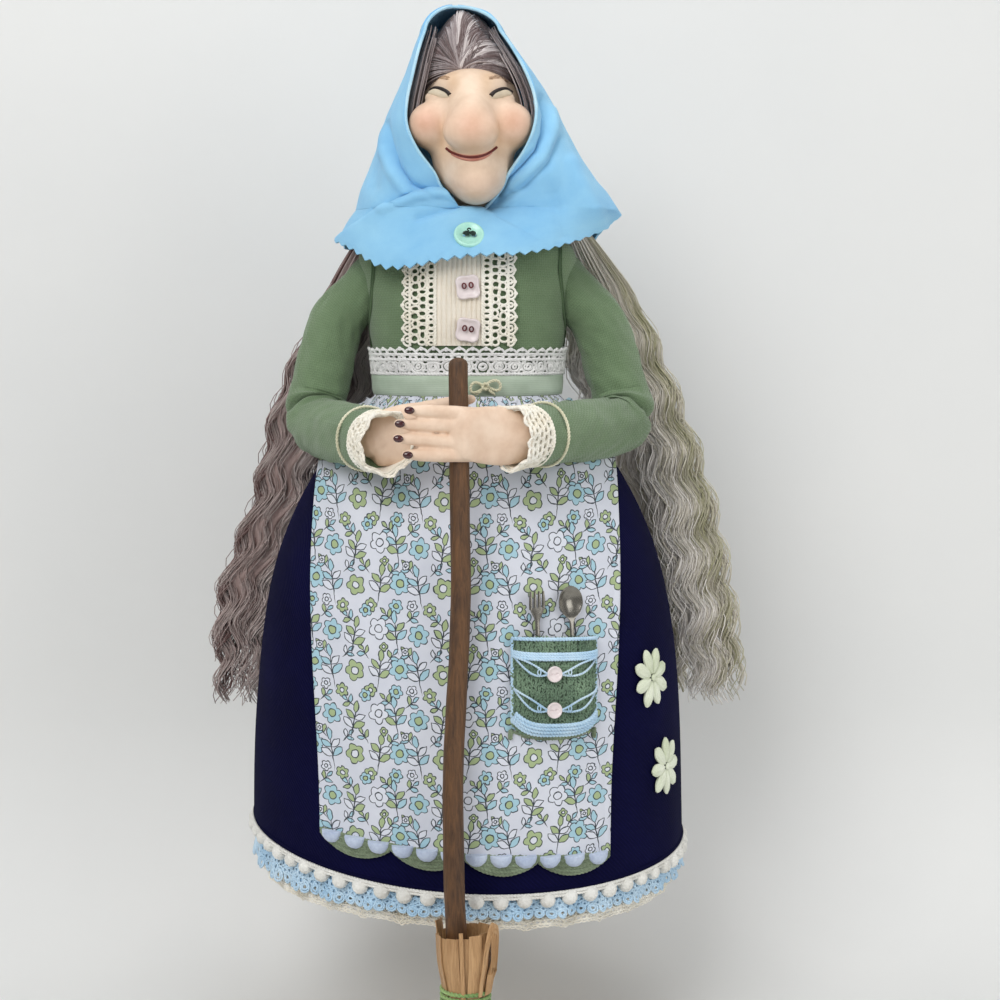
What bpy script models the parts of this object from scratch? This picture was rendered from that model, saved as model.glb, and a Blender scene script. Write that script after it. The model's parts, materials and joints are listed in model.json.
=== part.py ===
"""A stuffed cloth doll, an old woman with a modelled head, who leans on a broom.

Units are metres. The doll looks along -Y, +X is to the right of someone who faces it, and +Z
is up. Every piece is laid out on the doll's own upright axis, whose zero height is just under
the hem of the skirt. One empty then carries that axis to the frame of the whole part, whose
origin is the centre of the hanging ring at the back.
"""
import math

import bmesh
import bpy
from mathutils import Matrix, Vector

# Clearances and cloth
GAP = 0.0003
WELD = 0.00001
OVERRUN = 0.0020
PROBE = 0.0001
PROBE_ANGLE = 0.002
LACE = 0.0006

# Stuffed torso and bodice
TORSO_BOTTOM = 0.1780
TORSO_LENGTH = 0.0685
TORSO_HALF_WIDTH = 0.0385
TORSO_HALF_DEPTH = 0.0270
TORSO_COLUMNS = 24
TORSO_RUNG_SHARES = (0.12, 0.26, 0.42, 0.60, 0.72, 0.82, 0.89, 0.95)
TORSO_SECTION_SHARES = (
    # height, half width, half depth
    (0.00, 0.90, 0.92), (0.12, 0.91, 0.95), (0.35, 0.95, 1.00), (0.60, 1.00, 1.00),
    (0.78, 1.07, 0.95), (0.88, 1.02, 0.88), (0.95, 0.80, 0.74), (1.00, 0.38, 0.52),
)
BODICE_CLOTH = 0.0010
BODICE_BOTTOM = 0.1822

# Skirt, its stuffing and its base
SKIRT_TOP = 0.1806
SKIRT_WAIST_HALF_WIDTH = 0.0350
SKIRT_HEM_HALF_WIDTH = 0.0860
SKIRT_SWELL_SHARE = 0.90
SKIRT_SWELL_POWER = 4
SKIRT_DEPTH_SHARE = 0.90
SKIRT_CLOTH = 0.0010
SKIRT_FOLD_COUNT = 9
SKIRT_COLUMNS = 4 * SKIRT_FOLD_COUNT
SKIRT_RUNG_SHARES = (0.16, 0.32, 0.50, 0.66, 0.80, 0.90, 0.96)
SKIRT_FOLD_DEPTH = 0.0018
HEM_HEIGHT = 0.0049
HEM_SIDE_RISE = 0.0038
HEM_SIDE_TILT = 0.0048
FORM_BOTTOM = 0.0000
FORM_STEP_HEIGHT = 0.0160
FORM_STEP_RISE = 0.0020
FORM_DROP = 0.0031
BASE_THICKNESS = 0.0030

# Hem trims
POM_COUNT = 62
POM_RADIUS = 0.0028
POM_STAND_OUT = 0.0003
POM_NECK_SHARE = 0.32
BLUE_FRILL_DROP = 0.0095
BLUE_FRILL_FLARE = 0.0022
BLUE_FRILL_WAVES = 31
CREAM_FRILL_BOTTOM = -0.0068
CREAM_FRILL_SIDE_RISE = 0.0030
CREAM_FRILL_SHOWN = 0.0005
CREAM_FRILL_WAVES = 20
CREAM_FRILL_FLARE = 0.0007
FRILL_TUCK = 0.0015
FRILL_FLARE_SHARE = 0.20

# Apron
APRON_DROP = 0.0046
APRON_BOTTOM = 0.0203
APRON_TILT = 0.00495
APRON_HALF_WIDTH = 0.0570
APRON_WIDEST_ANGLE = math.radians(62)
APRON_EASE = 0.0006
APRON_CLOTH = 0.0008
APRON_LACE_HEIGHT = 0.0085
APRON_POM_COUNT = 12
APRON_POM_RADIUS = 0.0034
APRON_POM_THICKNESS = 0.0022
APRON_POM_TAPE_HEIGHT = 0.0010
SCALLOP_COUNT = 4
SCALLOP_DROP = 0.0075
SCALLOP_DEPTH = 0.0035
TRIM_HIDDEN_HEIGHT = 0.0040

# Pocket and what it holds
POCKET_X = 0.0314
POCKET_TOP = 0.0940
POCKET_HALF_WIDTH = 0.0155
POCKET_HEIGHT = 0.0330
POCKET_CORNER_RISE = 0.0045
POCKET_ROOM = 0.0038
POCKET_CLOTH = 0.0010
POCKET_BUTTON_RADIUS = 0.0025
POCKET_BUTTON_THICKNESS = 0.0010
POCKET_BUTTON_DROPS = (0.0125, 0.0250)
POCKET_LOOP_RADIUS = 0.0004
POCKET_LOOP_HALF_WIDTH = 0.0120
POCKET_LOOP_DIP = 0.0030
POCKET_LOOP_HANG_SHARES = (1.7, 1.2)
POCKET_TRIM_RADIUS = 0.0006
CUTLERY_THICKNESS = 0.0010
CUTLERY_STANDOFF = 0.0010
CUTLERY_TRAVEL = 0.0200
CUTLERY_SEAT = 0.0050
SPOON_X = 0.0378
SPOON_LENGTH = 0.0480
SPOON_BOWL_HALF_WIDTH = 0.0042
SPOON_BOWL_HALF_LENGTH = 0.0058
SPOON_BOWL_DISH = 0.0004
FORK_X = 0.0256
FORK_LENGTH = 0.0470
FORK_HEAD_HALF_WIDTH = 0.0027
FORK_HEAD_LENGTH = 0.0110
FORK_TINE_COUNT = 4
FORK_SLOT_WIDTH = 0.0006
FORK_SLOT_LENGTH = 0.0060
CUTLERY_STEM_HALF_WIDTH = 0.0009

# Flowers sewn to the skirt
FLOWER_PLACES = (("upper", math.radians(57.5), 0.0720), ("lower", math.radians(62.0), 0.0360))
FLOWER_RADIUS = 0.0110
FLOWER_THICKNESS = 0.0011
FLOWER_PETALS = 8
FLOWER_NOTCH_SHARE = 0.42

# Arms: sleeves, wires, cuffs
SHOULDER = (0.0330, 0.0010, 0.2310)
UPPER_ARM = (0.0520, 0.0000, 0.2080)
ELBOW = (0.0650, -0.0070, 0.1685)
LEFT_WRIST = (-0.0315, -0.0640, 0.1662)
RIGHT_WRIST = (0.0195, -0.0700, 0.1680)
ELBOW_ROUNDING = 0.0240
ELBOW_SEGMENTS = 4
SLEEVE_RADIUS = 0.0124
SLEEVE_RADIUS_SHARES = ((0.0, 0.78), (0.25, 0.95), (0.55, 1.0), (0.8, 0.98), (1.0, 0.86))
SLEEVE_SIDES = 12
FOREARM_EASE = 0.0014
WIRE_RADIUS = 0.0009
WIRE_IN_HAND = 0.0060
CUFF_LENGTH = 0.0085
CUFF_RADIUS = 0.0102
CUFF_MOUTH_RADIUS = 0.0112
CUFF_WAVES = 6
CUFF_WAVE = 0.0006
PIPING_RADIUS = 0.0005
PIPING_SHARE = 0.55

# Hands
PALM_HALF_WIDTH = 0.0098
PALM_HALF_THICKNESS = 0.0033
FINGER_RADIUS = 0.0023
FINGER_PITCH = 0.0046
FINGER_LENGTH = 0.0235
FINGER_LENGTH_SHARES = (0.80, 1.00, 0.99, 0.78)
WRIST_RADIUS = 0.0050
FRONT_KNUCKLES = (0.0010, -0.0814, 0.1680)
FRONT_FINGERTIPS = (-0.0240, -0.0822, 0.1694)
BACK_KNUCKLES = (-0.0130, -0.0660, 0.1715)
BACK_FINGERTIPS = (0.0070, -0.0664, 0.1745)
BACK_FINGER_SHARE = 0.85

# Broom
HANDLE_TOP = (-0.0018, -0.0712, 0.1941)
HANDLE_FOOT = (0.0009, -0.0978, -0.0240)
HANDLE_RADIUS = 0.0034
HANDLE_DOME = 0.0022
BRUSH_TOP = -0.0022
BRUSH_LENGTH = 0.0780
BRUSH_TOP_RADIUS = 0.0092
BRUSH_WAIST_SHARE = 0.79
BRUSH_PROFILE_SHARES = (
    # distance down the brush, radius, flattening
    (0.00, 1.00, 0.00), (0.12, 0.95, 0.00), (0.24, BRUSH_WAIST_SHARE, 0.00), (0.33, BRUSH_WAIST_SHARE, 0.00),
    (0.45, 1.20, 0.10), (0.70, 1.85, 0.30), (1.00, 2.35, 0.42),
)
BRUSH_SPLINTS = 16
BRUSH_RIDGE_SHARE = 0.07
BRUSH_CUP_DEPTH = 0.0100
BRUSH_CUP_WALL = 0.0016
TIE_START_SHARE = 0.255
TIE_TURNS = 3
TIE_CORD_RADIUS = 0.0007
TIE_PITCH = 0.0019
TIE_POINTS_PER_TURN = 24
BROOM_DOWN = 0.0120
BROOM_UP = 0.0100

# Head and neck
NECK_AXIS = (0.0018, 0.0020)
HEAD_CENTRE = (0.0018, -0.0040, 0.2860)
HEAD_RADIUS = 0.0205
HEAD_FORM_SHARES = (
    # centre x, y, z, radius x, y, z and softness, as shares of the head's radius
    (0.000, 0.000, 0.100, 1.000, 1.020, 0.960, 0.00),
    (0.015, -0.440, -0.585, 0.740, 0.780, 0.680, 0.20),
    (-0.720, -0.850, -0.195, 0.430, 0.450, 0.430, 0.12),
    (0.710, -0.850, -0.195, 0.430, 0.450, 0.430, 0.12),
    (0.010, -1.170, 0.050, 0.225, 0.366, 0.440, 0.15),
    (0.015, -1.634, -0.390, 0.450, 0.440, 0.370, 0.10),
    (0.107, -0.976, -1.170, 0.463, 0.512, 0.500, 0.15),
    (0.034, -1.280, -0.878, 0.340, 0.240, 0.170, 0.10),
    (0.000, -0.780, 0.537, 0.634, 0.290, 0.240, 0.20),
    (0.000, 0.290, -1.070, 0.415, 0.415, 0.585, 0.15),
)
HEAD_COLUMNS = 26
HEAD_ROWS = 20
HEAD_REACH = 0.0600
HEAD_TRACE_STEPS = 60
DOWEL_RADIUS = 0.0040
DOWEL_BOTTOM = 0.2220
DOWEL_TOP = 0.2750
DOWEL_CLEARANCE = 0.0003

# Hair
HAIR_CAP_CENTRE = (0.0010, 0.0000, 0.3040)
HAIR_CAP_RADII = (0.0160, 0.0170, 0.0222)
HAIR_CAP_LEAN_SHARE = 0.13
LOCK_LENGTH = 0.1740
LOCK_TOP = 0.2340
LOCK_REACH = 0.1000
LOCK_WAVE = 0.0018
LOCK_WAVE_LENGTH = 0.0260
LOCK_DEPTH_SHARE = 0.48
LOCK_SHARES = {
    # distance down, x, y and half width, the last three as shares of the reach
    "left_side": ((0.00, -0.396, 0.205, 0.050), (0.10, -0.490, 0.200, 0.080), (0.32, -0.680, 0.215, 0.100),
                  (0.56, -0.765, 0.260, 0.100), (0.80, -0.925, 0.290, 0.105), (1.00, -0.920, 0.300, 0.060)),
    "left_back": ((0.00, -0.300, 0.228, 0.040), (0.10, -0.370, 0.260, 0.075), (0.32, -0.470, 0.400, 0.100),
                  (0.56, -0.580, 0.490, 0.105), (0.80, -0.700, 0.590, 0.110), (1.00, -0.720, 0.620, 0.070)),
    "right_side": ((0.00, 0.470, 0.190, 0.050), (0.10, 0.585, 0.210, 0.095), (0.32, 0.760, 0.225, 0.105),
                   (0.56, 0.890, 0.260, 0.120), (0.80, 0.990, 0.290, 0.117), (1.00, 1.050, 0.300, 0.110)),
    "right_back": ((0.00, 0.300, 0.215, 0.040), (0.10, 0.420, 0.260, 0.075), (0.32, 0.580, 0.400, 0.100),
                   (0.56, 0.720, 0.460, 0.110), (0.80, 0.840, 0.520, 0.110), (1.00, 0.880, 0.540, 0.080)),
}

# Scarf
SCARF_CLOTH = 0.0008
HOOD_BOTTOM = 0.2505
HOOD_TOP = 0.3288
HOOD_REACH = 0.0500
HOOD_MIDDLE_Y = 0.0020
HOOD_SHARES = (
    # height, left and right half width, left and right rim, rim front, bulge, back
    (0.000, 0.900, 1.060, 0.095, 0.105, 0.320, 0.240, 0.500),
    (0.095, 0.860, 1.020, 0.220, 0.235, 0.330, 0.220, 0.480),
    (0.160, 0.815, 0.965, 0.270, 0.285, 0.400, 0.170, 0.460),
    (0.275, 0.750, 0.840, 0.400, 0.410, 0.480, 0.080, 0.440),
    (0.390, 0.700, 0.730, 0.500, 0.500, 0.500, 0.040, 0.440),
    (0.505, 0.620, 0.650, 0.515, 0.515, 0.490, 0.000, 0.430),
    (0.630, 0.540, 0.545, 0.460, 0.425, 0.460, 0.000, 0.400),
    (0.770, 0.450, 0.400, 0.390, 0.310, 0.400, 0.000, 0.350),
    (0.885, 0.380, 0.250, 0.330, 0.190, 0.340, 0.000, 0.280),
    (0.965, 0.280, 0.110, 0.250, 0.080, 0.280, 0.000, 0.160),
    (1.000, 0.170, -0.040, 0.160, -0.050, 0.240, 0.000, 0.040),
)
CAPE_EDGE_SHARES = (
    # angle as a share of half a turn from the front, then x, y and height below the hood
    (-1.000, 0.000, 0.700, -0.740), (-0.830, -0.480, 0.600, -0.560), (-0.670, -0.900, 0.360, -0.200),
    (-0.530, -1.020, 0.060, -0.170), (-0.420, -1.040, -0.140, -0.225), (-0.300, -0.850, -0.380, -0.300),
    (-0.190, -0.590, -0.600, -0.450), (0.000, 0.010, -0.720, -0.375), (0.140, 0.480, -0.660, -0.340),
    (0.280, 0.900, -0.430, -0.215), (0.400, 1.130, -0.180, -0.100), (0.480, 1.200, -0.020, -0.070),
    (0.600, 1.140, 0.200, -0.140), (0.740, 0.860, 0.460, -0.360), (0.880, 0.400, 0.650, -0.640),
    (1.000, 0.000, 0.700, -0.740),
)
CAPE_CREST_SHARE = 0.66
CAPE_DIP_SHARE = 0.10
CAPE_COLUMNS = 36
CAPE_ROWS = 4
SCARF_BUTTON_PLACE = (0.0012, 0.2402)
SCARF_BUTTON_RADIUS = 0.0058
SCARF_BUTTON_THICKNESS = 0.0020
BUTTON_HOLE_RADIUS = 0.0007
BUTTON_HOLE_SPACING = 0.0022

# Blouse front, laces and ribbon on the bodice
PANEL_CLOTH = 0.0006
PANEL_TOP = 0.2330
PANEL_BOTTOM = 0.2002
BLOUSE_LEFT = -0.0106
BLOUSE_RIGHT = 0.0056
LACE_STRIP_WIDTH = 0.0125
WAIST_LACE_BOTTOM = 0.1892
WAIST_LACE_TOP = 0.1998
RIBBON_BOTTOM = 0.1824
RIBBON_TOP = 0.1888
RIBBON_THICKNESS = 0.0006
BLOUSE_BUTTON_HEIGHTS = (0.2212, 0.2056)
BLOUSE_BUTTON_X = 0.0007
BLOUSE_BUTTON_RADIUS = 0.0036
BLOUSE_BUTTON_THICKNESS = 0.0016
BLOUSE_BUTTON_LOBES = 4
BLOUSE_BUTTON_LOBE_SHARE = 0.10
BOW_PLACE = (0.0060, 0.1850)
BOW_LOOP = 0.0055
BOW_CORD_RADIUS = 0.0005
BOW_POINTS = 21

# Hanging ring
RING_PLACE = (0.0000, 0.0345, 0.2060)
RING_RADIUS = 0.0065
RING_WIRE_RADIUS = 0.0008
TAB_WIDTH = 0.0070
TAB_HEIGHT = 0.0056
TAB_THICKNESS = 0.0014

FINISHES = {
    # colour, roughness, metallic
    "wadding": ((0.85, 0.83, 0.78), 0.95, 0.0),
    "card": ((0.60, 0.50, 0.38), 0.90, 0.0),
    "navy_twill": ((0.010, 0.007, 0.050), 0.85, 0.0),
    "green_linen": ((0.115, 0.195, 0.085), 0.90, 0.0),
    "blue_cotton": ((0.200, 0.450, 0.780), 0.85, 0.0),
    "white_print": ((0.780, 0.800, 0.820), 0.85, 0.0),
    "cream_lace": ((0.830, 0.770, 0.660), 0.90, 0.0),
    "white_lace": ((0.850, 0.860, 0.850), 0.90, 0.0),
    "blue_lace": ((0.450, 0.650, 0.780), 0.90, 0.0),
    "sage_lace": ((0.240, 0.320, 0.190), 0.90, 0.0),
    "sage_knit": ((0.120, 0.210, 0.130), 0.95, 0.0),
    "sage_ribbon": ((0.500, 0.620, 0.480), 0.45, 0.0),
    "white_pom": ((0.860, 0.870, 0.840), 0.95, 0.0),
    "lilac_pom": ((0.560, 0.640, 0.820), 0.95, 0.0),
    "cream_cord": ((0.830, 0.800, 0.660), 0.80, 0.0),
    "blue_cord": ((0.400, 0.620, 0.850), 0.80, 0.0),
    "green_cord": ((0.270, 0.430, 0.180), 0.80, 0.0),
    "mint_plastic": ((0.500, 0.830, 0.720), 0.30, 0.0),
    "white_plastic": ((0.860, 0.830, 0.820), 0.35, 0.0),
    "flesh_clay": ((0.760, 0.520, 0.390), 0.55, 0.0),
    "mauve_hair": ((0.330, 0.260, 0.250), 0.70, 0.0),
    "pale_hair": ((0.640, 0.640, 0.560), 0.70, 0.0),
    "brown_wood": ((0.110, 0.050, 0.020), 0.60, 0.0),
    "pale_wood": ((0.500, 0.300, 0.130), 0.65, 0.0),
    "steel": ((0.560, 0.560, 0.550), 0.25, 1.0),
    "brass": ((0.700, 0.500, 0.220), 0.30, 1.0),
    "petal_felt": ((0.720, 0.780, 0.560), 0.90, 0.0),
}


def clear_scene():
    """Removes what a new file holds."""
    for obj in list(bpy.data.objects):
        bpy.data.objects.remove(obj, do_unlink=True)


def new_collection(name):
    """A collection linked to the scene."""
    collection = bpy.data.collections.new(name)
    bpy.context.scene.collection.children.link(collection)
    return collection


clear_scene()
PARTS = new_collection("apple_head_doll")
CUTTERS = new_collection("cutters")


def new_empty(name, place, parent=None):
    """An empty at a place in its parent's frame."""
    empty = bpy.data.objects.new(name, None)
    PARTS.objects.link(empty)
    empty.location = place
    empty.parent = parent
    return empty


def finish_material(name):
    """The Principled material of a finish, made once."""
    material = bpy.data.materials.get(name)
    if material is None:
        colour, roughness, metallic = FINISHES[name]
        material = bpy.data.materials.new(name)
        material.use_nodes = True
        shader = material.node_tree.nodes["Principled BSDF"]
        shader.inputs["Base Color"].default_value = (*colour, 1)
        shader.inputs["Roughness"].default_value = roughness
        shader.inputs["Metallic"].default_value = metallic
        material.diffuse_color = (*colour, 1)
    return material


def add(name, mesh, finish, carrier):
    """Makes a mesh, laid out on the doll's axis, a named piece on its carrier's origin."""
    if carrier is not DOLL_AXIS:
        mesh.transform(Matrix.Translation(-carrier.location))
    mesh.materials.clear()
    mesh.materials.append(finish_material(finish))
    mesh.shade_smooth()
    mesh.set_sharp_from_angle(angle=math.radians(40))
    piece = bpy.data.objects.new(name, mesh)
    piece.parent = carrier
    PARTS.objects.link(piece)
    return piece


def evaluated(obj):
    """The mesh that an object's curve or modifiers make; the object is removed."""
    bpy.context.view_layer.update()
    graph = bpy.context.evaluated_depsgraph_get()
    mesh = bpy.data.meshes.new_from_object(obj.evaluated_get(graph))
    bpy.data.objects.remove(obj, do_unlink=True)
    return mesh


def temporary(data):
    """An object for a mesh or curve while a modifier or a bevel works on it."""
    obj = bpy.data.objects.new("shape", data)
    CUTTERS.objects.link(obj)
    obj.hide_render = True
    obj.display_type = "WIRE"
    return obj


def combine(mesh, tool, operation):
    """A Boolean of two meshes."""
    body = temporary(mesh)
    cutter = temporary(tool)
    modifier = body.modifiers.new("combine", "BOOLEAN")
    modifier.operation = operation
    modifier.solver = "EXACT"
    modifier.object = cutter
    result = evaluated(body)
    bpy.data.objects.remove(cutter, do_unlink=True)
    return result


def joined(meshes):
    """The union of a list of meshes that all meet."""
    result = meshes[0]
    for mesh in meshes[1:]:
        result = combine(result, mesh, "UNION")
    return result


def mesh_from(bm):
    """A mesh of a bmesh whose faces point outwards."""
    bmesh.ops.remove_doubles(bm, verts=bm.verts, dist=WELD)
    bmesh.ops.recalc_face_normals(bm, faces=bm.faces)
    mesh = bpy.data.meshes.new("mesh")
    bm.to_mesh(mesh)
    bm.free()
    return mesh


def grid(columns, rows, place):
    """A grid of points place(u, v) with u and v from 0 to 1, as a bmesh."""
    bm = bmesh.new()
    bmesh.ops.create_grid(bm, x_segments=columns, y_segments=rows, size=1)
    for vertex in bm.verts:
        u = (vertex.co.x + 1) / 2
        v = (vertex.co.y + 1) / 2
        vertex.co = place(u, v)
    bmesh.ops.remove_doubles(bm, verts=bm.verts, dist=WELD)
    return bm


def sheet(columns, rows, place, thickness):
    """A sheet of cloth whose inner face is the grid place(u, v), thickened outwards."""
    bm = grid(columns, rows, place)
    mesh = bpy.data.meshes.new("mesh")
    bm.to_mesh(mesh)
    bm.free()
    obj = temporary(mesh)
    modifier = obj.modifiers.new("cloth", "SOLIDIFY")
    modifier.thickness = thickness
    modifier.offset = 1
    modifier.use_even_offset = True
    return evaluated(obj)


def rungs(shares, base, length, low, high):
    """Heights from low to high, by way of the rows that all layers on a surface share."""
    inner = [base + share * length for share in shares]
    return [low] + [height for height in inner if low + GAP < height < high - GAP] + [high]


def capped(columns, rows, place):
    """A solid whose side is the grid place(u, v), closed in u, with a face over each end."""
    bm = grid(columns, rows, place)
    open_edges = [edge for edge in bm.edges if edge.is_boundary]
    bmesh.ops.holes_fill(bm, edges=open_edges, sides=0)
    return mesh_from(bm)


def ball(centre, radii, columns, rows):
    """An ellipsoid."""
    bm = bmesh.new()
    bmesh.ops.create_uvsphere(bm, u_segments=columns, v_segments=rows, radius=1)
    for vertex in bm.verts:
        vertex.co = Vector(centre) + Vector([c * r for c, r in zip(vertex.co, radii)])
    return mesh_from(bm)


def rod(start, end, radius, sides=16):
    """A cylinder between two points."""
    start, end = Vector(start), Vector(end)
    bm = bmesh.new()
    bmesh.ops.create_cone(bm, cap_ends=True, segments=sides, radius1=radius, radius2=radius,
                          depth=(end - start).length)
    turn = (end - start).to_track_quat("Z", "Y").to_matrix().to_4x4()
    bmesh.ops.transform(bm, matrix=Matrix.Translation((start + end) / 2) @ turn, verts=bm.verts)
    return mesh_from(bm)


def tube(points, radius, resolution=1, shares=None, closed=False):
    """A round tube along points, with a radius share at each."""
    curve = bpy.data.curves.new("tube", "CURVE")
    curve.dimensions = "3D"
    curve.bevel_depth = radius
    curve.bevel_resolution = resolution
    curve.use_fill_caps = not closed
    spline = curve.splines.new("POLY")
    spline.points.add(len(points) - 1)
    spline.use_cyclic_u = closed
    for index, point in enumerate(points):
        spline.points[index].co = Vector(point).to_4d()
        spline.points[index].radius = shares[index] if shares else 1
    mesh = evaluated(temporary(curve))
    bm = bmesh.new()
    bm.from_mesh(mesh)
    return mesh_from(bm)


def turned(profile, place, direction, steps):
    """A solid turned from a profile of (radius, distance along the axis)."""
    mesh = bpy.data.meshes.new("profile")
    edges = [(index, index + 1) for index in range(len(profile) - 1)]
    mesh.from_pydata([(radius, 0, along) for radius, along in profile], edges, [])
    obj = temporary(mesh)
    screw = obj.modifiers.new("turn", "SCREW")
    screw.steps = steps
    screw.render_steps = steps
    screw.use_merge_vertices = True
    screw.merge_threshold = WELD
    bm = bmesh.new()
    bm.from_mesh(evaluated(obj))
    turn = Vector(direction).to_track_quat("Z", "Y").to_matrix().to_4x4()
    bmesh.ops.transform(bm, matrix=Matrix.Translation(place) @ turn, verts=bm.verts)
    return mesh_from(bm)


def plate(outline, thickness, place, right, up):
    """A flat plate with a closed outline of (right, up) points, centred on a place."""
    curve = bpy.data.curves.new("outline", "CURVE")
    curve.dimensions = "2D"
    curve.fill_mode = "BOTH"
    curve.extrude = thickness / 2
    spline = curve.splines.new("POLY")
    spline.points.add(len(outline) - 1)
    spline.use_cyclic_u = True
    for index, (across, along) in enumerate(outline):
        spline.points[index].co = Vector((across, along, 0)).to_4d()
    bm = bmesh.new()
    bm.from_mesh(evaluated(temporary(curve)))
    right, up = Vector(right).normalized(), Vector(up).normalized()
    out = right.cross(up)
    axes = Matrix((right, up, out)).transposed().to_4x4()
    bmesh.ops.transform(bm, matrix=Matrix.Translation(place) @ axes, verts=bm.verts)
    return mesh_from(bm)


def from_table(rows, position):
    """The values at a position in rows of (position, value, ...), on smooth curves."""
    last = len(rows) - 1
    index = 0
    while index < last - 1 and position > rows[index + 1][0]:
        index += 1
    start, end = rows[index], rows[index + 1]
    span = end[0] - start[0]
    t = (position - start[0]) / span
    values = []
    for column in range(1, len(start)):
        slopes = []
        for middle in (index, index + 1):
            before, after = rows[max(middle - 1, 0)], rows[min(middle + 1, last)]
            slopes.append((after[column] - before[column]) / (after[0] - before[0]) * span)
        values.append((2 * t**3 - 3 * t**2 + 1) * start[column] + (t**3 - 2 * t**2 + t) * slopes[0]
                      + (3 * t**2 - 2 * t**3) * end[column] + (t**3 - t**2) * slopes[1])
    return values


def smooth(share):
    """A share from 0 to 1 that eases in and out."""
    share = min(max(share, 0), 1)
    return share * share * (3 - 2 * share)


def lifted(surface, angle, height, distance):
    """The point of surface(angle, height) moved out along its normal."""
    here = surface(angle, height)
    across = surface(angle + PROBE_ANGLE, height) - surface(angle - PROBE_ANGLE, height)
    upward = surface(angle, height + PROBE) - surface(angle, height - PROBE)
    return here + across.cross(upward).normalized() * distance


def skirt_half_width(height):
    """Half the skirt's width at a height."""
    share = 1 - height / SKIRT_TOP
    swell = 1 - (1 - share) ** SKIRT_SWELL_POWER
    spread = SKIRT_SWELL_SHARE * swell + (1 - SKIRT_SWELL_SHARE) * share
    return SKIRT_WAIST_HALF_WIDTH + (SKIRT_HEM_HALF_WIDTH - SKIRT_WAIST_HALF_WIDTH) * spread


def skirt(angle, height):
    """The inner face of the skirt; the angle runs from the front towards +X."""
    half_width = skirt_half_width(height)
    share = min(max(1 - height / SKIRT_TOP, 0), 1)
    behind = max(-math.cos(angle), 0)
    fold = SKIRT_FOLD_DEPTH * share * behind * math.cos(SKIRT_FOLD_COUNT * angle)
    return Vector(((half_width + fold) * math.sin(angle),
                   -(half_width * SKIRT_DEPTH_SHARE + fold) * math.cos(angle), height))


def hem_height(angle):
    """Height of the skirt's edge, which hangs lower at the front and at +X."""
    return HEM_HEIGHT + HEM_SIDE_RISE * math.sin(angle) ** 2 - HEM_SIDE_TILT * math.sin(angle)


def torso(angle, height):
    """The surface of the stuffed torso."""
    half_width, half_depth = from_table(TORSO_SECTION_SHARES, (height - TORSO_BOTTOM) / TORSO_LENGTH)
    return Vector((TORSO_HALF_WIDTH * half_width * math.sin(angle),
                   -TORSO_HALF_DEPTH * half_depth * math.cos(angle), height))


def around(u):
    """The angle at a share of a full turn that starts and ends at the back."""
    return (2 * u - 1) * math.pi


def between(low, high, share):
    """A value part of the way from low to high."""
    return low + (high - low) * share


def torso_rows(low, high):
    """The heights that a layer on the torso has rows at."""
    return rungs(TORSO_RUNG_SHARES, TORSO_BOTTOM, TORSO_LENGTH, low, high)


def skirt_rows(low, high):
    """The heights that a layer on the skirt has rows at."""
    return rungs(SKIRT_RUNG_SHARES, 0, SKIRT_TOP, low, high)


def row_at(rows, share):
    """The row at a share of the way up a list of rows."""
    return rows[round(share * (len(rows) - 1))]


def band(low, high, distance, thickness, columns=TORSO_COLUMNS):
    """A closed ring of cloth on the torso between two heights."""
    rows = torso_rows(low, high)
    return sheet(columns, len(rows) - 1,
                 lambda u, v: lifted(torso, around(u), row_at(rows, v), distance), thickness)


APRON_TOP = SKIRT_TOP - APRON_DROP
FORM_TOP = SKIRT_TOP - FORM_DROP

# Layers on the bodice and on the skirt, each counted outwards from the surface under it
BODICE_FACE = GAP + BODICE_CLOTH
ON_BODICE = BODICE_FACE + GAP
ON_PANEL = ON_BODICE + PANEL_CLOTH + GAP
ON_SKIRT = SKIRT_CLOTH + APRON_EASE
ON_APRON = ON_SKIRT + APRON_CLOTH + GAP
ON_APRON_LACE = ON_APRON + LACE + GAP
BLUE_FRILL_INSET = POM_RADIUS - POM_STAND_OUT + GAP + LACE
CREAM_FRILL_INSET = BLUE_FRILL_INSET + GAP + LACE + CREAM_FRILL_FLARE
BASE_INSET = CREAM_FRILL_INSET + CREAM_FRILL_FLARE + GAP

DOLL_AXIS = new_empty("doll_axis", [-place for place in RING_PLACE])


def arm_centres(side, wrist):
    """Points from inside the shoulder to the wrist, as upper and lower arm halves."""
    def mirrored(place):
        return Vector((side * place[0], place[1], place[2]))
    shoulder, upper, elbow = mirrored(SHOULDER), mirrored(UPPER_ARM), mirrored(ELBOW)
    wrist = Vector(wrist)
    bend_in = elbow + (upper - elbow).normalized() * ELBOW_ROUNDING
    bend_out = elbow + (wrist - elbow).normalized() * ELBOW_ROUNDING
    bend = []
    for step in range(ELBOW_SEGMENTS + 1):
        t = step / ELBOW_SEGMENTS
        bend.append(bend_in * (1 - t) ** 2 + elbow * 2 * t * (1 - t) + bend_out * t**2)
    middle = ELBOW_SEGMENTS // 2
    upper_half = [shoulder, shoulder.lerp(upper, 0.5), upper] + bend[:middle + 1]
    lower_half = bend[middle:] + [bend_out.lerp(wrist, 0.5), wrist]
    return upper_half, lower_half


def directions(points):
    """The direction of a path at each of its points."""
    ways = []
    for index in range(len(points)):
        before, after = points[max(index - 1, 0)], points[min(index + 1, len(points) - 1)]
        ways.append((after - before).normalized())
    return ways


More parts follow.
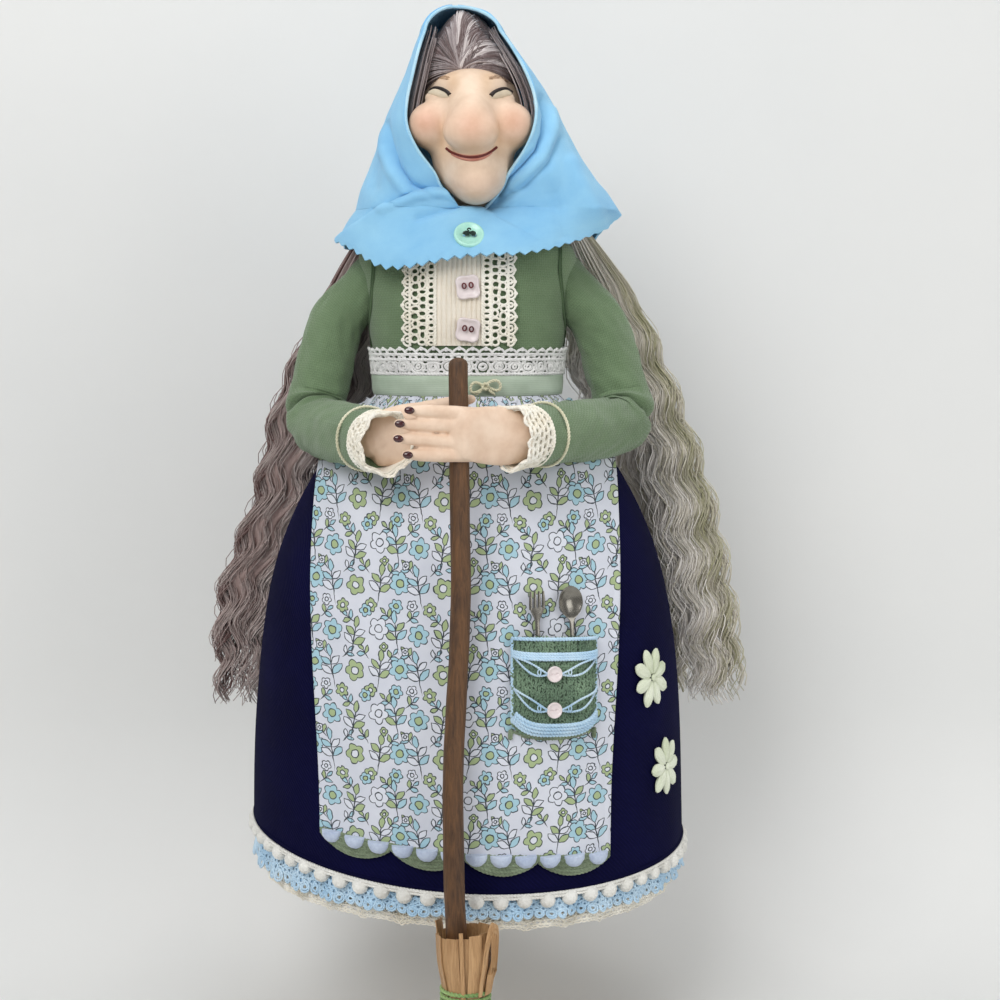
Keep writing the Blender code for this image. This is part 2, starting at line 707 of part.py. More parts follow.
def limb(points, tangents, radii, gap_at_start, gap_at_end):
    """A tapered limb through ring centres, pulled back by a gap where it meets its neighbour."""
    points = [point.copy() for point in points]
    points[0] += tangents[0] * gap_at_start
    points[-1] -= tangents[-1] * gap_at_end
    normal = tangents[0].orthogonal().normalized()
    frames = []
    for tangent in tangents:
        normal = (normal - tangent * normal.dot(tangent)).normalized()
        frames.append((normal, tangent.cross(normal)))

    def place(u, v):
        index = round(v * (len(points) - 1))
        side, lift = frames[index]
        turn = 2 * math.pi * u
        return points[index] + (side * math.cos(turn) + lift * math.sin(turn)) * radii[index]
    return capped(SLEEVE_SIDES, len(points) - 1, place)


def bodice_clearance():
    """A solid a gap larger than the bodice, which the sleeves are cut by."""
    rows = torso_rows(TORSO_BOTTOM + GAP, TORSO_BOTTOM + TORSO_LENGTH - GAP)
    return capped(TORSO_COLUMNS, len(rows) - 1,
                  lambda u, v: lifted(torso, around(u), row_at(rows, v), ON_BODICE + GAP))


def skirt_clearance():
    """A solid larger than the skirt and its apron, which the forearms are cut by."""
    rows = skirt_rows(APRON_BOTTOM, SKIRT_TOP)
    return capped(SKIRT_COLUMNS // 2, len(rows) - 1,
                  lambda u, v: lifted(skirt, around(u), row_at(rows, v), ON_APRON_LACE + FOREARM_EASE))


def make_arm(name, side, wrist):
    """The sleeve in two halves, its wire, cuff and piping."""
    wrist = Vector(wrist)
    upper_half, lower_half = arm_centres(side, wrist)
    forearm = (wrist - lower_half[-2]).normalized()
    sleeve_end = wrist - forearm * CUFF_LENGTH
    lower_half[-1] = sleeve_end
    lengths = [0]
    whole = upper_half + lower_half[1:]
    for first, second in zip(whole, whole[1:]):
        lengths.append(lengths[-1] + (second - first).length)
    radii = [SLEEVE_RADIUS * from_table(SLEEVE_RADIUS_SHARES, length / lengths[-1])[0] for length in lengths]
    ways = directions(whole)
    split = len(upper_half)
    upper = limb(upper_half, ways[:split], radii[:split], 0, GAP / 2)
    lower = limb(lower_half, ways[split - 1:], radii[split - 1:], GAP / 2, 0)
    upper = combine(upper, bodice_clearance(), "DIFFERENCE")
    lower = combine(lower, skirt_clearance(), "DIFFERENCE")
    wire_end = sleeve_end + forearm * WIRE_IN_HAND
    wire_start = whole[0] + (whole[1] - whole[0]).normalized() * OVERRUN
    route = whole[:-1] + [wire_end + forearm * GAP]
    add(f"sleeve_upper_{name}", combine(upper, tube(route, WIRE_RADIUS + GAP), "DIFFERENCE"),
        "green_linen", DOLL_AXIS)
    add(f"sleeve_lower_{name}", combine(lower, tube(route, WIRE_RADIUS + GAP), "DIFFERENCE"),
        "green_linen", DOLL_AXIS)
    add(f"arm_wire_{name}", tube([wire_start] + whole[1:-1] + [wire_end], WIRE_RADIUS), "steel", DOLL_AXIS)
    make_cuff(name, sleeve_end, forearm)
    make_piping(name, lower_half, radii[len(upper_half) - 1:])
    return route


def make_cuff(name, start, forearm):
    """The lace round a sleeve's mouth."""
    side = forearm.orthogonal().normalized()
    lift = forearm.cross(side)
    wrist_gap = forearm * GAP

    def place(u, v):
        turn = 2 * math.pi * u
        radius = between(CUFF_RADIUS, CUFF_MOUTH_RADIUS, v) - LACE + CUFF_WAVE * v * math.cos(CUFF_WAVES * turn)
        return start + wrist_gap + forearm * CUFF_LENGTH * v + (side * math.cos(turn) + lift * math.sin(turn)) * radius
    add(f"cuff_lace_{name}", sheet(24, 1, place, LACE), "cream_lace", DOLL_AXIS)


def make_piping(name, points, radii):
    """The cord sewn round a forearm."""
    start, end = points[-2], points[-1]
    centre = start.lerp(end, PIPING_SHARE - 0.5)
    radius = between(radii[-2], radii[-1], PIPING_SHARE - 0.5) + GAP + PIPING_RADIUS
    forearm = (end - start).normalized()
    side = forearm.orthogonal().normalized()
    lift = forearm.cross(side)
    ring = [centre + (side * math.cos(turn) + lift * math.sin(turn)) * radius
            for turn in [2 * math.pi * step / 20 for step in range(20)]]
    piping = combine(tube(ring, PIPING_RADIUS, 0, closed=True), skirt_clearance(), "DIFFERENCE")
    add(f"sleeve_piping_{name}", piping, "cream_cord", DOLL_AXIS)


def make_hand(name, wire_route, wrist, knuckles, fingertips, finger_share):
    """A wrist on the end of the arm's wire, a palm and four fingers, modelled as one."""
    wrist, knuckles, fingertips = Vector(wrist), Vector(knuckles), Vector(fingertips)
    forearm = (wire_route[-1] - wire_route[-2]).normalized()
    reach = (fingertips - knuckles).normalized()
    width = Vector((0, 0, 1))
    width = (width - reach * width.dot(reach)).normalized()
    out = reach.cross(width)
    palm_way = (knuckles - wrist).normalized()
    palm_out = palm_way.cross(width).normalized()

    def palm(u, v):
        turn = 2 * math.pi * u
        swell = 0.62 + 0.38 * smooth(v / 0.7)
        centre = wrist.lerp(knuckles, v)
        facing = palm_out.lerp(out, v).normalized()
        return (centre + width * math.cos(turn) * PALM_HALF_WIDTH * swell
                + facing * math.sin(turn) * PALM_HALF_THICKNESS)
    stub_start = wrist - forearm * (CUFF_LENGTH - GAP)
    pieces = [capped(12, 4, palm), tube([stub_start, wrist, wrist.lerp(knuckles, 0.3)], WRIST_RADIUS, 1,
                                        (1.0, 0.9, 0.5))]
    for index, share in enumerate(FINGER_LENGTH_SHARES):
        offset = width * FINGER_PITCH * (1.5 - index)
        length = FINGER_LENGTH * share * finger_share
        base = knuckles + offset * 0.86 - reach * FINGER_RADIUS * 2
        tip = knuckles + offset + reach * length
        middle = base.lerp(tip, 0.5)
        near_tip = base.lerp(tip, 0.93)
        pieces.append(tube([base, middle, near_tip, tip], FINGER_RADIUS, 1, (1.0, 1.0, 0.85, 0.45)))
    bore = tube(wire_route[-2:], WIRE_RADIUS + GAP)
    add(name, combine(joined(pieces), bore, "DIFFERENCE"), "flesh_clay", DOLL_AXIS)


def make_torso(wire_paths):
    """The stuffed core with the neck's bore, and the bodice over it."""
    top = TORSO_BOTTOM + TORSO_LENGTH
    rows = torso_rows(TORSO_BOTTOM, top)
    core = capped(TORSO_COLUMNS, len(rows) - 1, lambda u, v: torso(around(u), row_at(rows, v)))
    neck = (NECK_AXIS[0], NECK_AXIS[1])
    core = combine(core, rod((*neck, DOWEL_BOTTOM - GAP), (*neck, top + OVERRUN),
                             DOWEL_RADIUS + DOWEL_CLEARANCE), "DIFFERENCE")
    bodice = band(BODICE_BOTTOM, top - 2 * GAP, GAP, BODICE_CLOTH)
    for path in wire_paths:
        core = combine(core, tube(path[:3], WIRE_RADIUS + GAP), "DIFFERENCE")
        bodice = combine(bodice, tube(path[:3], WIRE_RADIUS + GAP), "DIFFERENCE")
    add("torso_core", core, "wadding", DOLL_AXIS)
    add("bodice", bodice, "green_linen", DOLL_AXIS)


def on_bodice(x, height, distance):
    """The point over the bodice's front at a place seen from the front."""
    half_width = torso(math.pi / 2, height).x
    return lifted(torso, math.asin(x / half_width), height, distance)


def make_blouse():
    """The blouse front, its lace strips and buttons, and the laces and ribbon at the waist."""
    rows = torso_rows(PANEL_BOTTOM, PANEL_TOP)

    def strip(left, right, columns):
        return sheet(columns, len(rows) - 1, lambda u, v: on_bodice(
            between(left, right, u), row_at(rows, v), ON_BODICE), PANEL_CLOTH)
    add("blouse_front", strip(BLOUSE_LEFT, BLOUSE_RIGHT, 5), "cream_lace", DOLL_AXIS)
    left_edge, right_edge = BLOUSE_LEFT - GAP, BLOUSE_RIGHT + GAP
    add("lace_strip_left", strip(left_edge - LACE_STRIP_WIDTH, left_edge, 4), "cream_lace", DOLL_AXIS)
    add("lace_strip_right", strip(right_edge, right_edge + LACE_STRIP_WIDTH, 4), "cream_lace", DOLL_AXIS)
    add("waist_lace", band(WAIST_LACE_BOTTOM, WAIST_LACE_TOP, ON_BODICE, LACE), "white_lace", DOLL_AXIS)
    add("waist_ribbon", band(RIBBON_BOTTOM, RIBBON_TOP, ON_BODICE, RIBBON_THICKNESS),
        "sage_ribbon", DOLL_AXIS)
    for number, height in enumerate(BLOUSE_BUTTON_HEIGHTS):
        face = on_bodice(BLOUSE_BUTTON_X, height, ON_PANEL + BLOUSE_BUTTON_THICKNESS / 2)
        behind = on_bodice(BLOUSE_BUTTON_X, height, ON_BODICE)
        out = (face - behind).normalized()
        outline = []
        for step in range(16):
            turn = 2 * math.pi * step / 16
            radius = BLOUSE_BUTTON_RADIUS * (1 + BLOUSE_BUTTON_LOBE_SHARE * math.cos(BLOUSE_BUTTON_LOBES * turn))
            outline.append((radius * math.cos(turn), radius * math.sin(turn)))
        button = plate(outline, BLOUSE_BUTTON_THICKNESS, face, (1, 0, 0), out.cross(Vector((1, 0, 0))))
        for way in (-1, 1):
            hole = face + Vector((way * BUTTON_HOLE_SPACING / 2, 0, 0))
            button = combine(button, rod(hole - out * BLOUSE_BUTTON_THICKNESS, hole + out * BLOUSE_BUTTON_THICKNESS,
                                         BUTTON_HOLE_RADIUS, 6), "DIFFERENCE")
        add(("blouse_button_upper", "blouse_button_lower")[number], button, "white_plastic", DOLL_AXIS)


def make_bow():
    """The cord bow that ties the ribbon."""
    points = []
    for step in range(BOW_POINTS):
        turn = 2 * math.pi * (step / (BOW_POINTS - 1) - 0.5) * 0.94
        across = BOW_LOOP * math.sin(turn)
        drop = BOW_LOOP * 0.45 * math.sin(2 * turn)
        lift = BOW_CORD_RADIUS * 1.4 * (1 + math.cos(turn / 2 + math.pi / 2))
        points.append(on_bodice(BOW_PLACE[0] + across, BOW_PLACE[1] + drop,
                                ON_BODICE + RIBBON_THICKNESS + GAP + BOW_CORD_RADIUS + lift * 0.9))
    add("waist_cord_bow", tube(points, BOW_CORD_RADIUS), "cream_cord", DOLL_AXIS)


def make_skirt():
    """The stuffing, the base disc and the skirt cloth."""
    foot_rows = [FORM_BOTTOM, FORM_STEP_HEIGHT]
    body_rows = skirt_rows(FORM_STEP_HEIGHT + FORM_STEP_RISE, FORM_TOP)

    def form(u, v):
        height = row_at(foot_rows + body_rows, v)
        inset = BASE_INSET if height in foot_rows else GAP
        return lifted(skirt, around(u), height, -inset)
    form_rows = len(foot_rows + body_rows)
    add("skirt_form", capped(SKIRT_COLUMNS, form_rows - 1, form), "wadding", DOLL_AXIS)
    base_top = FORM_BOTTOM - GAP

    def base(u, v):
        point = lifted(skirt, around(u), base_top, -BASE_INSET)
        point.z = between(base_top - BASE_THICKNESS, base_top, v)
        return point
    add("base_disc", capped(SKIRT_COLUMNS, 1, base), "card", DOLL_AXIS)
    rows = len(skirt_rows(HEM_HEIGHT, SKIRT_TOP))
    cloth = sheet(SKIRT_COLUMNS, rows - 1, lambda u, v: skirt(
        around(u), row_at(skirt_rows(hem_height(around(u)), SKIRT_TOP), v)), SKIRT_CLOTH)
    add("skirt", cloth, "navy_twill", DOLL_AXIS)


def make_hem_trims():
    """The string of pompoms and the two frills under the hem."""
    string = []
    for step in range(2 * POM_COUNT):
        angle = around(step / (2 * POM_COUNT))
        centre = lifted(skirt, angle, hem_height(angle), POM_STAND_OUT)
        centre.z = hem_height(angle) - GAP - POM_RADIUS
        string.append(centre)
    shares = [(1, POM_NECK_SHARE)[step % 2] for step in range(2 * POM_COUNT)]
    add("hem_pom_trim", tube(string, POM_RADIUS, 0, shares, closed=True), "white_pom", DOLL_AXIS)

    def blue(u, v):
        angle = around(u)
        height = hem_height(angle) + between(-BLUE_FRILL_DROP, FRILL_TUCK, v)
        wave = 0.5 + 0.5 * math.cos(BLUE_FRILL_WAVES * angle)
        flare = BLUE_FRILL_FLARE * wave if v < FRILL_FLARE_SHARE else 0
        return lifted(skirt, angle, height, flare - BLUE_FRILL_INSET)
    add("blue_frill", sheet(BLUE_FRILL_WAVES * 2, 2, blue, LACE), "blue_lace", DOLL_AXIS)

    def cream(u, v):
        angle = around(u)
        lowest = CREAM_FRILL_BOTTOM + CREAM_FRILL_SIDE_RISE * math.sin(angle) ** 4
        lowest = min(lowest, hem_height(angle) - BLUE_FRILL_DROP - CREAM_FRILL_SHOWN)
        height = between(lowest, hem_height(angle) + FRILL_TUCK, v)
        wave = CREAM_FRILL_FLARE * (1 - v) * math.cos(CREAM_FRILL_WAVES * angle)
        return lifted(skirt, angle, height, wave - CREAM_FRILL_INSET)
    add("cream_frill", sheet(CREAM_FRILL_WAVES * 2, 1, cream, LACE), "cream_lace", DOLL_AXIS)


def apron_edge(height):
    """The angle of the apron's side edge at a height."""
    share = min(APRON_HALF_WIDTH / skirt_half_width(height), math.sin(APRON_WIDEST_ANGLE))
    return math.asin(share)


def apron_bottom(x):
    """Height of the apron's lower edge, which hangs lower at +X."""
    return APRON_BOTTOM - APRON_TILT * x / APRON_HALF_WIDTH


def on_skirt(x, height, distance):
    """The point over the skirt's front at a place seen from the front."""
    return lifted(skirt, math.asin(x / skirt_half_width(height)), height, distance)


def make_apron():
    """The apron cloth, the lace at its top and the trims under its lower edge."""
    def cloth(u, v):
        share = 2 * u - 1
        low = apron_bottom(share * APRON_HALF_WIDTH)
        height = row_at(skirt_rows(low, APRON_TOP), v)
        return lifted(skirt, share * apron_edge(height), height, ON_SKIRT)
    rows = len(skirt_rows(APRON_BOTTOM, APRON_TOP))
    add("apron", sheet(22, rows - 1, cloth, APRON_CLOTH), "white_print", DOLL_AXIS)

    lace_rows = skirt_rows(APRON_TOP - APRON_LACE_HEIGHT, APRON_TOP)

    def lace(u, v):
        height = row_at(lace_rows, v)
        return lifted(skirt, (2 * u - 1) * apron_edge(height), height, ON_APRON)
    add("apron_top_lace", sheet(22, len(lace_rows) - 1, lace, LACE), "white_lace", DOLL_AXIS)

    def below(x, drop):
        return apron_bottom(x) - GAP - drop
    half = APRON_HALF_WIDTH - APRON_POM_RADIUS

    def poms(u, v):
        x = between(-half, half, u)
        drop = APRON_POM_RADIUS * abs(math.sin(math.pi * APRON_POM_COUNT * u))
        return on_skirt(x, below(x, (drop + APRON_POM_TAPE_HEIGHT) * (1 - v)), ON_SKIRT + LACE + GAP)
    add("apron_pom_trim", sheet(APRON_POM_COUNT * 3, 1, poms, APRON_POM_THICKNESS), "lilac_pom", DOLL_AXIS)

    def scallop(u, v):
        x = between(-half, half, u)
        wave = SCALLOP_DEPTH * abs(math.sin(math.pi * SCALLOP_COUNT * u))
        low = below(x, SCALLOP_DROP - SCALLOP_DEPTH + wave)
        return on_skirt(x, between(low, apron_bottom(x) - GAP, v), ON_SKIRT)
    add("apron_scallop_trim", sheet(24, 1, scallop, LACE), "sage_lace", DOLL_AXIS)


def pocket_bottom(share):
    """Height of the pocket's lower edge at a share across it, from -1 to 1."""
    return POCKET_TOP - POCKET_HEIGHT + POCKET_CORNER_RISE * abs(share) ** 4


def on_pocket(share, rise, distance=0):
    """A point of the pocket's inner face, which stands off the apron away from its seams."""
    low = pocket_bottom(share)
    height = between(low, POCKET_TOP, rise)
    room = POCKET_ROOM * (1 - abs(share) ** 6) * (1 - (1 - rise) ** 14)
    return on_skirt(POCKET_X + POCKET_HALF_WIDTH * share, height, ON_APRON + room + distance)


def make_pocket():
    """The knitted pocket with its crochet trim, buttons and loops."""
    panel = sheet(10, 6, lambda u, v: on_pocket(2 * u - 1, v), POCKET_CLOTH)
    add("pocket", panel, "sage_knit", DOLL_AXIS)
    face = POCKET_CLOTH + GAP
    inset = 1 - 2 * POCKET_TRIM_RADIUS / POCKET_HALF_WIDTH
    low, high = 0.06, 0.95
    outline = [(-inset, between(low, high, step / 5)) for step in range(6)]
    outline += [(between(-inset, inset, step / 8), high) for step in range(1, 8)]
    outline += [(inset, between(high, low, step / 5)) for step in range(6)]
    outline += [(between(inset, -inset, step / 8), low) for step in range(1, 8)]
    path = [on_pocket(share, rise, face + POCKET_TRIM_RADIUS * 1.5) for share, rise in outline]
    add("pocket_trim", tube(path, POCKET_TRIM_RADIUS, 0, closed=True), "blue_lace", DOLL_AXIS)
    for name, drop in zip(("upper", "lower"), POCKET_BUTTON_DROPS):
        rise = 1 - drop / POCKET_HEIGHT
        seat = on_pocket(0, rise, face)
        out = (on_pocket(0, rise, face + POCKET_CLOTH) - seat).normalized()
        add(f"pocket_button_{name}", rod(seat, seat + out * POCKET_BUTTON_THICKNESS, POCKET_BUTTON_RADIUS),
            "white_plastic", DOLL_AXIS)
        reach = POCKET_LOOP_HALF_WIDTH / POCKET_HALF_WIDTH
        dip = POCKET_LOOP_DIP / POCKET_HEIGHT
        loop = []
        for step in range(13):
            share = between(-reach, reach, step / 12)
            start_share, sag_share = POCKET_LOOP_HANG_SHARES
            slack = rise + start_share * dip - sag_share * dip * (1 - (share / reach) ** 2)
            loop.append(on_pocket(share, slack + POCKET_BUTTON_RADIUS * 0.9 / POCKET_HEIGHT,
                                  face + POCKET_LOOP_RADIUS * 1.5))
        add(f"pocket_loop_{name}", tube(loop, POCKET_LOOP_RADIUS), "blue_cord", DOLL_AXIS)


def cutlery_frame(x):
    """Where a fork or spoon stands behind the pocket: its foot, right, up and out."""
    middle = pocket_bottom((x - POCKET_X) / POCKET_HALF_WIDTH) + POCKET_HEIGHT / 2
    seat = on_skirt(x, middle, ON_APRON + CUTLERY_STANDOFF + CUTLERY_THICKNESS / 2)
    out = (on_skirt(x, middle, ON_APRON + CUTLERY_STANDOFF + CUTLERY_THICKNESS) - seat).normalized()
    right = (on_skirt(x + PROBE, middle, 0) - on_skirt(x - PROBE, middle, 0)).normalized()
    up = out.cross(right).normalized()
    foot = seat - up * (POCKET_HEIGHT / 2 - CUTLERY_SEAT)
    return foot, right, up, out


def make_spoon():
    """The spoon: a stem with a dished bowl."""
    foot, right, up, out = cutlery_frame(SPOON_X)
    axis = new_empty("spoon_axis", foot, DOLL_AXIS)
    bowl_base = SPOON_LENGTH - 2 * SPOON_BOWL_HALF_LENGTH
    stem = CUTLERY_STEM_HALF_WIDTH
    outline = [(-stem, 0), (stem, 0), (stem, bowl_base)]
    for step in range(-5, 12):
        turn = math.pi * step / 12
        across, along = math.cos(turn), math.sin(turn)
        outline.append((SPOON_BOWL_HALF_WIDTH * across, bowl_base + SPOON_BOWL_HALF_LENGTH * (1 + along)))
    for step in range(12, 18):
        turn = math.pi * step / 12
        across, along = math.cos(turn), math.sin(turn)
        if across < -stem / SPOON_BOWL_HALF_WIDTH:
            outline.append((SPOON_BOWL_HALF_WIDTH * across, bowl_base + SPOON_BOWL_HALF_LENGTH * (1 + along)))
    outline.append((-stem, bowl_base))
    spoon = plate(outline, CUTLERY_THICKNESS, foot, right, up)
    centre = foot + up * (bowl_base + SPOON_BOWL_HALF_LENGTH) + out * SPOON_BOWL_HALF_WIDTH
    dish = ball((0, 0, 0), (SPOON_BOWL_HALF_WIDTH * 0.8, SPOON_BOWL_HALF_WIDTH - SPOON_BOWL_DISH,
                            SPOON_BOWL_HALF_LENGTH * 0.8), 12, 8)
    axes = Matrix((right, -out, up)).transposed().to_4x4()
    dish.transform(Matrix.Translation(centre) @ axes)
    add("spoon", combine(spoon, dish, "DIFFERENCE"), "steel", axis)
    return up


def make_fork():
    """The fork: a stem with a slotted head."""
    foot, right, up, out = cutlery_frame(FORK_X)
    axis = new_empty("fork_axis", foot, DOLL_AXIS)
    stem, head = CUTLERY_STEM_HALF_WIDTH, FORK_HEAD_HALF_WIDTH
    base = FORK_LENGTH - FORK_HEAD_LENGTH
    shoulder = base + head
    outline = [(-stem, 0), (stem, 0), (stem, base), (head, shoulder), (head, FORK_LENGTH)]
    tine = (2 * head - (FORK_TINE_COUNT - 1) * FORK_SLOT_WIDTH) / FORK_TINE_COUNT
    edge = head - tine
    for _ in range(FORK_TINE_COUNT - 1):
        outline += [(edge, FORK_LENGTH), (edge, FORK_LENGTH - FORK_SLOT_LENGTH),
                    (edge - FORK_SLOT_WIDTH, FORK_LENGTH - FORK_SLOT_LENGTH), (edge - FORK_SLOT_WIDTH, FORK_LENGTH)]
        edge -= FORK_SLOT_WIDTH + tine
    outline += [(-head, FORK_LENGTH), (-head, shoulder), (-stem, base)]
    add("fork", plate(outline, CUTLERY_THICKNESS, foot, right, up), "steel", axis)
    return up


def make_flowers():
    """The two felt flowers on the skirt."""
    for name, angle, height in FLOWER_PLACES:
        place = lifted(skirt, angle, height, ON_SKIRT + FLOWER_THICKNESS / 2)
        out = (place - skirt(angle, height)).normalized()
        right = (skirt(angle + PROBE_ANGLE, height) - skirt(angle - PROBE_ANGLE, height)).normalized()
        outline = []
        steps = FLOWER_PETALS * 6
        for step in range(steps):
            turn = 2 * math.pi * step / steps
            petal = abs(math.cos(FLOWER_PETALS * turn / 2)) ** 0.5
            radius = FLOWER_RADIUS * between(FLOWER_NOTCH_SHARE, 1, petal)
            outline.append((radius * math.cos(turn), radius * math.sin(turn)))
        add(f"flower_{name}", plate(outline, FLOWER_THICKNESS, place, right, out.cross(right)),
            "petal_felt", DOLL_AXIS)


def make_broom():
    """The handle, the splint brush bound to it and the cord round the brush."""
    top, foot = Vector(HANDLE_TOP), Vector(HANDLE_FOOT)
    down = (foot - top).normalized()
    length = (foot - top).length
    axis = new_empty("broom_axis", top, DOLL_AXIS)
    profile = [(0, 0), (HANDLE_RADIUS * 0.6, HANDLE_DOME * 0.15), (HANDLE_RADIUS * 0.9, HANDLE_DOME * 0.5),
               (HANDLE_RADIUS, HANDLE_DOME), (HANDLE_RADIUS, length), (0, length)]
    add("broom_handle", turned(profile, top, down, 14), "brown_wood", axis)
    side = Vector((1, 0, 0))
    side = (side - down * side.dot(down)).normalized()
    lift = down.cross(side)
    start = top + down * ((BRUSH_TOP - top.z) / down.z)
    profile_rows = [row[0] for row in BRUSH_PROFILE_SHARES]

    def brush(u, v):
        row = profile_rows[round(v * (len(profile_rows) - 1))]
        radius, flat = from_table(BRUSH_PROFILE_SHARES, row)
        turn = 2 * math.pi * u
        ridge = 1 + BRUSH_RIDGE_SHARE * math.cos(BRUSH_SPLINTS * turn)
        across = side * math.cos(turn) + lift * math.sin(turn) * (1 - flat)
        return start + down * BRUSH_LENGTH * row + across * BRUSH_TOP_RADIUS * radius * ridge
    splints = capped(BRUSH_SPLINTS * 2, len(profile_rows) - 1, brush)
    splints = combine(splints, rod(start - down * OVERRUN, foot + down * GAP, HANDLE_RADIUS + GAP, 14), "DIFFERENCE")
    cup = rod(start - down * OVERRUN, start + down * BRUSH_CUP_DEPTH,
              BRUSH_TOP_RADIUS * (1 - BRUSH_RIDGE_SHARE) - BRUSH_CUP_WALL, 20)
    add("broom_splints", combine(splints, cup, "DIFFERENCE"), "pale_wood", axis)
    turns = []
    steps = TIE_TURNS * TIE_POINTS_PER_TURN
    reach = BRUSH_TOP_RADIUS * BRUSH_WAIST_SHARE * (1 + BRUSH_RIDGE_SHARE) + GAP + TIE_CORD_RADIUS
    for step in range(steps + 1):
        turn = 2 * math.pi * step / TIE_POINTS_PER_TURN
        along = TIE_START_SHARE * BRUSH_LENGTH + TIE_PITCH * step / TIE_POINTS_PER_TURN
        turns.append(start + down * along + (side * math.cos(turn) + lift * math.sin(turn)) * reach)
    add("broom_tie", tube(turns, TIE_CORD_RADIUS), "green_cord", axis)
    apart = min((first - second).length for index, first in enumerate(turns)
                for second in turns[index + TIE_POINTS_PER_TURN // 2:])
    print(f"broom_tie least gap to itself: {(apart - 2 * TIE_CORD_RADIUS) * 1000:.2f} mm")
    return down


def soft_union(first, second, softness):
    """The smaller of two distances, rounded where they are alike."""
    if softness <= 0:
        return min(first, second)
    mix = max(softness - abs(first - second), 0) / softness
    return min(first, second) - mix * mix * softness / 4


def head_distance(point):
    """Distance from a point to the head's surface, in head radii from the head's centre."""
    nearest = None
    for row in HEAD_FORM_SHARES:
        away = [point[axis] - row[axis] for axis in range(3)]
        scaled = math.sqrt(sum((away[axis] / row[3 + axis]) ** 2 for axis in range(3)))
        steep = math.sqrt(sum((away[axis] / row[3 + axis] ** 2) ** 2 for axis in range(3)))
        distance = scaled * (scaled - 1) / steep if steep else -min(row[3:6])
        nearest = distance if nearest is None else soft_union(nearest, distance, row[6])
    return nearest


def head_point(direction, margin=0):
    """Where a ray from the head's centre leaves the head."""
    reach = HEAD_REACH / HEAD_RADIUS
    for _ in range(HEAD_TRACE_STEPS):
        reach -= (head_distance(direction * reach) - margin / HEAD_RADIUS) * 0.9
    return Vector(HEAD_CENTRE) + direction * reach * HEAD_RADIUS


def head_mesh(margin=0):
    """The head as a sphere of rays."""
    bm = bmesh.new()
    bmesh.ops.create_uvsphere(bm, u_segments=HEAD_COLUMNS, v_segments=HEAD_ROWS, radius=1,
                              matrix=Matrix.Rotation(math.pi / 2, 4, "X"))
    for vertex in bm.verts:
        vertex.co = head_point(vertex.co.normalized(), margin)
    return mesh_from(bm)


def make_head(carrier):
    """The head with its neck dowel and the hair on it."""
    neck = NECK_AXIS
    head = combine(head_mesh(), rod((*neck, HOOD_BOTTOM - OVERRUN), (*neck, DOWEL_TOP + GAP),
                                    DOWEL_RADIUS + GAP), "DIFFERENCE")
    add("head", head, "flesh_clay", carrier)
    add("neck_dowel", rod((*neck, DOWEL_BOTTOM), (*neck, DOWEL_TOP), DOWEL_RADIUS), "pale_wood", carrier)
    cap = ball(HAIR_CAP_CENTRE, HAIR_CAP_RADII, 18, 12)
    for vertex in cap.vertices:
        vertex.co.x -= (vertex.co.z - HAIR_CAP_CENTRE[2]) * HAIR_CAP_LEAN_SHARE
    add("hair_cap", combine(cap, head_mesh(GAP), "DIFFERENCE"), "mauve_hair", carrier)


def make_locks():
    """The four long wavy locks that hang from under the scarf."""
    for name, rows in LOCK_SHARES.items():
        def place(u, v):
            x, y, half_width = [share * LOCK_REACH for share in from_table(rows, v)]
            wave = LOCK_WAVE * math.sin(2 * math.pi * v * LOCK_LENGTH / LOCK_WAVE_LENGTH) * smooth(v * 4)
            turn = 2 * math.pi * u
            return Vector((x + wave + half_width * math.cos(turn),
                           y + half_width * LOCK_DEPTH_SHARE * math.sin(turn), LOCK_TOP - LOCK_LENGTH * v))
        finish = "mauve_hair" if name.startswith("left") else "pale_hair"
        add(f"hair_lock_{name}", capped(8, 16, place), finish, DOLL_AXIS)


def hood_section(share):
    """Half widths, rims, front, bulge and back of the hood at a share of its height."""
    return [value * HOOD_REACH for value in from_table(HOOD_SHARES, share)]


def hood_middle(share):
    """Where the middle of the hood lies to the right of the neck, and half its width."""
    left, right = hood_section(share)[:2]
    return (right - left) / 2, (right + left) / 2


def hood_rim(side, share):
    """The angle at which the hood's front edge stands."""
    middle, half = hood_middle(share)
    rim = hood_section(share)[3 if side > 0 else 2]
    return math.asin((rim - side * middle) / half)


def hood_point(side, angle, share):
    """A point of the hood: the angle runs from the front, 0, to the back, half a turn."""
    middle, half = hood_middle(share)
    front, bulge, back = hood_section(share)[4:]
    x = NECK_AXIS[0] + middle + side * half * math.sin(angle)
    if angle < math.pi / 2:
        depth = (front + HOOD_MIDDLE_Y) / math.cos(hood_rim(side, share))
        y = HOOD_MIDDLE_Y - depth * math.cos(angle) - bulge * math.sin(2 * angle)
    else:
        y = HOOD_MIDDLE_Y - back * math.cos(angle)
    return Vector((x, y, between(HOOD_BOTTOM, HOOD_TOP, share)))


def make_hood(carrier):
    """The part of the scarf that is drawn over the head."""
    def place(u, v):
        side = -1 if u < 0.5 else 1
        along = abs(2 * u - 1)
        return hood_point(side, between(math.pi, hood_rim(side, v), along), v)
    add("scarf_hood", sheet(22, 11, place, SCARF_CLOTH), "blue_cotton", carrier)


def cape_edge(share):
    """The scarf's lower edge at a share of half a turn from the front."""
    x, y, drop = [value * HOOD_REACH for value in from_table(CAPE_EDGE_SHARES, share)]
    return Vector((x, y, HOOD_BOTTOM + drop))


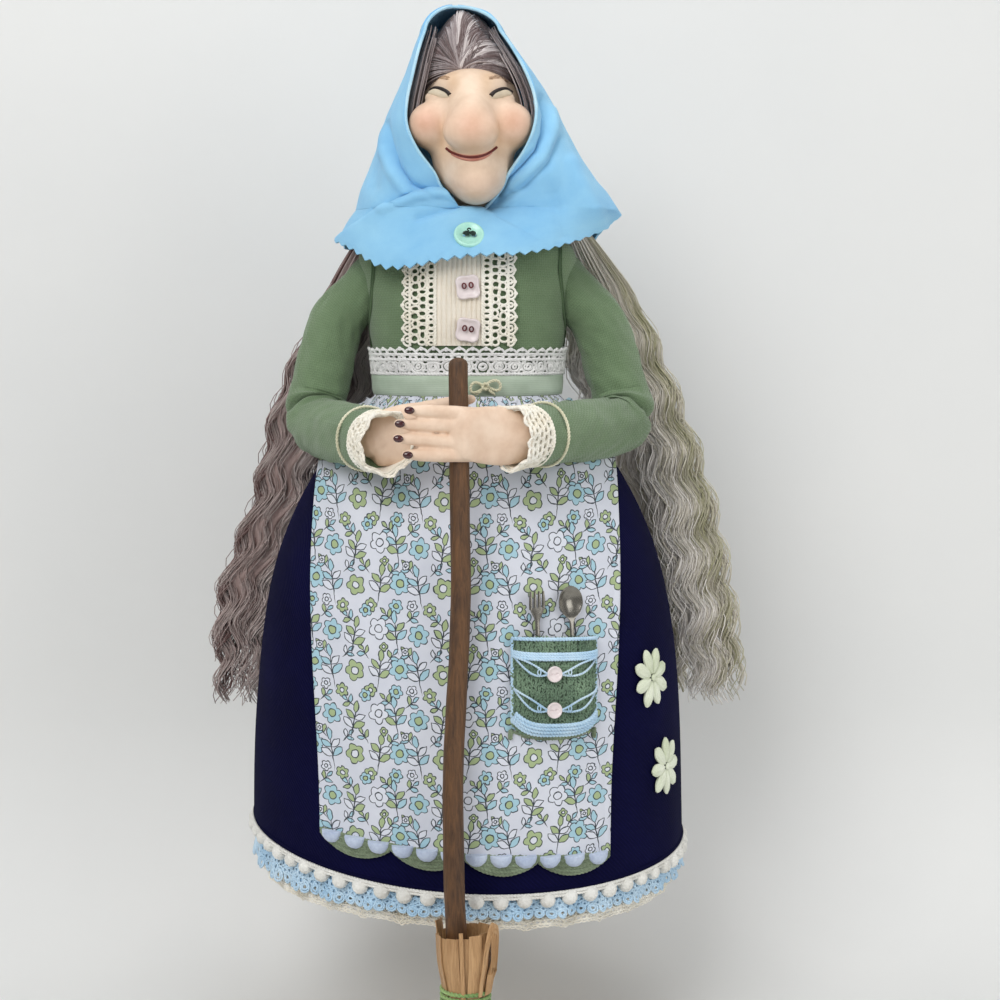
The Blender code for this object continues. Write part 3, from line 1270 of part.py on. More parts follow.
def cape_point(share, down):
    """A point of the scarf's inner face between the hood's base and the edge."""
    side = 1 if share > 0 else -1
    start = hood_point(side, abs(share) * math.pi, 0)
    start.z = HOOD_BOTTOM - SCARF_CLOTH - GAP
    end = cape_edge(share)
    crest = start.lerp(end, CAPE_CREST_SHARE)
    crest.z = between(start.z, end.z, CAPE_DIP_SHARE)
    return start * (1 - down) ** 2 + crest * 2 * down * (1 - down) + end * down**2


def make_cape():
    """The part of the scarf that lies on the shoulders, with its button."""
    add("scarf_cape", sheet(CAPE_COLUMNS, CAPE_ROWS, lambda u, v: cape_point(2 * u - 1, 1 - v), SCARF_CLOTH),
        "blue_cotton", DOLL_AXIS)
    x, height = SCARF_BUTTON_PLACE
    downs = [step / 40 for step in range(41)]
    seat = min((cape_point(0, down) for down in downs), key=lambda point: abs(point.z - height))
    near = cape_point(0, 0.9)
    far = cape_point(0, 1)
    out = (far - near).cross(Vector((-1, 0, 0))).normalized()
    if out.y > 0:
        out = -out
    start = Vector((x, seat.y, height)) + out * (SCARF_CLOTH + 4 * GAP)
    middle = start + out * SCARF_BUTTON_THICKNESS / 2
    button = rod(start, start + out * SCARF_BUTTON_THICKNESS, SCARF_BUTTON_RADIUS, 24)
    for way in (-1, 1):
        hole = middle + Vector((way * BUTTON_HOLE_SPACING / 2, 0, 0))
        button = combine(button, rod(hole - out * SCARF_BUTTON_THICKNESS, hole + out * SCARF_BUTTON_THICKNESS,
                                     BUTTON_HOLE_RADIUS, 8), "DIFFERENCE")
    add("scarf_button", button, "mint_plastic", DOLL_AXIS)


def make_ring():
    """The brass ring that the doll hangs from, in a tab sewn to its back."""
    centre = Vector(RING_PLACE)
    ring = [centre + Vector((math.cos(turn), 0, math.sin(turn))) * RING_RADIUS
            for turn in [2 * math.pi * step / 24 for step in range(24)]]
    add("hanging_ring", tube(ring, RING_WIRE_RADIUS, closed=True), "brass", DOLL_AXIS)
    foot = centre - Vector((0, 0, RING_RADIUS))
    back = lifted(torso, math.pi, foot.z, ON_BODICE + LACE + GAP).y
    front = foot.y + RING_WIRE_RADIUS + GAP + TAB_THICKNESS
    bm = bmesh.new()
    bmesh.ops.create_cube(bm, size=1)
    for vertex in bm.verts:
        vertex.co = Vector((vertex.co.x * TAB_WIDTH, between(back, front, vertex.co.y + 0.5),
                            foot.z + vertex.co.z * TAB_HEIGHT))
    tab = mesh_from(bm)
    tunnel = tube(ring, RING_WIRE_RADIUS + GAP, closed=True)
    add("ring_tab", combine(tab, tunnel, "DIFFERENCE"), "green_linen", DOLL_AXIS)


def main():
    """Makes every piece."""
    left_path = make_arm("left", -1, LEFT_WRIST)
    right_path = make_arm("right", 1, RIGHT_WRIST)
    make_torso((left_path, right_path))
    make_hand("hand_front", right_path, RIGHT_WRIST, FRONT_KNUCKLES, FRONT_FINGERTIPS, 1)
    make_hand("hand_back", left_path, LEFT_WRIST, BACK_KNUCKLES, BACK_FINGERTIPS, BACK_FINGER_SHARE)
    make_blouse()
    make_bow()
    make_skirt()
    make_hem_trims()
    make_apron()
    make_pocket()
    make_flowers()
    head_axis = new_empty("head_axis", (*NECK_AXIS, HOOD_BOTTOM), DOLL_AXIS)
    make_head(head_axis)
    make_hood(head_axis)
    make_cape()
    make_locks()
    make_ring()
    offset = Vector(RING_PLACE)
    for name, way in (("broom_slide", make_broom()), ("fork_slide", make_fork()), ("spoon_slide", make_spoon())):
        print(name, [round(value, 5) for value in way])
    print("head_turn at", [round(value, 5) for value in Vector((*NECK_AXIS, HOOD_BOTTOM)) - offset])


main()
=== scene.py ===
"""Looks of a stuffed cloth doll, an old woman who leans on a broom.

Lengths are metres. Every piece is laid out on the doll's own upright axis, whose zero height
is just under the skirt's hem, and `put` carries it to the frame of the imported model.
"""

import json
import logging
import math
import random
from collections.abc import Callable, Sequence
from dataclasses import dataclass
from enum import Enum

import bmesh
import bpy
import numpy as np
from mathutils import Matrix, Vector, noise
from mathutils.bvhtree import BVHTree

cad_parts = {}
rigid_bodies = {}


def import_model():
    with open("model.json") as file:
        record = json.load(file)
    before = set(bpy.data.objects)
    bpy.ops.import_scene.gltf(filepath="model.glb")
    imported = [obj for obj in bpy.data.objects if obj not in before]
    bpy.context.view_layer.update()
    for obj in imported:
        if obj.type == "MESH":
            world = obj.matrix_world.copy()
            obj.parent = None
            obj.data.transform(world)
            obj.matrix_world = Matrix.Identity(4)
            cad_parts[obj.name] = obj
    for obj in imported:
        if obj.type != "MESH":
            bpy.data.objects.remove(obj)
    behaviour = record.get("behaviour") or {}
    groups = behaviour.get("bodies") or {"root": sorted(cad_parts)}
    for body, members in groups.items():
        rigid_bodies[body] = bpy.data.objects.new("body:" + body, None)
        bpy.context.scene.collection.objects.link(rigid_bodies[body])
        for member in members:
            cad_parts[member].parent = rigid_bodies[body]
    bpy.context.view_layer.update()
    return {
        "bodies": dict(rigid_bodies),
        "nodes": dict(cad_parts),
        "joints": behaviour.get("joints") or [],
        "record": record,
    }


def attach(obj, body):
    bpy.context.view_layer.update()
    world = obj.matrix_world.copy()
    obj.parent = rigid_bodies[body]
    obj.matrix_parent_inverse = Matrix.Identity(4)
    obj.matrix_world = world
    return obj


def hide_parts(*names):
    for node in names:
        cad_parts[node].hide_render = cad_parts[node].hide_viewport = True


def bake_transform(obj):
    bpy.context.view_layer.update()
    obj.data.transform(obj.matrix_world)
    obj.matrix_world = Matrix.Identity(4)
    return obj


LOG = logging.getLogger("doll")
RING_PLACE = Vector((0.0, 0.0345, 0.2060))
GAP = 0.0003
Place = Callable[[float, float], Vector]


# --- Colours, nodes and meshes ------------------------------------------------------------


def linear(code: str) -> tuple[float, float, float, float]:
    """Turns an sRGB hex colour to linear light.

    Args:
        code: The colour as six hex digits.
    Returns:
        Red, green, blue and an alpha of 1.
    """
    parts = [int(code[start:start + 2], 16) / 255 for start in (0, 2, 4)]
    light = [part / 12.92 if part <= 0.04045 else ((part + 0.055) / 1.055) ** 2.4 for part in parts]
    return (*light, 1.0)


def fill(tree: bpy.types.NodeTree, node: bpy.types.Node, inputs: dict) -> None:
    """Sets or links a node's inputs.

    Args:
        tree: The node's tree.
        node: The node.
        inputs: A value or an output socket for each input, by name or number.
    """
    for key, value in inputs.items():
        if isinstance(value, bpy.types.NodeSocket):
            tree.links.new(value, node.inputs[key])
        else:
            node.inputs[key].default_value = value


def add_node(tree: bpy.types.NodeTree, kind: str, settings: dict, inputs: dict) -> bpy.types.Node:
    """Adds a node with its settings, values and links.

    Args:
        tree: The tree that gets the node.
        kind: The node's type.
        settings: Values of the node's own properties.
        inputs: A value or an output socket for each input, by name or number.
    Returns:
        The new node.
    """
    node = tree.nodes.new(kind)
    for name, value in settings.items():
        setattr(node, name, value)
    fill(tree, node, inputs)
    return node


def noise_at(tree: bpy.types.NodeTree, point: bpy.types.NodeSocket, scale: float, detail: float,
             roughness: float = 0.5, distortion: float = 0.0) -> bpy.types.NodeSocket:
    """Adds a noise texture.

    Args:
        tree: The material's tree.
        point: Where it is read.
        scale: How many grains there are to the metre.
        detail: How many finer layers it has.
        roughness: How strong the finer layers are.
        distortion: How far it is warped.
    Returns:
        The noise, about 0.5.
    """
    node = add_node(tree, "ShaderNodeTexNoise", {}, {
        "Vector": point, "Scale": scale, "Detail": detail, "Roughness": roughness, "Distortion": distortion})
    return node.outputs["Fac"]


def weighed(tree: bpy.types.NodeTree, value: bpy.types.NodeSocket, weight: float,
            rest: bpy.types.NodeSocket) -> bpy.types.NodeSocket:
    """Adds a weighed value to another."""
    return add_node(tree, "ShaderNodeMath", {"operation": "MULTIPLY_ADD"}, {0: value, 1: weight, 2: rest}).outputs[0]


def ranged(tree: bpy.types.NodeTree, value: bpy.types.NodeSocket, start: tuple[float, float] = (0.0, 1.0),
           end: tuple[float, float] = (0.0, 1.0)) -> bpy.types.NodeSocket:
    """Carries a value from one range to another, and holds it there."""
    return add_node(tree, "ShaderNodeMapRange", {}, {
        "Value": value, "From Min": start[0], "From Max": start[1], "To Min": end[0], "To Max": end[1]}).outputs[0]


def mixed(tree: bpy.types.NodeTree, share: bpy.types.NodeSocket, low: str | bpy.types.NodeSocket,
          high: str | bpy.types.NodeSocket) -> bpy.types.NodeSocket:
    """Mixes two colours, each a hex code or a socket."""
    ends = [linear(colour) if isinstance(colour, str) else colour for colour in (low, high)]
    return add_node(tree, "ShaderNodeMix", {"data_type": "RGBA"}, {0: share, 6: ends[0], 7: ends[1]}).outputs[2]


def bumped(tree: bpy.types.NodeTree, height: bpy.types.NodeSocket, depth: float) -> bpy.types.NodeSocket:
    """Turns a height into a bumped normal; depth is in metres."""
    return add_node(tree, "ShaderNodeBump", {}, {"Height": height, "Distance": depth}).outputs[0]


def object_point(tree: bpy.types.NodeTree) -> bpy.types.NodeSocket:
    """The place on the piece, in metres."""
    return add_node(tree, "ShaderNodeTexCoord", {}, {}).outputs["Object"]


def new_material(name: str) -> tuple[bpy.types.Material, bpy.types.NodeTree, bpy.types.Node]:
    """Makes a node material.

    Args:
        name: The material's name.
    Returns:
        The material, its tree and its shader.
    """
    material = bpy.data.materials.new(name)
    material.use_nodes = True
    tree = material.node_tree
    return material, tree, tree.nodes["Principled BSDF"]


def from_table(rows: Sequence[Sequence[float]], position: float) -> list[float]:
    """Reads rows of (position, value, ...) at a position, on smooth curves.

    Args:
        rows: The table, in order of position.
        position: Where to read it.
    Returns:
        The values there.
    """
    last = len(rows) - 1
    index = 0
    while index < last - 1 and position > rows[index + 1][0]:
        index += 1
    start, end = rows[index], rows[index + 1]
    span = end[0] - start[0]
    t = (position - start[0]) / span
    values = []
    for column in range(1, len(start)):
        slopes = []
        for middle in (index, index + 1):
            before, after = rows[max(middle - 1, 0)], rows[min(middle + 1, last)]
            slopes.append((after[column] - before[column]) / (after[0] - before[0]) * span)
        values.append((2 * t**3 - 3 * t**2 + 1) * start[column] + (t**3 - 2 * t**2 + t) * slopes[0]
                      + (3 * t**2 - 2 * t**3) * end[column] + (t**3 - t**2) * slopes[1])
    return values


def smooth(share: float) -> float:
    """A share from 0 to 1 that eases in and out."""
    share = min(max(share, 0.0), 1.0)
    return share * share * (3 - 2 * share)


def between(low: float, high: float, share: float) -> float:
    """A value part of the way from low to high."""
    return low + (high - low) * share


def around(share: float) -> float:
    """The angle at a share of a full turn that starts and ends at the back."""
    return (2 * share - 1) * math.pi


def circle(whole: int, drawn: int | None = None) -> list[float]:
    """Even angles round a circle, all of them or the first few."""
    return [2 * math.pi * step / whole for step in range(whole if drawn is None else drawn)]


def shares(count: int) -> list[float]:
    """Even shares from 0 to 1, both ends with them."""
    return [step / count for step in range(count + 1)]


def spans(half: int) -> list[float]:
    """Even shares from -1 to 1, both ends with them."""
    return [step / half - 1 for step in range(2 * half + 1)]


def linked(name: str, data: bpy.types.ID) -> bpy.types.Object:
    """Puts a new object into the scene."""
    obj = bpy.data.objects.new(name, data)
    bpy.context.scene.collection.objects.link(obj)
    return obj


def plain(obj: bpy.types.Object) -> bpy.types.Mesh:
    """Keeps what an object's modifiers make, and drops the object."""
    bpy.context.view_layer.update()
    mesh = bpy.data.meshes.new_from_object(obj.evaluated_get(bpy.context.evaluated_depsgraph_get()))
    bpy.data.objects.remove(obj, do_unlink=True)
    return mesh


def ended(shape: bmesh.types.BMesh, name: str) -> bpy.types.Mesh:
    """Turns a mesh in the making into a finished one."""
    mesh = bpy.data.meshes.new(name)
    shape.to_mesh(mesh)
    shape.free()
    return mesh


def shaded(mesh: bpy.types.Mesh, shade: float) -> None:
    """Gives every point of a mesh one shade of hair or wood."""
    mesh.attributes.new("Shade", "FLOAT", "POINT").data.foreach_set("value", [shade] * len(mesh.vertices))


def surface_mesh(columns: int, rows: int, place: Place, size: tuple[float, float],
                 closed: bool = False) -> bpy.types.Mesh:
    """Makes a grid of quads with a UV map in metres.

    Args:
        columns: Quads along u.
        rows: Quads along v.
        place: The point at u and v, each from 0 to 1.
        size: What u and v measure on the cloth.
        closed: Whether u runs round and meets itself.
    Returns:
        The mesh.
    """
    ring = columns if closed else columns + 1
    points = [place(i / columns, j / rows) for j in range(rows + 1) for i in range(ring)]
    faces = []
    coords = []
    for j in range(rows):
        for i in range(columns):
            right = (i + 1) % ring
            faces.append((j * ring + i, j * ring + right, (j + 1) * ring + right, (j + 1) * ring + i))
            for du, dv in ((0, 0), (1, 0), (1, 1), (0, 1)):
                coords += [(i + du) / columns * size[0], (j + dv) / rows * size[1]]
    mesh = bpy.data.meshes.new("cloth")
    mesh.from_pydata(points, [], faces)
    mesh.uv_layers.new(name="UVMap").data.foreach_set("uv", coords)
    return mesh


def modified(mesh: bpy.types.Mesh, steps: Sequence[tuple[str, dict]]) -> bpy.types.Mesh:
    """Runs modifiers on a mesh and keeps what they make.

    Args:
        mesh: The mesh to start from.
        steps: Each modifier's type and its settings.
    Returns:
        The resulting plain mesh.
    """
    obj = linked("shape", mesh)
    for kind, settings in steps:
        modifier = obj.modifiers.new(kind.lower(), kind)
        for name, value in settings.items():
            setattr(modifier, name, value)
    return plain(obj)


def cloth(mesh: bpy.types.Mesh, thickness: float, outwards: float = 1.0) -> bpy.types.Mesh:
    """Gives a grid the thickness of its cloth.

    Args:
        mesh: The grid, which is one face of the cloth.
        thickness: The cloth's thickness.
        outwards: 1 to thicken along the normals, -1 against them, 0 for half each way.
    Returns:
        The closed mesh.
    """
    return modified(mesh, [("SOLIDIFY", {"thickness": thickness, "offset": outwards,
                                         "use_even_offset": False, "use_quality_normals": True})])


def capped(columns: int, rows: int, place: Place, size: tuple[float, float] = (1.0, 1.0)) -> bpy.types.Mesh:
    """Makes a tube of quads, closed in u, with a face over each end.

    Args:
        columns: Quads round the tube.
        rows: Quads along it.
        place: The point at u and v.
        size: What u and v measure.
    Returns:
        The closed mesh, its faces outwards.
    """
    shape = bmesh.new()
    shape.from_mesh(surface_mesh(columns, rows, place, size, closed=True))
    bmesh.ops.holes_fill(shape, edges=[edge for edge in shape.edges if edge.is_boundary], sides=0)
    bmesh.ops.remove_doubles(shape, verts=shape.verts, dist=0.000005)
    bmesh.ops.recalc_face_normals(shape, faces=shape.faces)
    return ended(shape, "tube")


def merged(meshes: Sequence[bpy.types.Mesh]) -> bpy.types.Mesh:
    """Puts meshes side by side in one mesh.

    Args:
        meshes: The meshes to bring together.
    Returns:
        One mesh that holds all their faces.
    """
    shape = bmesh.new()
    for mesh in meshes:
        shape.from_mesh(mesh)
    return ended(shape, "merged")


def ball(centre: Vector, radii: Sequence[float], columns: int = 20, rows: int = 12) -> bpy.types.Mesh:
    """Makes an ellipsoid.

    Args:
        centre: Its centre.
        radii: Its half sizes along x, y and z.
        columns: Quads round it.
        rows: Rings of faces from pole to pole.
    Returns:
        The mesh.
    """
    shape = bmesh.new()
    bmesh.ops.create_uvsphere(shape, u_segments=columns, v_segments=rows, radius=1)
    for vertex in shape.verts:
        vertex.co = centre + Vector([c * r for c, r in zip(vertex.co, radii)])
    return ended(shape, "ball")


def frames(points: Sequence[Vector]) -> list[tuple[Vector, Vector, Vector]]:
    """Finds a turning frame along a path.

    Args:
        points: The path.
    Returns:
        The tangent, a side and a lift at each point.
    """
    tangents = []
    for index in range(len(points)):
        before, after = points[max(index - 1, 0)], points[min(index + 1, len(points) - 1)]
        tangents.append((after - before).normalized())
    normal = tangents[0].orthogonal().normalized()
    result = []
    for tangent in tangents:
        normal = (normal - tangent * normal.dot(tangent)).normalized()
        result.append((tangent, normal, tangent.cross(normal)))
    return result


def measured(points: Sequence[Vector]) -> list[float]:
    """The length of a path up to each of its points."""
    lengths = [0.0]
    for first, second in zip(points, points[1:]):
        lengths.append(lengths[-1] + (second - first).length)
    return lengths


def put(name: str, mesh: bpy.types.Mesh, material: bpy.types.Material | Sequence[bpy.types.Material], body: str | None,
        nodes: Sequence[str] = (), sharp: float = 60.0) -> bpy.types.Object:
    """Makes a finished mesh a piece of the part.

    Args:
        name: The piece's name.
        mesh: Its mesh, laid out on the doll's axis.
        material: Its finish, or the finishes that its faces' numbers choose from.
        body: The body that it rides on, or None to leave it on no body.
        nodes: The solids that it stands for.
        sharp: The angle in degrees past which an edge stays sharp.
    Returns:
        The piece.
    """
    mesh.transform(Matrix.Translation(-RING_PLACE))
    mesh.materials.clear()
    for each in (material if isinstance(material, (list, tuple)) else [material]):
        mesh.materials.append(each)
    mesh.shade_smooth()
    mesh.set_sharp_from_angle(angle=math.radians(sharp))
    obj = linked(name, mesh)
    if body:
        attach(obj, body)
    if nodes:
        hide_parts(*nodes)
    LOG.info("%s: %d faces, rides on %s", name, len(mesh.polygons), body)
    return obj


# --- Geometry Nodes -----------------------------------------------------------------------


class NodeTool:
    """A Geometry Nodes tree that makes a plain mesh of a mesh."""

    def __init__(self, name: str, inputs: Sequence[tuple[str, str, float | int | None]]) -> None:
        """Builds the tree's ends.

        Args:
            name: The tree's name.
            inputs: Name, socket type and default of each input after the geometry.
        """
        self.tree = bpy.data.node_groups.new(name, "GeometryNodeTree")
        face = self.tree.interface
        face.new_socket(name="Geometry", in_out="INPUT", socket_type="NodeSocketGeometry")
        for label, kind, value in inputs:
            socket = face.new_socket(name=label, in_out="INPUT", socket_type=kind)
            if value is not None:
                socket.default_value = value
        face.new_socket(name="Geometry", in_out="OUTPUT", socket_type="NodeSocketGeometry")
        self.start = add_node(self.tree, "NodeGroupInput", {}, {})

    def end(self, geometry: bpy.types.NodeSocket) -> None:
        """Realizes, smooths and dresses what the tree made.

        Args:
            geometry: The socket that carries it.
        """
        real = add_node(self.tree, "GeometryNodeRealizeInstances", {}, {0: geometry})
        soft = add_node(self.tree, "GeometryNodeSetShadeSmooth", {}, {0: real.outputs[0]})
        dressed = add_node(self.tree, "GeometryNodeSetMaterial", {},
                           {0: soft.outputs[0], "Material": self.start.outputs["Material"]})
        add_node(self.tree, "NodeGroupOutput", {}, {0: dressed.outputs[0]})

    def run(self, mesh: bpy.types.Mesh, values: dict) -> bpy.types.Mesh:
        """Runs the tree on a mesh.

        Args:
            mesh: What the tree reads.
            values: A value for each named input.
        Returns:
            A plain mesh.
        """
        obj = linked("work", mesh)
        modifier = obj.modifiers.new("work", "NODES")
        modifier.node_group = self.tree
        for item in self.tree.interface.items_tree:
            if item.in_out == "INPUT" and item.name in values:
                modifier[item.identifier] = values[item.name]
        return plain(obj)


class ThreadTool(NodeTool):
    """Turns edges into round thread: yarn, crochet cotton, hair and piping."""

    def __init__(self) -> None:
        """Builds the tree."""
        super().__init__("thread", [("Radius", "NodeSocketFloat", 0.0004), ("Sides", "NodeSocketInt", 5),
                                    ("Material", "NodeSocketMaterial", None)])
        path = add_node(self.tree, "GeometryNodeMeshToCurve", {}, {0: self.start.outputs["Geometry"]})
        ring = add_node(self.tree, "GeometryNodeCurvePrimitiveCircle", {},
                        {"Resolution": self.start.outputs["Sides"], "Radius": self.start.outputs["Radius"]})
        swept = add_node(self.tree, "GeometryNodeCurveToMesh", {},
                         {"Curve": path.outputs[0], "Profile Curve": ring.outputs[0], "Fill Caps": True})
        self.end(swept.outputs[0])


class SplintTool(NodeTool):
    """Turns edges into flat strips: split wood, bristles and tape."""

    def __init__(self) -> None:
        """Builds the tree."""
        super().__init__("splint", [("Width", "NodeSocketFloat", 0.002), ("Thickness", "NodeSocketFloat", 0.0004),
                                    ("Material", "NodeSocketMaterial", None)])
        path = add_node(self.tree, "GeometryNodeMeshToCurve", {}, {0: self.start.outputs["Geometry"]})
        normal = add_node(self.tree, "GeometryNodeInputNamedAttribute", {"data_type": "FLOAT_VECTOR"}, {"Name": "Out"})
        faced = add_node(self.tree, "GeometryNodeSetCurveNormal", {}, {0: path.outputs[0]})
        menu = faced.inputs.get("Mode")
        if menu is not None:
            menu.default_value = "Free"
        else:
            faced.mode = "FREE"
        self.tree.links.new(normal.outputs[0], faced.inputs["Normal"])
        section = add_node(self.tree, "GeometryNodeCurvePrimitiveQuadrilateral", {"mode": "RECTANGLE"},
                           {"Width": self.start.outputs["Thickness"], "Height": self.start.outputs["Width"]})
        swept = add_node(self.tree, "GeometryNodeCurveToMesh", {},
                         {"Curve": faced.outputs[0], "Profile Curve": section.outputs[0], "Fill Caps": True})
        self.end(swept.outputs[0])


class StitchTool(NodeTool):
    """Sets a small object at each point of a mesh: pompoms, knitted stitches and petals."""

    def __init__(self) -> None:
        """Builds the tree."""
        super().__init__("stitch", [("Unit", "NodeSocketObject", None), ("Material", "NodeSocketMaterial", None)])
        unit = add_node(self.tree, "GeometryNodeObjectInfo", {}, {0: self.start.outputs["Unit"]})
        turn = add_node(self.tree, "GeometryNodeInputNamedAttribute", {"data_type": "FLOAT_VECTOR"}, {"Name": "Turn"})
        size = add_node(self.tree, "GeometryNodeInputNamedAttribute", {"data_type": "FLOAT_VECTOR"}, {"Name": "Size"})
        angles = add_node(self.tree, "FunctionNodeEulerToRotation", {}, {0: turn.outputs[0]})
        placed = add_node(self.tree, "GeometryNodeInstanceOnPoints", {},
                          {"Points": self.start.outputs["Geometry"], "Instance": unit.outputs["Geometry"],
                           "Rotation": angles.outputs[0], "Scale": size.outputs[0]})
        self.end(placed.outputs[0])


@dataclass
class Line:
    """A path that becomes thread or strip."""

    points: Sequence[Vector]
    closed: bool = False
    width: Sequence[float] | float = 1.0
    shade: float = 0.5
    out: Sequence[Vector] | None = None


def lines_mesh(lines: Sequence[Line]) -> bpy.types.Mesh:
    """Makes a mesh of edges with each point's width, shade and outward direction.

    Args:
        lines: The paths.
    Returns:
        The mesh that the thread and splint tools read.
    """
    points, edges, widths, shades, outs = [], [], [], [], []
    for line in lines:
        first, count = len(points), len(line.points)
        points += line.points
        edges += [(first + i, first + i + 1) for i in range(count - 1)]
        if line.closed:
            edges.append((first + count - 1, first))
        widths += [line.width] * count if isinstance(line.width, (int, float)) else list(line.width)
        shades += [line.shade] * count
        outs += list(line.out) if line.out else [Vector((0, -1, 0))] * count
    mesh = bpy.data.meshes.new("lines")
    mesh.from_pydata(points, edges, [])
    mesh.attributes.new("radius", "FLOAT", "POINT").data.foreach_set("value", widths)
    mesh.attributes.new("Shade", "FLOAT", "POINT").data.foreach_set("value", shades)
    mesh.attributes.new("Out", "FLOAT_VECTOR", "POINT").data.foreach_set("vector", [c for o in outs for c in o])
    return mesh


def points_mesh(places: Sequence[Matrix], sizes: Sequence[float]) -> bpy.types.Mesh:
    """Makes a mesh of points with a turn and a size at each.

    Args:
        places: Where each unit stands.
        sizes: Its scale.
    Returns:
        The mesh that the stitch tool reads.
    """
    mesh = bpy.data.meshes.new("points")
    mesh.from_pydata([place.to_translation() for place in places], [], [])
    turns = [angle for place in places for angle in place.to_euler()]
    mesh.attributes.new("Turn", "FLOAT_VECTOR", "POINT").data.foreach_set("vector", turns)
    mesh.attributes.new("Size", "FLOAT_VECTOR", "POINT").data.foreach_set("vector",
                                                                          [size for size in sizes for _ in range(3)])
    return mesh


def facing(place: Vector, out: Vector, up: Vector = Vector((0, 0, 1))) -> Matrix:
    """Stands a frame on a surface.

    Args:
        place: Its origin.
        out: Its own z axis.
        up: What its y axis leans towards.
    Returns:
        The frame's matrix.
    """
    out = out.normalized()
    right = up.cross(out).normalized()
    turn = Matrix((right, out.cross(right), out)).transposed().to_4x4()
    return Matrix.Translation(place) @ turn


# --- Finishes -----------------------------------------------------------------------------


class Weave(Enum):
    """How a cloth's threads cross."""

    PLAIN = "plain"
    TWILL = "twill"
    SATIN = "satin"
    RIB = "rib"


@dataclass(frozen=True)
class Fabric:
    """A woven cloth, which reads its own UV map in metres."""

    name: str
    colour: str
    shade: str
    pitch: float
    weave: Weave = Weave.PLAIN
    roughness: float = 0.9
    sheen: float = 0.25
    depth: float = 0.00012
    contrast: float = 0.45
    patches: float = 60.0
    gloss: float = 0.25
    uses_uv: bool = True

    def threads(self, tree: bpy.types.NodeTree, point: bpy.types.NodeSocket) -> bpy.types.NodeSocket:
        """Draws the height of the threads.

        Args:
            tree: The material's tree.
            point: The place on the cloth, in metres.
        Returns:
            The height from 0 to 1.
        """
        scale = 2 * math.pi / 20 / self.pitch
        slubs = noise_at(tree, point, 900.0, 2.0)
        if self.weave is Weave.PLAIN:
            waves = [add_node(tree, "ShaderNodeTexWave", {"bands_direction": way},
                              {"Vector": point, "Scale": scale, "Distortion": 0.6, "Detail": 1.0, "Detail Scale": 2.0})
                     for way in ("X", "Y")]
            over = add_node(tree, "ShaderNodeTexChecker", {}, {"Vector": point, "Scale": 1 / self.pitch})
            woven = add_node(tree, "ShaderNodeMix", {}, {0: over.outputs["Fac"], 2: waves[0].outputs["Fac"],
                                                         3: waves[1].outputs["Fac"]})
            height = woven.outputs[0]
        else:
            way = {Weave.TWILL: "DIAGONAL", Weave.SATIN: "Y", Weave.RIB: "X"}[self.weave]
            wave = add_node(tree, "ShaderNodeTexWave", {"bands_direction": way},
                            {"Vector": point, "Scale": scale, "Distortion": 0.8, "Detail": 2.0, "Detail Scale": 1.5})
            height = wave.outputs["Fac"]
        return add_node(tree, "ShaderNodeMix", {}, {0: 0.35, 2: height, 3: slubs}).outputs[0]

    def paint(self, tree: bpy.types.NodeTree, point: bpy.types.NodeSocket,
              height: bpy.types.NodeSocket) -> bpy.types.NodeSocket:
        """Colours the cloth: painted shade between its threads, and darker in soft patches at random.

        Args:
            tree: The material's tree.
            point: The place on the cloth, in metres.
            height: The height of the threads.
        Returns:
            The colour.
        """
        patch = noise_at(tree, point, self.patches, 4.0, 0.6)
        # Low places of the weave take the shade colour: painted shade between the threads.
        depth = add_node(tree, "ShaderNodeMath", {"operation": "MULTIPLY"}, {0: height, 1: self.contrast})
        share = ranged(tree, weighed(tree, patch, 1.1, depth.outputs[0]), (0.30, 0.85 + self.contrast))
        return mixed(tree, share, self.shade, self.colour)

    def make(self) -> bpy.types.Material:
        """Builds the material.

        Returns:
            The cloth's material.
        """
        material, tree, shader = new_material(self.name)
        coords = add_node(tree, "ShaderNodeTexCoord", {}, {})
        point = coords.outputs["UV" if self.uses_uv else "Object"]
        height = self.threads(tree, point)
        fill(tree, shader, {"Base Color": self.paint(tree, point, height), "Roughness": self.roughness,
                            "Sheen Weight": self.sheen, "Sheen Roughness": 0.5, "Specular IOR Level": self.gloss,
                            "Normal": bumped(tree, height, self.depth)})
        return material


class Shape(Enum):
    """What a printed motif is made of."""

    LEAF = "leaf"
    BLOOM = "bloom"


@dataclass(frozen=True)
class Motif:
    """One outlined shape of the print, in millimetres on its tile."""

    shape: Shape
    x: float
    y: float
    angle: float
    length: float
    width: float
    fill: str


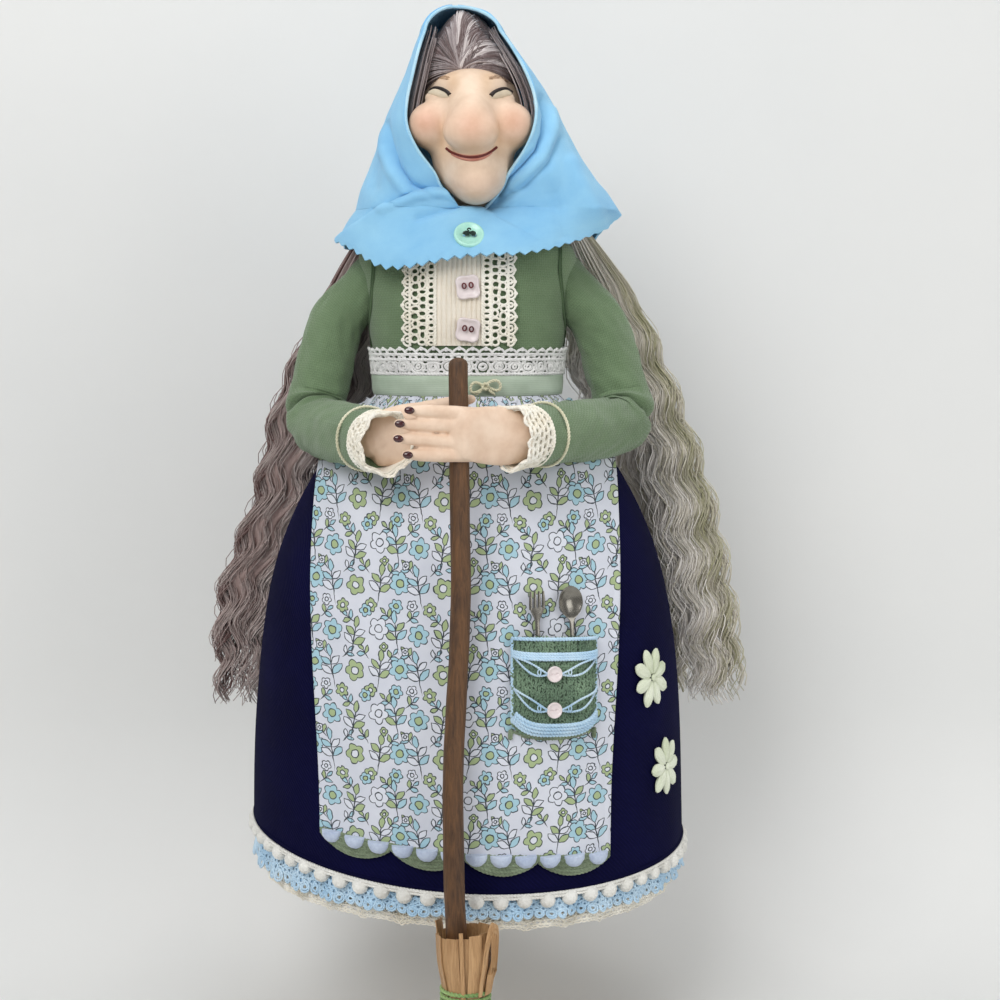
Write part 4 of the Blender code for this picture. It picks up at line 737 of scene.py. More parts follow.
@dataclass(frozen=True)
class SprigPrint(Fabric):
    """White cotton printed with small outlined garden sprigs, a generic allover pattern."""

    ink: str = "3E444B"
    sage: str = "A9B98C"
    blue: str = "A8CBD8"
    white: str = "DCDFE8"
    tile: tuple[float, float] = (33.0, 30.0)
    line: float = 0.19

    def group(self, shape: Shape) -> bpy.types.NodeTree:
        """Builds the node group that draws one outlined shape over a colour.

        Args:
            shape: Which shape it draws.
        Returns:
            The group.
        """
        tree = bpy.data.node_groups.new(f"print_{shape.value}", "ShaderNodeTree")
        for label, kind in (("Point", "NodeSocketVector"), ("Below", "NodeSocketColor"), ("Fill", "NodeSocketColor"),
                            ("Centre", "NodeSocketVector"), ("Angle", "NodeSocketFloat"),
                            ("Length", "NodeSocketFloat"), ("Width", "NodeSocketFloat")):
            tree.interface.new_socket(name=label, in_out="INPUT", socket_type=kind)
        tree.interface.new_socket(name="Colour", in_out="OUTPUT", socket_type="NodeSocketColor")
        start = add_node(tree, "NodeGroupInput", {}, {}).outputs

        def sums(operation: str, first: object, second: object, third: object = 0.0) -> bpy.types.NodeSocket:
            """A Math node's output."""
            return add_node(tree, "ShaderNodeMath", {"operation": operation},
                            {0: first, 1: second, 2: third}).outputs[0]
        away = add_node(tree, "ShaderNodeVectorMath", {"operation": "SUBTRACT"},
                        {0: start["Point"], 1: start["Centre"]})
        half = (self.tile[0] / 2, self.tile[1] / 2, 1.0)
        near = add_node(tree, "ShaderNodeVectorMath", {"operation": "WRAP"},
                        {0: away.outputs[0], 1: half, 2: tuple(-side for side in half)})
        turned_to = add_node(tree, "ShaderNodeVectorRotate", {"rotation_type": "Z_AXIS"},
                             {"Vector": near.outputs[0], "Angle": start["Angle"]})
        parts = add_node(tree, "ShaderNodeSeparateXYZ", {}, {0: turned_to.outputs[0]})
        x, y = parts.outputs[0], parts.outputs[1]
        if shape is Shape.LEAF:
            along = sums("DIVIDE", x, start["Length"])
            taper = sums("MULTIPLY_ADD", sums("MULTIPLY", along, along), -2.0, 0.5)
            inside = sums("SUBTRACT", sums("MULTIPLY", taper, start["Width"]), sums("ABSOLUTE", y, 0.0))
        else:
            turn = sums("ARCTAN2", y, x)
            lobe = sums("ABSOLUTE", sums("COSINE", sums("MULTIPLY", turn, start["Width"]), 0.0), 0.0)
            rim = sums("MULTIPLY", start["Length"], sums("MULTIPLY_ADD", lobe, 0.30, 0.70))
            far = sums("SQRT", sums("ADD", sums("MULTIPLY", x, x), sums("MULTIPLY", y, y)), 0.0)
            inside = sums("SUBTRACT", rim, far)
        filled = sums("GREATER_THAN", inside, 0.0)
        inked = sums("LESS_THAN", sums("ABSOLUTE", inside, 0.0), self.line)
        body = mixed(tree, filled, start["Below"], start["Fill"])
        add_node(tree, "NodeGroupOutput", {}, {0: mixed(tree, inked, body, self.ink)})
        return tree

    def sprig(self, x: float, y: float, angle: float, pairs: int, size: float, fills: Sequence[str]) -> list[Motif]:
        """Lays out a stem with pairs of leaves and one at its tip.

        Args:
            x: The foot of the stem.
            y: The foot of the stem.
            angle: The way that the stem grows.
            pairs: How many pairs of leaves it has.
            size: A leaf's length.
            fills: The leaves' colours, in turn.
        Returns:
            The motifs.
        """
        way = (math.cos(angle), math.sin(angle))
        step = size * 0.62
        stem = step * (pairs + 0.3)
        result = [Motif(Shape.LEAF, x + way[0] * stem / 2, y + way[1] * stem / 2, angle, stem, 0.1, self.ink)]
        for pair in range(pairs):
            for side in (-1, 1):
                turn = angle + side * 0.95
                reach = step * (pair + 0.45)
                leaf = size * (1.0 - 0.12 * pair)
                result.append(Motif(Shape.LEAF, x + way[0] * reach + math.cos(turn) * leaf * 0.52,
                                    y + way[1] * reach + math.sin(turn) * leaf * 0.52, turn, leaf, leaf * 0.48,
                                    fills[(pair + (side > 0)) % len(fills)]))
        result.append(Motif(Shape.LEAF, x + way[0] * (stem + size * 0.42), y + way[1] * (stem + size * 0.42),
                            angle, size * 0.9, size * 0.42, fills[0]))
        return result

    def bloom(self, x: float, y: float, size: float, petals: int, fill: str) -> list[Motif]:
        """Lays out a round flower with its middle.

        Args:
            x: Its centre.
            y: Its centre.
            size: Its radius.
            petals: How many petals it has.
            fill: The petals' colour.
        Returns:
            The motifs.
        """
        return [Motif(Shape.BLOOM, x, y, 0.3 * x, size, petals / 2, fill),
                Motif(Shape.BLOOM, x, y, 0.0, size * 0.36, 0.0, self.sage if fill == self.blue else self.white)]

    def motifs(self) -> list[Motif]:
        """Lays out one tile of the print.

        Returns:
            All its shapes, the first ones undermost.
        """
        sage, blue, white = self.sage, self.blue, self.white
        return (self.sprig(7.5, 8.5, 0.9, 1, 3.2, (blue, sage)) + self.sprig(15.5, 9.5, 2.3, 1, 3.2, (sage, blue))
                + self.sprig(23.5, 9.0, 0.8, 1, 3.0, (blue, white)) + self.sprig(32.0, 9.5, 2.2, 1, 3.2, (sage, blue))
                + self.sprig(8.0, 23.0, 2.4, 1, 3.2, (sage, blue)) + self.sprig(14.5, 22.5, 0.7, 1, 3.2, (blue, sage))
                + self.sprig(26.5, 21.5, 2.5, 1, 3.2, (blue, sage)) + self.bloom(0.5, 27.5, 2.4, 5, sage)
                + self.bloom(10.0, 27.5, 2.6, 6, blue) + self.bloom(16.0, 28.0, 2.0, 5, white)
                + self.sprig(3.5, 1.0, 1.45, 2, 5.0, (sage, white)) + self.bloom(11.5, 5.5, 4.0, 6, blue)
                + self.sprig(19.0, 0.5, 1.75, 2, 5.2, (blue, white)) + self.bloom(27.5, 4.0, 3.7, 5, sage)
                + self.sprig(10.5, 14.5, 1.7, 2, 5.0, (blue, sage)) + self.bloom(3.5, 19.5, 3.8, 5, white)
                + self.sprig(26.5, 12.0, 1.4, 2, 5.0, (sage, white)) + self.bloom(18.5, 17.5, 3.9, 6, blue)
                + self.bloom(31.5, 25.5, 2.3, 5, blue) + self.bloom(22.5, 26.5, 2.5, 6, sage)
                + self.bloom(5.5, 13.2, 1.6, 4, sage) + self.bloom(13.5, 11.6, 1.5, 4, white))

    def paint(self, tree: bpy.types.NodeTree, point: bpy.types.NodeSocket,
              height: bpy.types.NodeSocket) -> bpy.types.NodeSocket:
        """Draws the print over the plain cloth.

        Args:
            tree: The material's tree.
            point: The place on the cloth, in metres.
            height: The height of the threads.
        Returns:
            The colour.
        """
        colour = super().paint(tree, point, height)
        # The hand-drawn line wanders by a fifth of a millimetre.
        wander = add_node(tree, "ShaderNodeTexNoise", {}, {"Vector": point, "Scale": 420.0, "Detail": 1.0})
        shift = add_node(tree, "ShaderNodeVectorMath", {"operation": "MULTIPLY_ADD"},
                         {0: wander.outputs["Color"], 1: (1.0, 1.0, 0.0), 2: (-0.5, -0.5, 0.0)})
        place = add_node(tree, "ShaderNodeVectorMath", {"operation": "MULTIPLY_ADD"},
                         {0: point, 1: (1000.0, 1000.0, 0.0), 2: shift.outputs[0]})
        groups = {shape: self.group(shape) for shape in Shape}
        for motif in self.motifs():
            drawn = add_node(tree, "ShaderNodeGroup", {"node_tree": groups[motif.shape]}, {
                "Point": place.outputs[0], "Below": colour, "Fill": linear(motif.fill),
                "Centre": (motif.x, motif.y, 0.0), "Angle": -motif.angle, "Length": motif.length,
                "Width": motif.width})
            colour = drawn.outputs[0]
        return colour


@dataclass(frozen=True)
class Yarn:
    """Spun thread: crochet cotton, embroidery thread, knitting yarn and pompom wool."""

    name: str
    colour: str
    shade: str
    roughness: float = 0.9
    sheen: float = 0.3
    fuzz: float = 2200.0
    depth: float = 0.00012

    def make(self) -> bpy.types.Material:
        """Builds the material: short fibres with a painted highlight, and painted shade in between.

        Returns:
            The yarn's material.
        """
        material, tree, shader = new_material(self.name)
        point = object_point(tree)
        # The fibre noise that bumps the thread also paints it: painted highlight on the fibres, painted shade between
        # them.
        fibre = noise_at(tree, point, self.fuzz, 3.0, 0.7)
        share = ranged(tree, weighed(tree, fibre, 0.8, noise_at(tree, point, 90.0, 2.0)), (0.6, 1.15))
        fill(tree, shader, {"Base Color": mixed(tree, share, self.shade, self.colour), "Roughness": self.roughness,
                            "Sheen Weight": self.sheen, "Specular IOR Level": 0.2,
                            "Normal": bumped(tree, fibre, self.depth)})
        return material


@dataclass(frozen=True)
class PaintedClay:
    """Air-dried modelling clay, sanded smooth and coloured with dry blush; on the face, a colour attribute also
    multiplies in painted shade.
    """

    name: str
    colour: str
    shade: str
    roughness: float = 0.5
    painted: bool = False

    def make(self) -> bpy.types.Material:
        """Builds the material: a dull skin with a faint mottle and a fine tooth.

        Returns:
            The clay's material.
        """
        material, tree, shader = new_material(self.name)
        point = object_point(tree)
        share = ranged(tree, noise_at(tree, point, 130.0, 5.0, 0.6), (0.35, 0.65))
        colour = mixed(tree, share, self.shade, self.colour)
        # A painted skin's colour attribute holds its blush and its painted shade, multiplied into the clay's colour.
        if self.painted:
            blush_and_painted_shade = add_node(tree, "ShaderNodeAttribute", {"attribute_name": "BlushAndPaintedShade"}, {})
            tint = add_node(tree, "ShaderNodeMix", {"data_type": "RGBA", "blend_type": "MULTIPLY"},
                            {0: 1.0, 6: colour, 7: blush_and_painted_shade.outputs["Color"]})
            colour = tint.outputs[2]
        tooth = noise_at(tree, point, 1500.0, 3.0)
        dull = ranged(tree, tooth, end=(self.roughness - 0.06, self.roughness + 0.08))
        fill(tree, shader, {"Base Color": colour, "Roughness": dull, "Specular IOR Level": 0.4,
                            "Normal": bumped(tree, tooth, 0.00002)})
        return material


@dataclass(frozen=True)
class Hair:
    """Combed goat hair, whose strands vary from root to tip and from one to the next."""

    name: str
    colours: tuple[str, str, str]

    def make(self) -> bpy.types.Material:
        """Builds the material: silky, in streaks of three colours.

        Returns:
            The hair's material.
        """
        material, tree, shader = new_material(self.name)
        strand = add_node(tree, "ShaderNodeAttribute", {"attribute_name": "Shade"}, {}).outputs["Fac"]
        streak = add_node(tree, "ShaderNodeMapping", {}, {
            "Vector": object_point(tree), "Scale": (1.0, 1.0, 0.12)}).outputs[0]
        fine = noise_at(tree, streak, 1300.0, 3.0)
        share = weighed(tree, noise_at(tree, streak, 110.0, 2.0), 0.9, strand)
        ramp = add_node(tree, "ShaderNodeValToRGB", {}, {
            0: ranged(tree, weighed(tree, fine, 0.5, share), (0.65, 1.75))})
        ramp.color_ramp.elements.new(0.5)
        for element, code in zip(ramp.color_ramp.elements, self.colours):
            element.color = linear(code)
        fill(tree, shader, {"Base Color": ramp.outputs[0], "Roughness": 0.45, "Sheen Weight": 0.15,
                            "Specular IOR Level": 0.4, "Normal": bumped(tree, fine, 0.0001)})
        return material


@dataclass(frozen=True)
class Wood:
    """Wood whose grain runs along the broom."""

    name: str
    colour: str
    shade: str
    grain: float = 0.0009
    roughness: float = 0.55
    lean: tuple[float, float, float] = (math.radians(7.0), math.radians(0.7), 0.0)

    def make(self) -> bpy.types.Material:
        """Builds the material: long dark and pale fibres with shallow pores.

        Returns:
            The wood's material.
        """
        material, tree, shader = new_material(self.name)
        along = add_node(tree, "ShaderNodeMapping", {}, {
            "Vector": object_point(tree), "Rotation": self.lean, "Scale": (1.0, 1.0, 0.045)}).outputs[0]
        fibre = noise_at(tree, along, 1 / self.grain, 6.0, 0.68, 0.6)
        band = noise_at(tree, along, 0.22 / self.grain, 2.0)
        share = ranged(tree, weighed(tree, band, 0.7, fibre), (0.6, 1.1))
        dull = ranged(tree, fibre, end=(self.roughness + 0.15, self.roughness - 0.1))
        fill(tree, shader, {"Base Color": mixed(tree, share, self.shade, self.colour), "Roughness": dull,
                            "Normal": bumped(tree, fibre, 0.0003)})
        return material


@dataclass(frozen=True)
class Hard:
    """Moulded plastic, glossy enamel or metal, worn by handling."""

    name: str
    colour: str
    shade: str
    roughness: float = 0.3
    metallic: float = 0.0
    coat: float = 0.0
    scale: float = 300.0

    def make(self) -> bpy.types.Material:
        """Builds the material: an even colour with faint clouds and fine scratches.

        Returns:
            The material.
        """
        material, tree, shader = new_material(self.name)
        point = object_point(tree)
        cloud = noise_at(tree, point, self.scale, 3.0)
        scratch = noise_at(tree, point, self.scale * 6, 4.0)
        dull = ranged(tree, scratch, end=(max(self.roughness - 0.08, 0.05), self.roughness + 0.15))
        fill(tree, shader, {"Base Color": mixed(tree, cloud, self.shade, self.colour), "Roughness": dull,
                            "Metallic": self.metallic, "Coat Weight": self.coat,
                            "Normal": bumped(tree, scratch, 0.00002)})
        return material


class Wardrobe:
    """Every finish of the doll, made once."""

    def __init__(self) -> None:
        """Builds all the materials."""
        # Fine cotton lawn, threads 0.45 mm apart: flat, dry and bright.
        self.scarf = Fabric("sky_blue_cotton_lawn", "A4D9F4", "7AB8E4", 0.00045, contrast=0.25, patches=28.0,
                            sheen=0.15, depth=0.00006).make()
        self.scarf_rim = Yarn("pale_blue_rolled_hem", "C2E6F5", "93C9E6").make()
        # Washed linen, slubby threads 0.9 mm apart: dry, dull and a little uneven.
        self.linen = Fabric("green_washed_linen", "7F9673", "566B4C", 0.0009, contrast=0.75, patches=45.0,
                            depth=0.00020).make()
        self.linen_dark = Yarn("green_seam_thread", "5E7654", "42563A").make()
        # Cotton twill, lines 0.9 mm apart: nearly black in the shade, with a dry bloom.
        self.navy = Fabric("navy_cotton_twill", "0E0E3A", "070720", 0.0009, Weave.TWILL,
                           patches=25.0, gloss=0.06, sheen=0.0, depth=0.00016).make()
        # Thin printed cotton, a smooth white ground: the outlined sprigs stay crisp.
        self.print_cloth = SprigPrint("sprig_printed_cotton", "E2E4EC", "C8CCD8", 0.0004, contrast=0.2, patches=40.0,
                                      sheen=0.1, depth=0.00005).make()
        # Satin ribbon, threads along it: a soft broad shine. Ribbed cotton: matt cream.
        self.ribbon = Fabric("sage_satin_ribbon", "CFDCCB", "A6B8A2", 0.0006, Weave.SATIN, roughness=0.45, sheen=0.1,
                             contrast=0.2, depth=0.00003).make()
        self.blouse = Fabric("cream_ribbed_cotton", "FCF6EB", "E6DAC6", 0.0005, contrast=0.5, patches=90.0).make()
        # Polyester wadding and grey board, inside and under the skirt: rough and dull.
        self.wadding = Yarn("polyester_wadding", "EDEAE2", "D8D2C6", fuzz=700.0, depth=0.0004).make()
        self.card = Fabric("grey_board", "A68F70", "8A7458", 0.0008, contrast=0.3, uses_uv=False).make()
        # Mercerised crochet cotton: round hard thread with a dull shine.
        self.cream_lace = Yarn("cream_crochet_cotton", "FBF8EF", "E6DECB").make()
        self.white_lace = Yarn("white_crochet_cotton", "F6F5F3", "D2D0D0").make()
        self.blue_lace = Yarn("pale_blue_crochet_cotton", "CFE6F6", "A2C8E4").make()
        # The net's ground fills the dense crochet; its tone, a little darker than the lace's, is painted shade seen
        # through the holes.
        self.blue_net = Yarn("pale_blue_net_ground", "BBD8EC", "94B9D6", fuzz=900.0).make()
        # Wool and felt: thick fibres with deep shade between, so the surface looks soft.
        self.sage_lace = Yarn("sage_crochet_cotton", "8D9C80", "626F56", fuzz=1100.0, depth=0.0003).make()
        self.knit = Yarn("dark_sage_knitting_wool", "86A084", "4B6450", fuzz=1500.0, depth=0.0003).make()
        self.white_pom = Yarn("white_pompom_wool", "F8F7F2", "DCDAD2", fuzz=1300.0, depth=0.0005).make()
        self.lilac_pom = Yarn("periwinkle_felt_ball", "CBD6E8", "A6B4D0", fuzz=900.0, depth=0.0003).make()
        # Waxed, embroidery and hemp cords and sewing thread: tight fibres, a little smoother.
        self.cream_cord = Yarn("cream_waxed_cord", "EDE9D0", "C6C2A0", roughness=0.7).make()
        self.blue_cord = Yarn("light_blue_embroidery_thread", "D3E6F2", "9CC0DC", roughness=0.6).make()
        self.green_cord = Yarn("green_hemp_cord", "A3C07C", "66864A", roughness=0.7).make()
        self.petal = Yarn("pale_green_embroidery_wool", "F0F4E2", "C9D2B2").make()
        self.dark_thread = Yarn("dark_green_sewing_thread", "1E3B31", "0C1F19", roughness=0.5).make()
        self.red_thread = Yarn("burgundy_sewing_thread", "6E1B22", "3E0B10", roughness=0.5).make()
        # Dried clay skin: smooth, dull, a little warm.
        self.face = PaintedClay("flesh_clay_face", "EBD2BA", "DFC3A9", painted=True).make()
        self.hand = PaintedClay("flesh_clay_hand", "EAD1BA", "DDBFA6").make()
        self.lid = PaintedClay("pale_clay_eyelid", "DDCFB8", "CFBEA4").make()
        # Brush-painted lines and lips, dull; nail enamel, wet-looking.
        self.lash = Hard("dark_brown_paint", "1E1410", "2A1C16", 0.5).make()
        self.lip = PaintedClay("red_brown_lip_paint", "C98B78", "B56F5E", 0.4).make()
        self.mouth = Hard("dark_red_mouth_paint", "6E1F1A", "571511", 0.5).make()
        self.nail = Hard("maroon_nail_enamel", "4A0F14", "2C070B", 0.12, coat=0.6).make()
        # Goat hair: silky streaks from dark to pale along the strands.
        self.mauve_hair = Hair("mauve_grey_goat_hair", ("6B5856", "A09494", "D8CFCD")).make()
        self.brow_hair = Hair("sandy_brow_hair", ("A07C5C", "BE9C7E", "D6B99A")).make()
        self.brown_hair = Hair("brown_mauve_goat_hair", ("6B4A46", "A18B86", "CFC2BE")).make()
        self.pale_hair = Hair("silver_green_goat_hair", ("ACA982", "DDD6C8", "FFFAF4")).make()
        # A peeled branch and split wood: long fibres, dark and pale, dry.
        self.handle = Wood("dark_peeled_branch", "6E4A28", "301C0C").make()
        self.splint = Wood("peach_split_wood", "CDA577", "9C744A", 0.0006, 0.5).make()
        # Polyester buttons, pearly and glossy; steel and brass, bright with fine scratches.
        self.mint = Hard("mint_polyester_button", "BFEFE0", "A3E0CE", 0.25, coat=0.3).make()
        self.white_button = Hard("white_polyester_button", "EDE2E1", "D6C8C8", 0.3, coat=0.2).make()
        self.steel = Hard("stainless_steel", "9C9890", "6E6B64", 0.2, 1.0).make()
        self.brass = Hard("brass_ring", "D8B065", "B8893C", 0.25, 1.0).make()


class Workshop(Wardrobe):
    """Every finish of the doll, with the tools that sew and set things."""

    def __init__(self) -> None:
        """Makes the finishes and the tools."""
        super().__init__()
        self.threads, self.splints, self.stitches = ThreadTool(), SplintTool(), StitchTool()

    def thread(self, lines: Sequence[Line], radius: float, sides: int,
               finish: bpy.types.Material) -> bpy.types.Mesh:
        """Makes round thread.

        Args:
            lines: The thread's paths.
            radius: Its radius.
            sides: How many sides its section has.
            finish: Its finish.
        Returns:
            The thread's mesh.
        """
        return self.threads.run(lines_mesh(lines), {"Radius": radius, "Sides": sides, "Material": finish})

    def sew(self, name: str, lines: Sequence[Line], radius: float, sides: int, finish: bpy.types.Material,
            body: str | None, nodes: Sequence[str] = (), slot: str | None = None,
            sharp: float = 60.0) -> bpy.types.Object:
        """Makes a piece of round thread; its arguments are those of `thread` and `put`, and `slot` is not used."""
        return put(name, self.thread(lines, radius, sides, finish), finish, body, nodes, sharp)

    def scatter(self, places: Sequence[Matrix], sizes: Sequence[float], unit: bpy.types.Object,
                finish: bpy.types.Material) -> bpy.types.Mesh:
        """Repeats a small object, which goes when it's done.

        Args:
            places: Where each copy stands.
            sizes: Its scale.
            unit: What is repeated.
            finish: Its finish.
        Returns:
            The copies' mesh.
        """
        mesh = self.stitches.run(points_mesh(places, sizes), {"Unit": unit, "Material": finish})
        bpy.data.objects.remove(unit, do_unlink=True)
        return mesh


@dataclass
class Assembly:
    """A sub-assembly, made with the workshop's finishes and tools."""

    shop: Workshop


# --- The doll's stuffed forms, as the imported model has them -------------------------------


@dataclass(frozen=True)
class TorsoForm:
    """The stuffed torso that the bodice and its trims lie on."""

    bottom: float = 0.1780
    length: float = 0.0685
    half_width: float = 0.0385
    half_depth: float = 0.0270
    layer: float = 0.0016
    sections: tuple[tuple[float, float, float], ...] = (
        (0.00, 0.90, 0.92), (0.12, 0.91, 0.95), (0.35, 0.95, 1.00), (0.60, 1.00, 1.00),
        (0.78, 1.07, 0.95), (0.88, 1.02, 0.88), (0.95, 0.80, 0.74), (1.00, 0.38, 0.52))

    def core(self, angle: float, height: float) -> Vector:
        """The surface at an angle from the front towards +X, and a height."""
        wide, deep = from_table(self.sections, (height - self.bottom) / self.length)
        return Vector((self.half_width * wide * math.sin(angle), -self.half_depth * deep * math.cos(angle), height))

    def over(self, angle: float, height: float, distance: float) -> Vector:
        """The point a distance over the surface."""
        return lifted(self.core, angle, height, distance)

    def front(self, x: float, height: float, distance: float) -> Vector:
        """The point over the front at a place seen from the front."""
        half = self.core(math.pi / 2, height).x
        return self.over(math.asin(max(-1.0, min(1.0, x / half))), height, distance)


@dataclass(frozen=True)
class SkirtForm:
    """The bell of the skirt, its hem and the apron's outline."""

    top: float = 0.1806
    waist: float = 0.0350
    hem: float = 0.0860
    swell: float = 0.90
    depth: float = 0.90
    folds: int = 9
    fold: float = 0.0018
    cloth: float = 0.0010
    ease: float = 0.0006
    apron_cloth: float = 0.0008
    apron_half: float = 0.0570

    def half_width(self, height: float) -> float:
        """Half the skirt's width at a height."""
        share = 1 - height / self.top
        return self.waist + (self.hem - self.waist) * (self.swell * (1 - (1 - share) ** 4) + (1 - self.swell) * share)

    def inner(self, angle: float, height: float) -> Vector:
        """The inner face of the skirt at an angle from the front towards +X, and a height."""
        half = self.half_width(height)
        share = min(max(1 - height / self.top, 0), 1)
        fold = self.fold * share * max(-math.cos(angle), 0) * math.cos(self.folds * angle)
        return Vector(((half + fold) * math.sin(angle), -(half * self.depth + fold) * math.cos(angle), height))

    def over(self, angle: float, height: float, distance: float) -> Vector:
        """The point a distance over the inner face."""
        return lifted(self.inner, angle, height, distance)

    def front(self, x: float, height: float, distance: float) -> Vector:
        """The point over the front at a place seen from the front."""
        return self.over(math.asin(x / self.half_width(height)), height, distance)

    def hem_height(self, angle: float) -> float:
        """Height of the skirt's lower edge."""
        return 0.0049 + 0.0038 * math.sin(angle) ** 2 - 0.0048 * math.sin(angle)

    def apron_bottom(self, x: float) -> float:
        """Height of the apron's lower edge at a place seen from the front."""
        return 0.0203 - 0.00495 * x / self.apron_half

    @property
    def on_skirt(self) -> float:
        """Where a layer on the skirt starts."""
        return self.cloth + self.ease

    @property
    def on_apron(self) -> float:
        """Where a layer on the apron starts."""
        return self.on_skirt + self.apron_cloth + GAP


def lifted(surface: Callable[[float, float], Vector], angle: float, height: float, distance: float) -> Vector:
    """Moves a point of a surface out along its normal.

    Args:
        surface: The surface, by angle and height.
        angle: The point's angle.
        height: The point's height.
        distance: How far out it goes.
    Returns:
        The point.
    """
    here = surface(angle, height)
    if distance == 0:
        return here
    across = surface(angle + 0.002, height) - surface(angle - 0.002, height)
    upward = surface(angle, height + 0.0001) - surface(angle, height - 0.0001)
    return here + across.cross(upward).normalized() * distance


TORSO = TorsoForm()
SKIRT = SkirtForm()


# --- Head ---------------------------------------------------------------------------------


def spaced(path: Sequence[tuple[float, float]]) -> list[tuple[float, float, float]]:
    """A table of a path's places, each with its share of the way."""
    return [(index / (len(path) - 1), *place) for index, place in enumerate(path)]


class Surface:
    """A mesh that pieces are set on."""

    def __init__(self, mesh: bpy.types.Mesh) -> None:
        """Reads the mesh.

        Args:
            mesh: The surface's mesh.
        """
        self.tree = BVHTree.FromPolygons([vertex.co.copy() for vertex in mesh.vertices],
                                         [tuple(face.vertices) for face in mesh.polygons])

    def ahead(self, x: float, z: float) -> tuple[Vector, Vector]:
        """Finds the surface behind a place seen from the front.

        Args:
            x: The place.
            z: The place.
        Returns:
            The point and the outward normal.
        """
        point, normal, _, _ = self.tree.ray_cast(Vector((x, -0.2, z)), Vector((0, 1, 0)))
        if point is None:
            return self.near(Vector((x, 0, z)))
        if normal.y > 0:
            normal = -normal
        return point, normal

    def near(self, place: Vector) -> tuple[Vector, Vector]:
        """The surface's nearest point and its normal."""
        point, normal, _, _ = self.tree.find_nearest(place)
        return point, normal


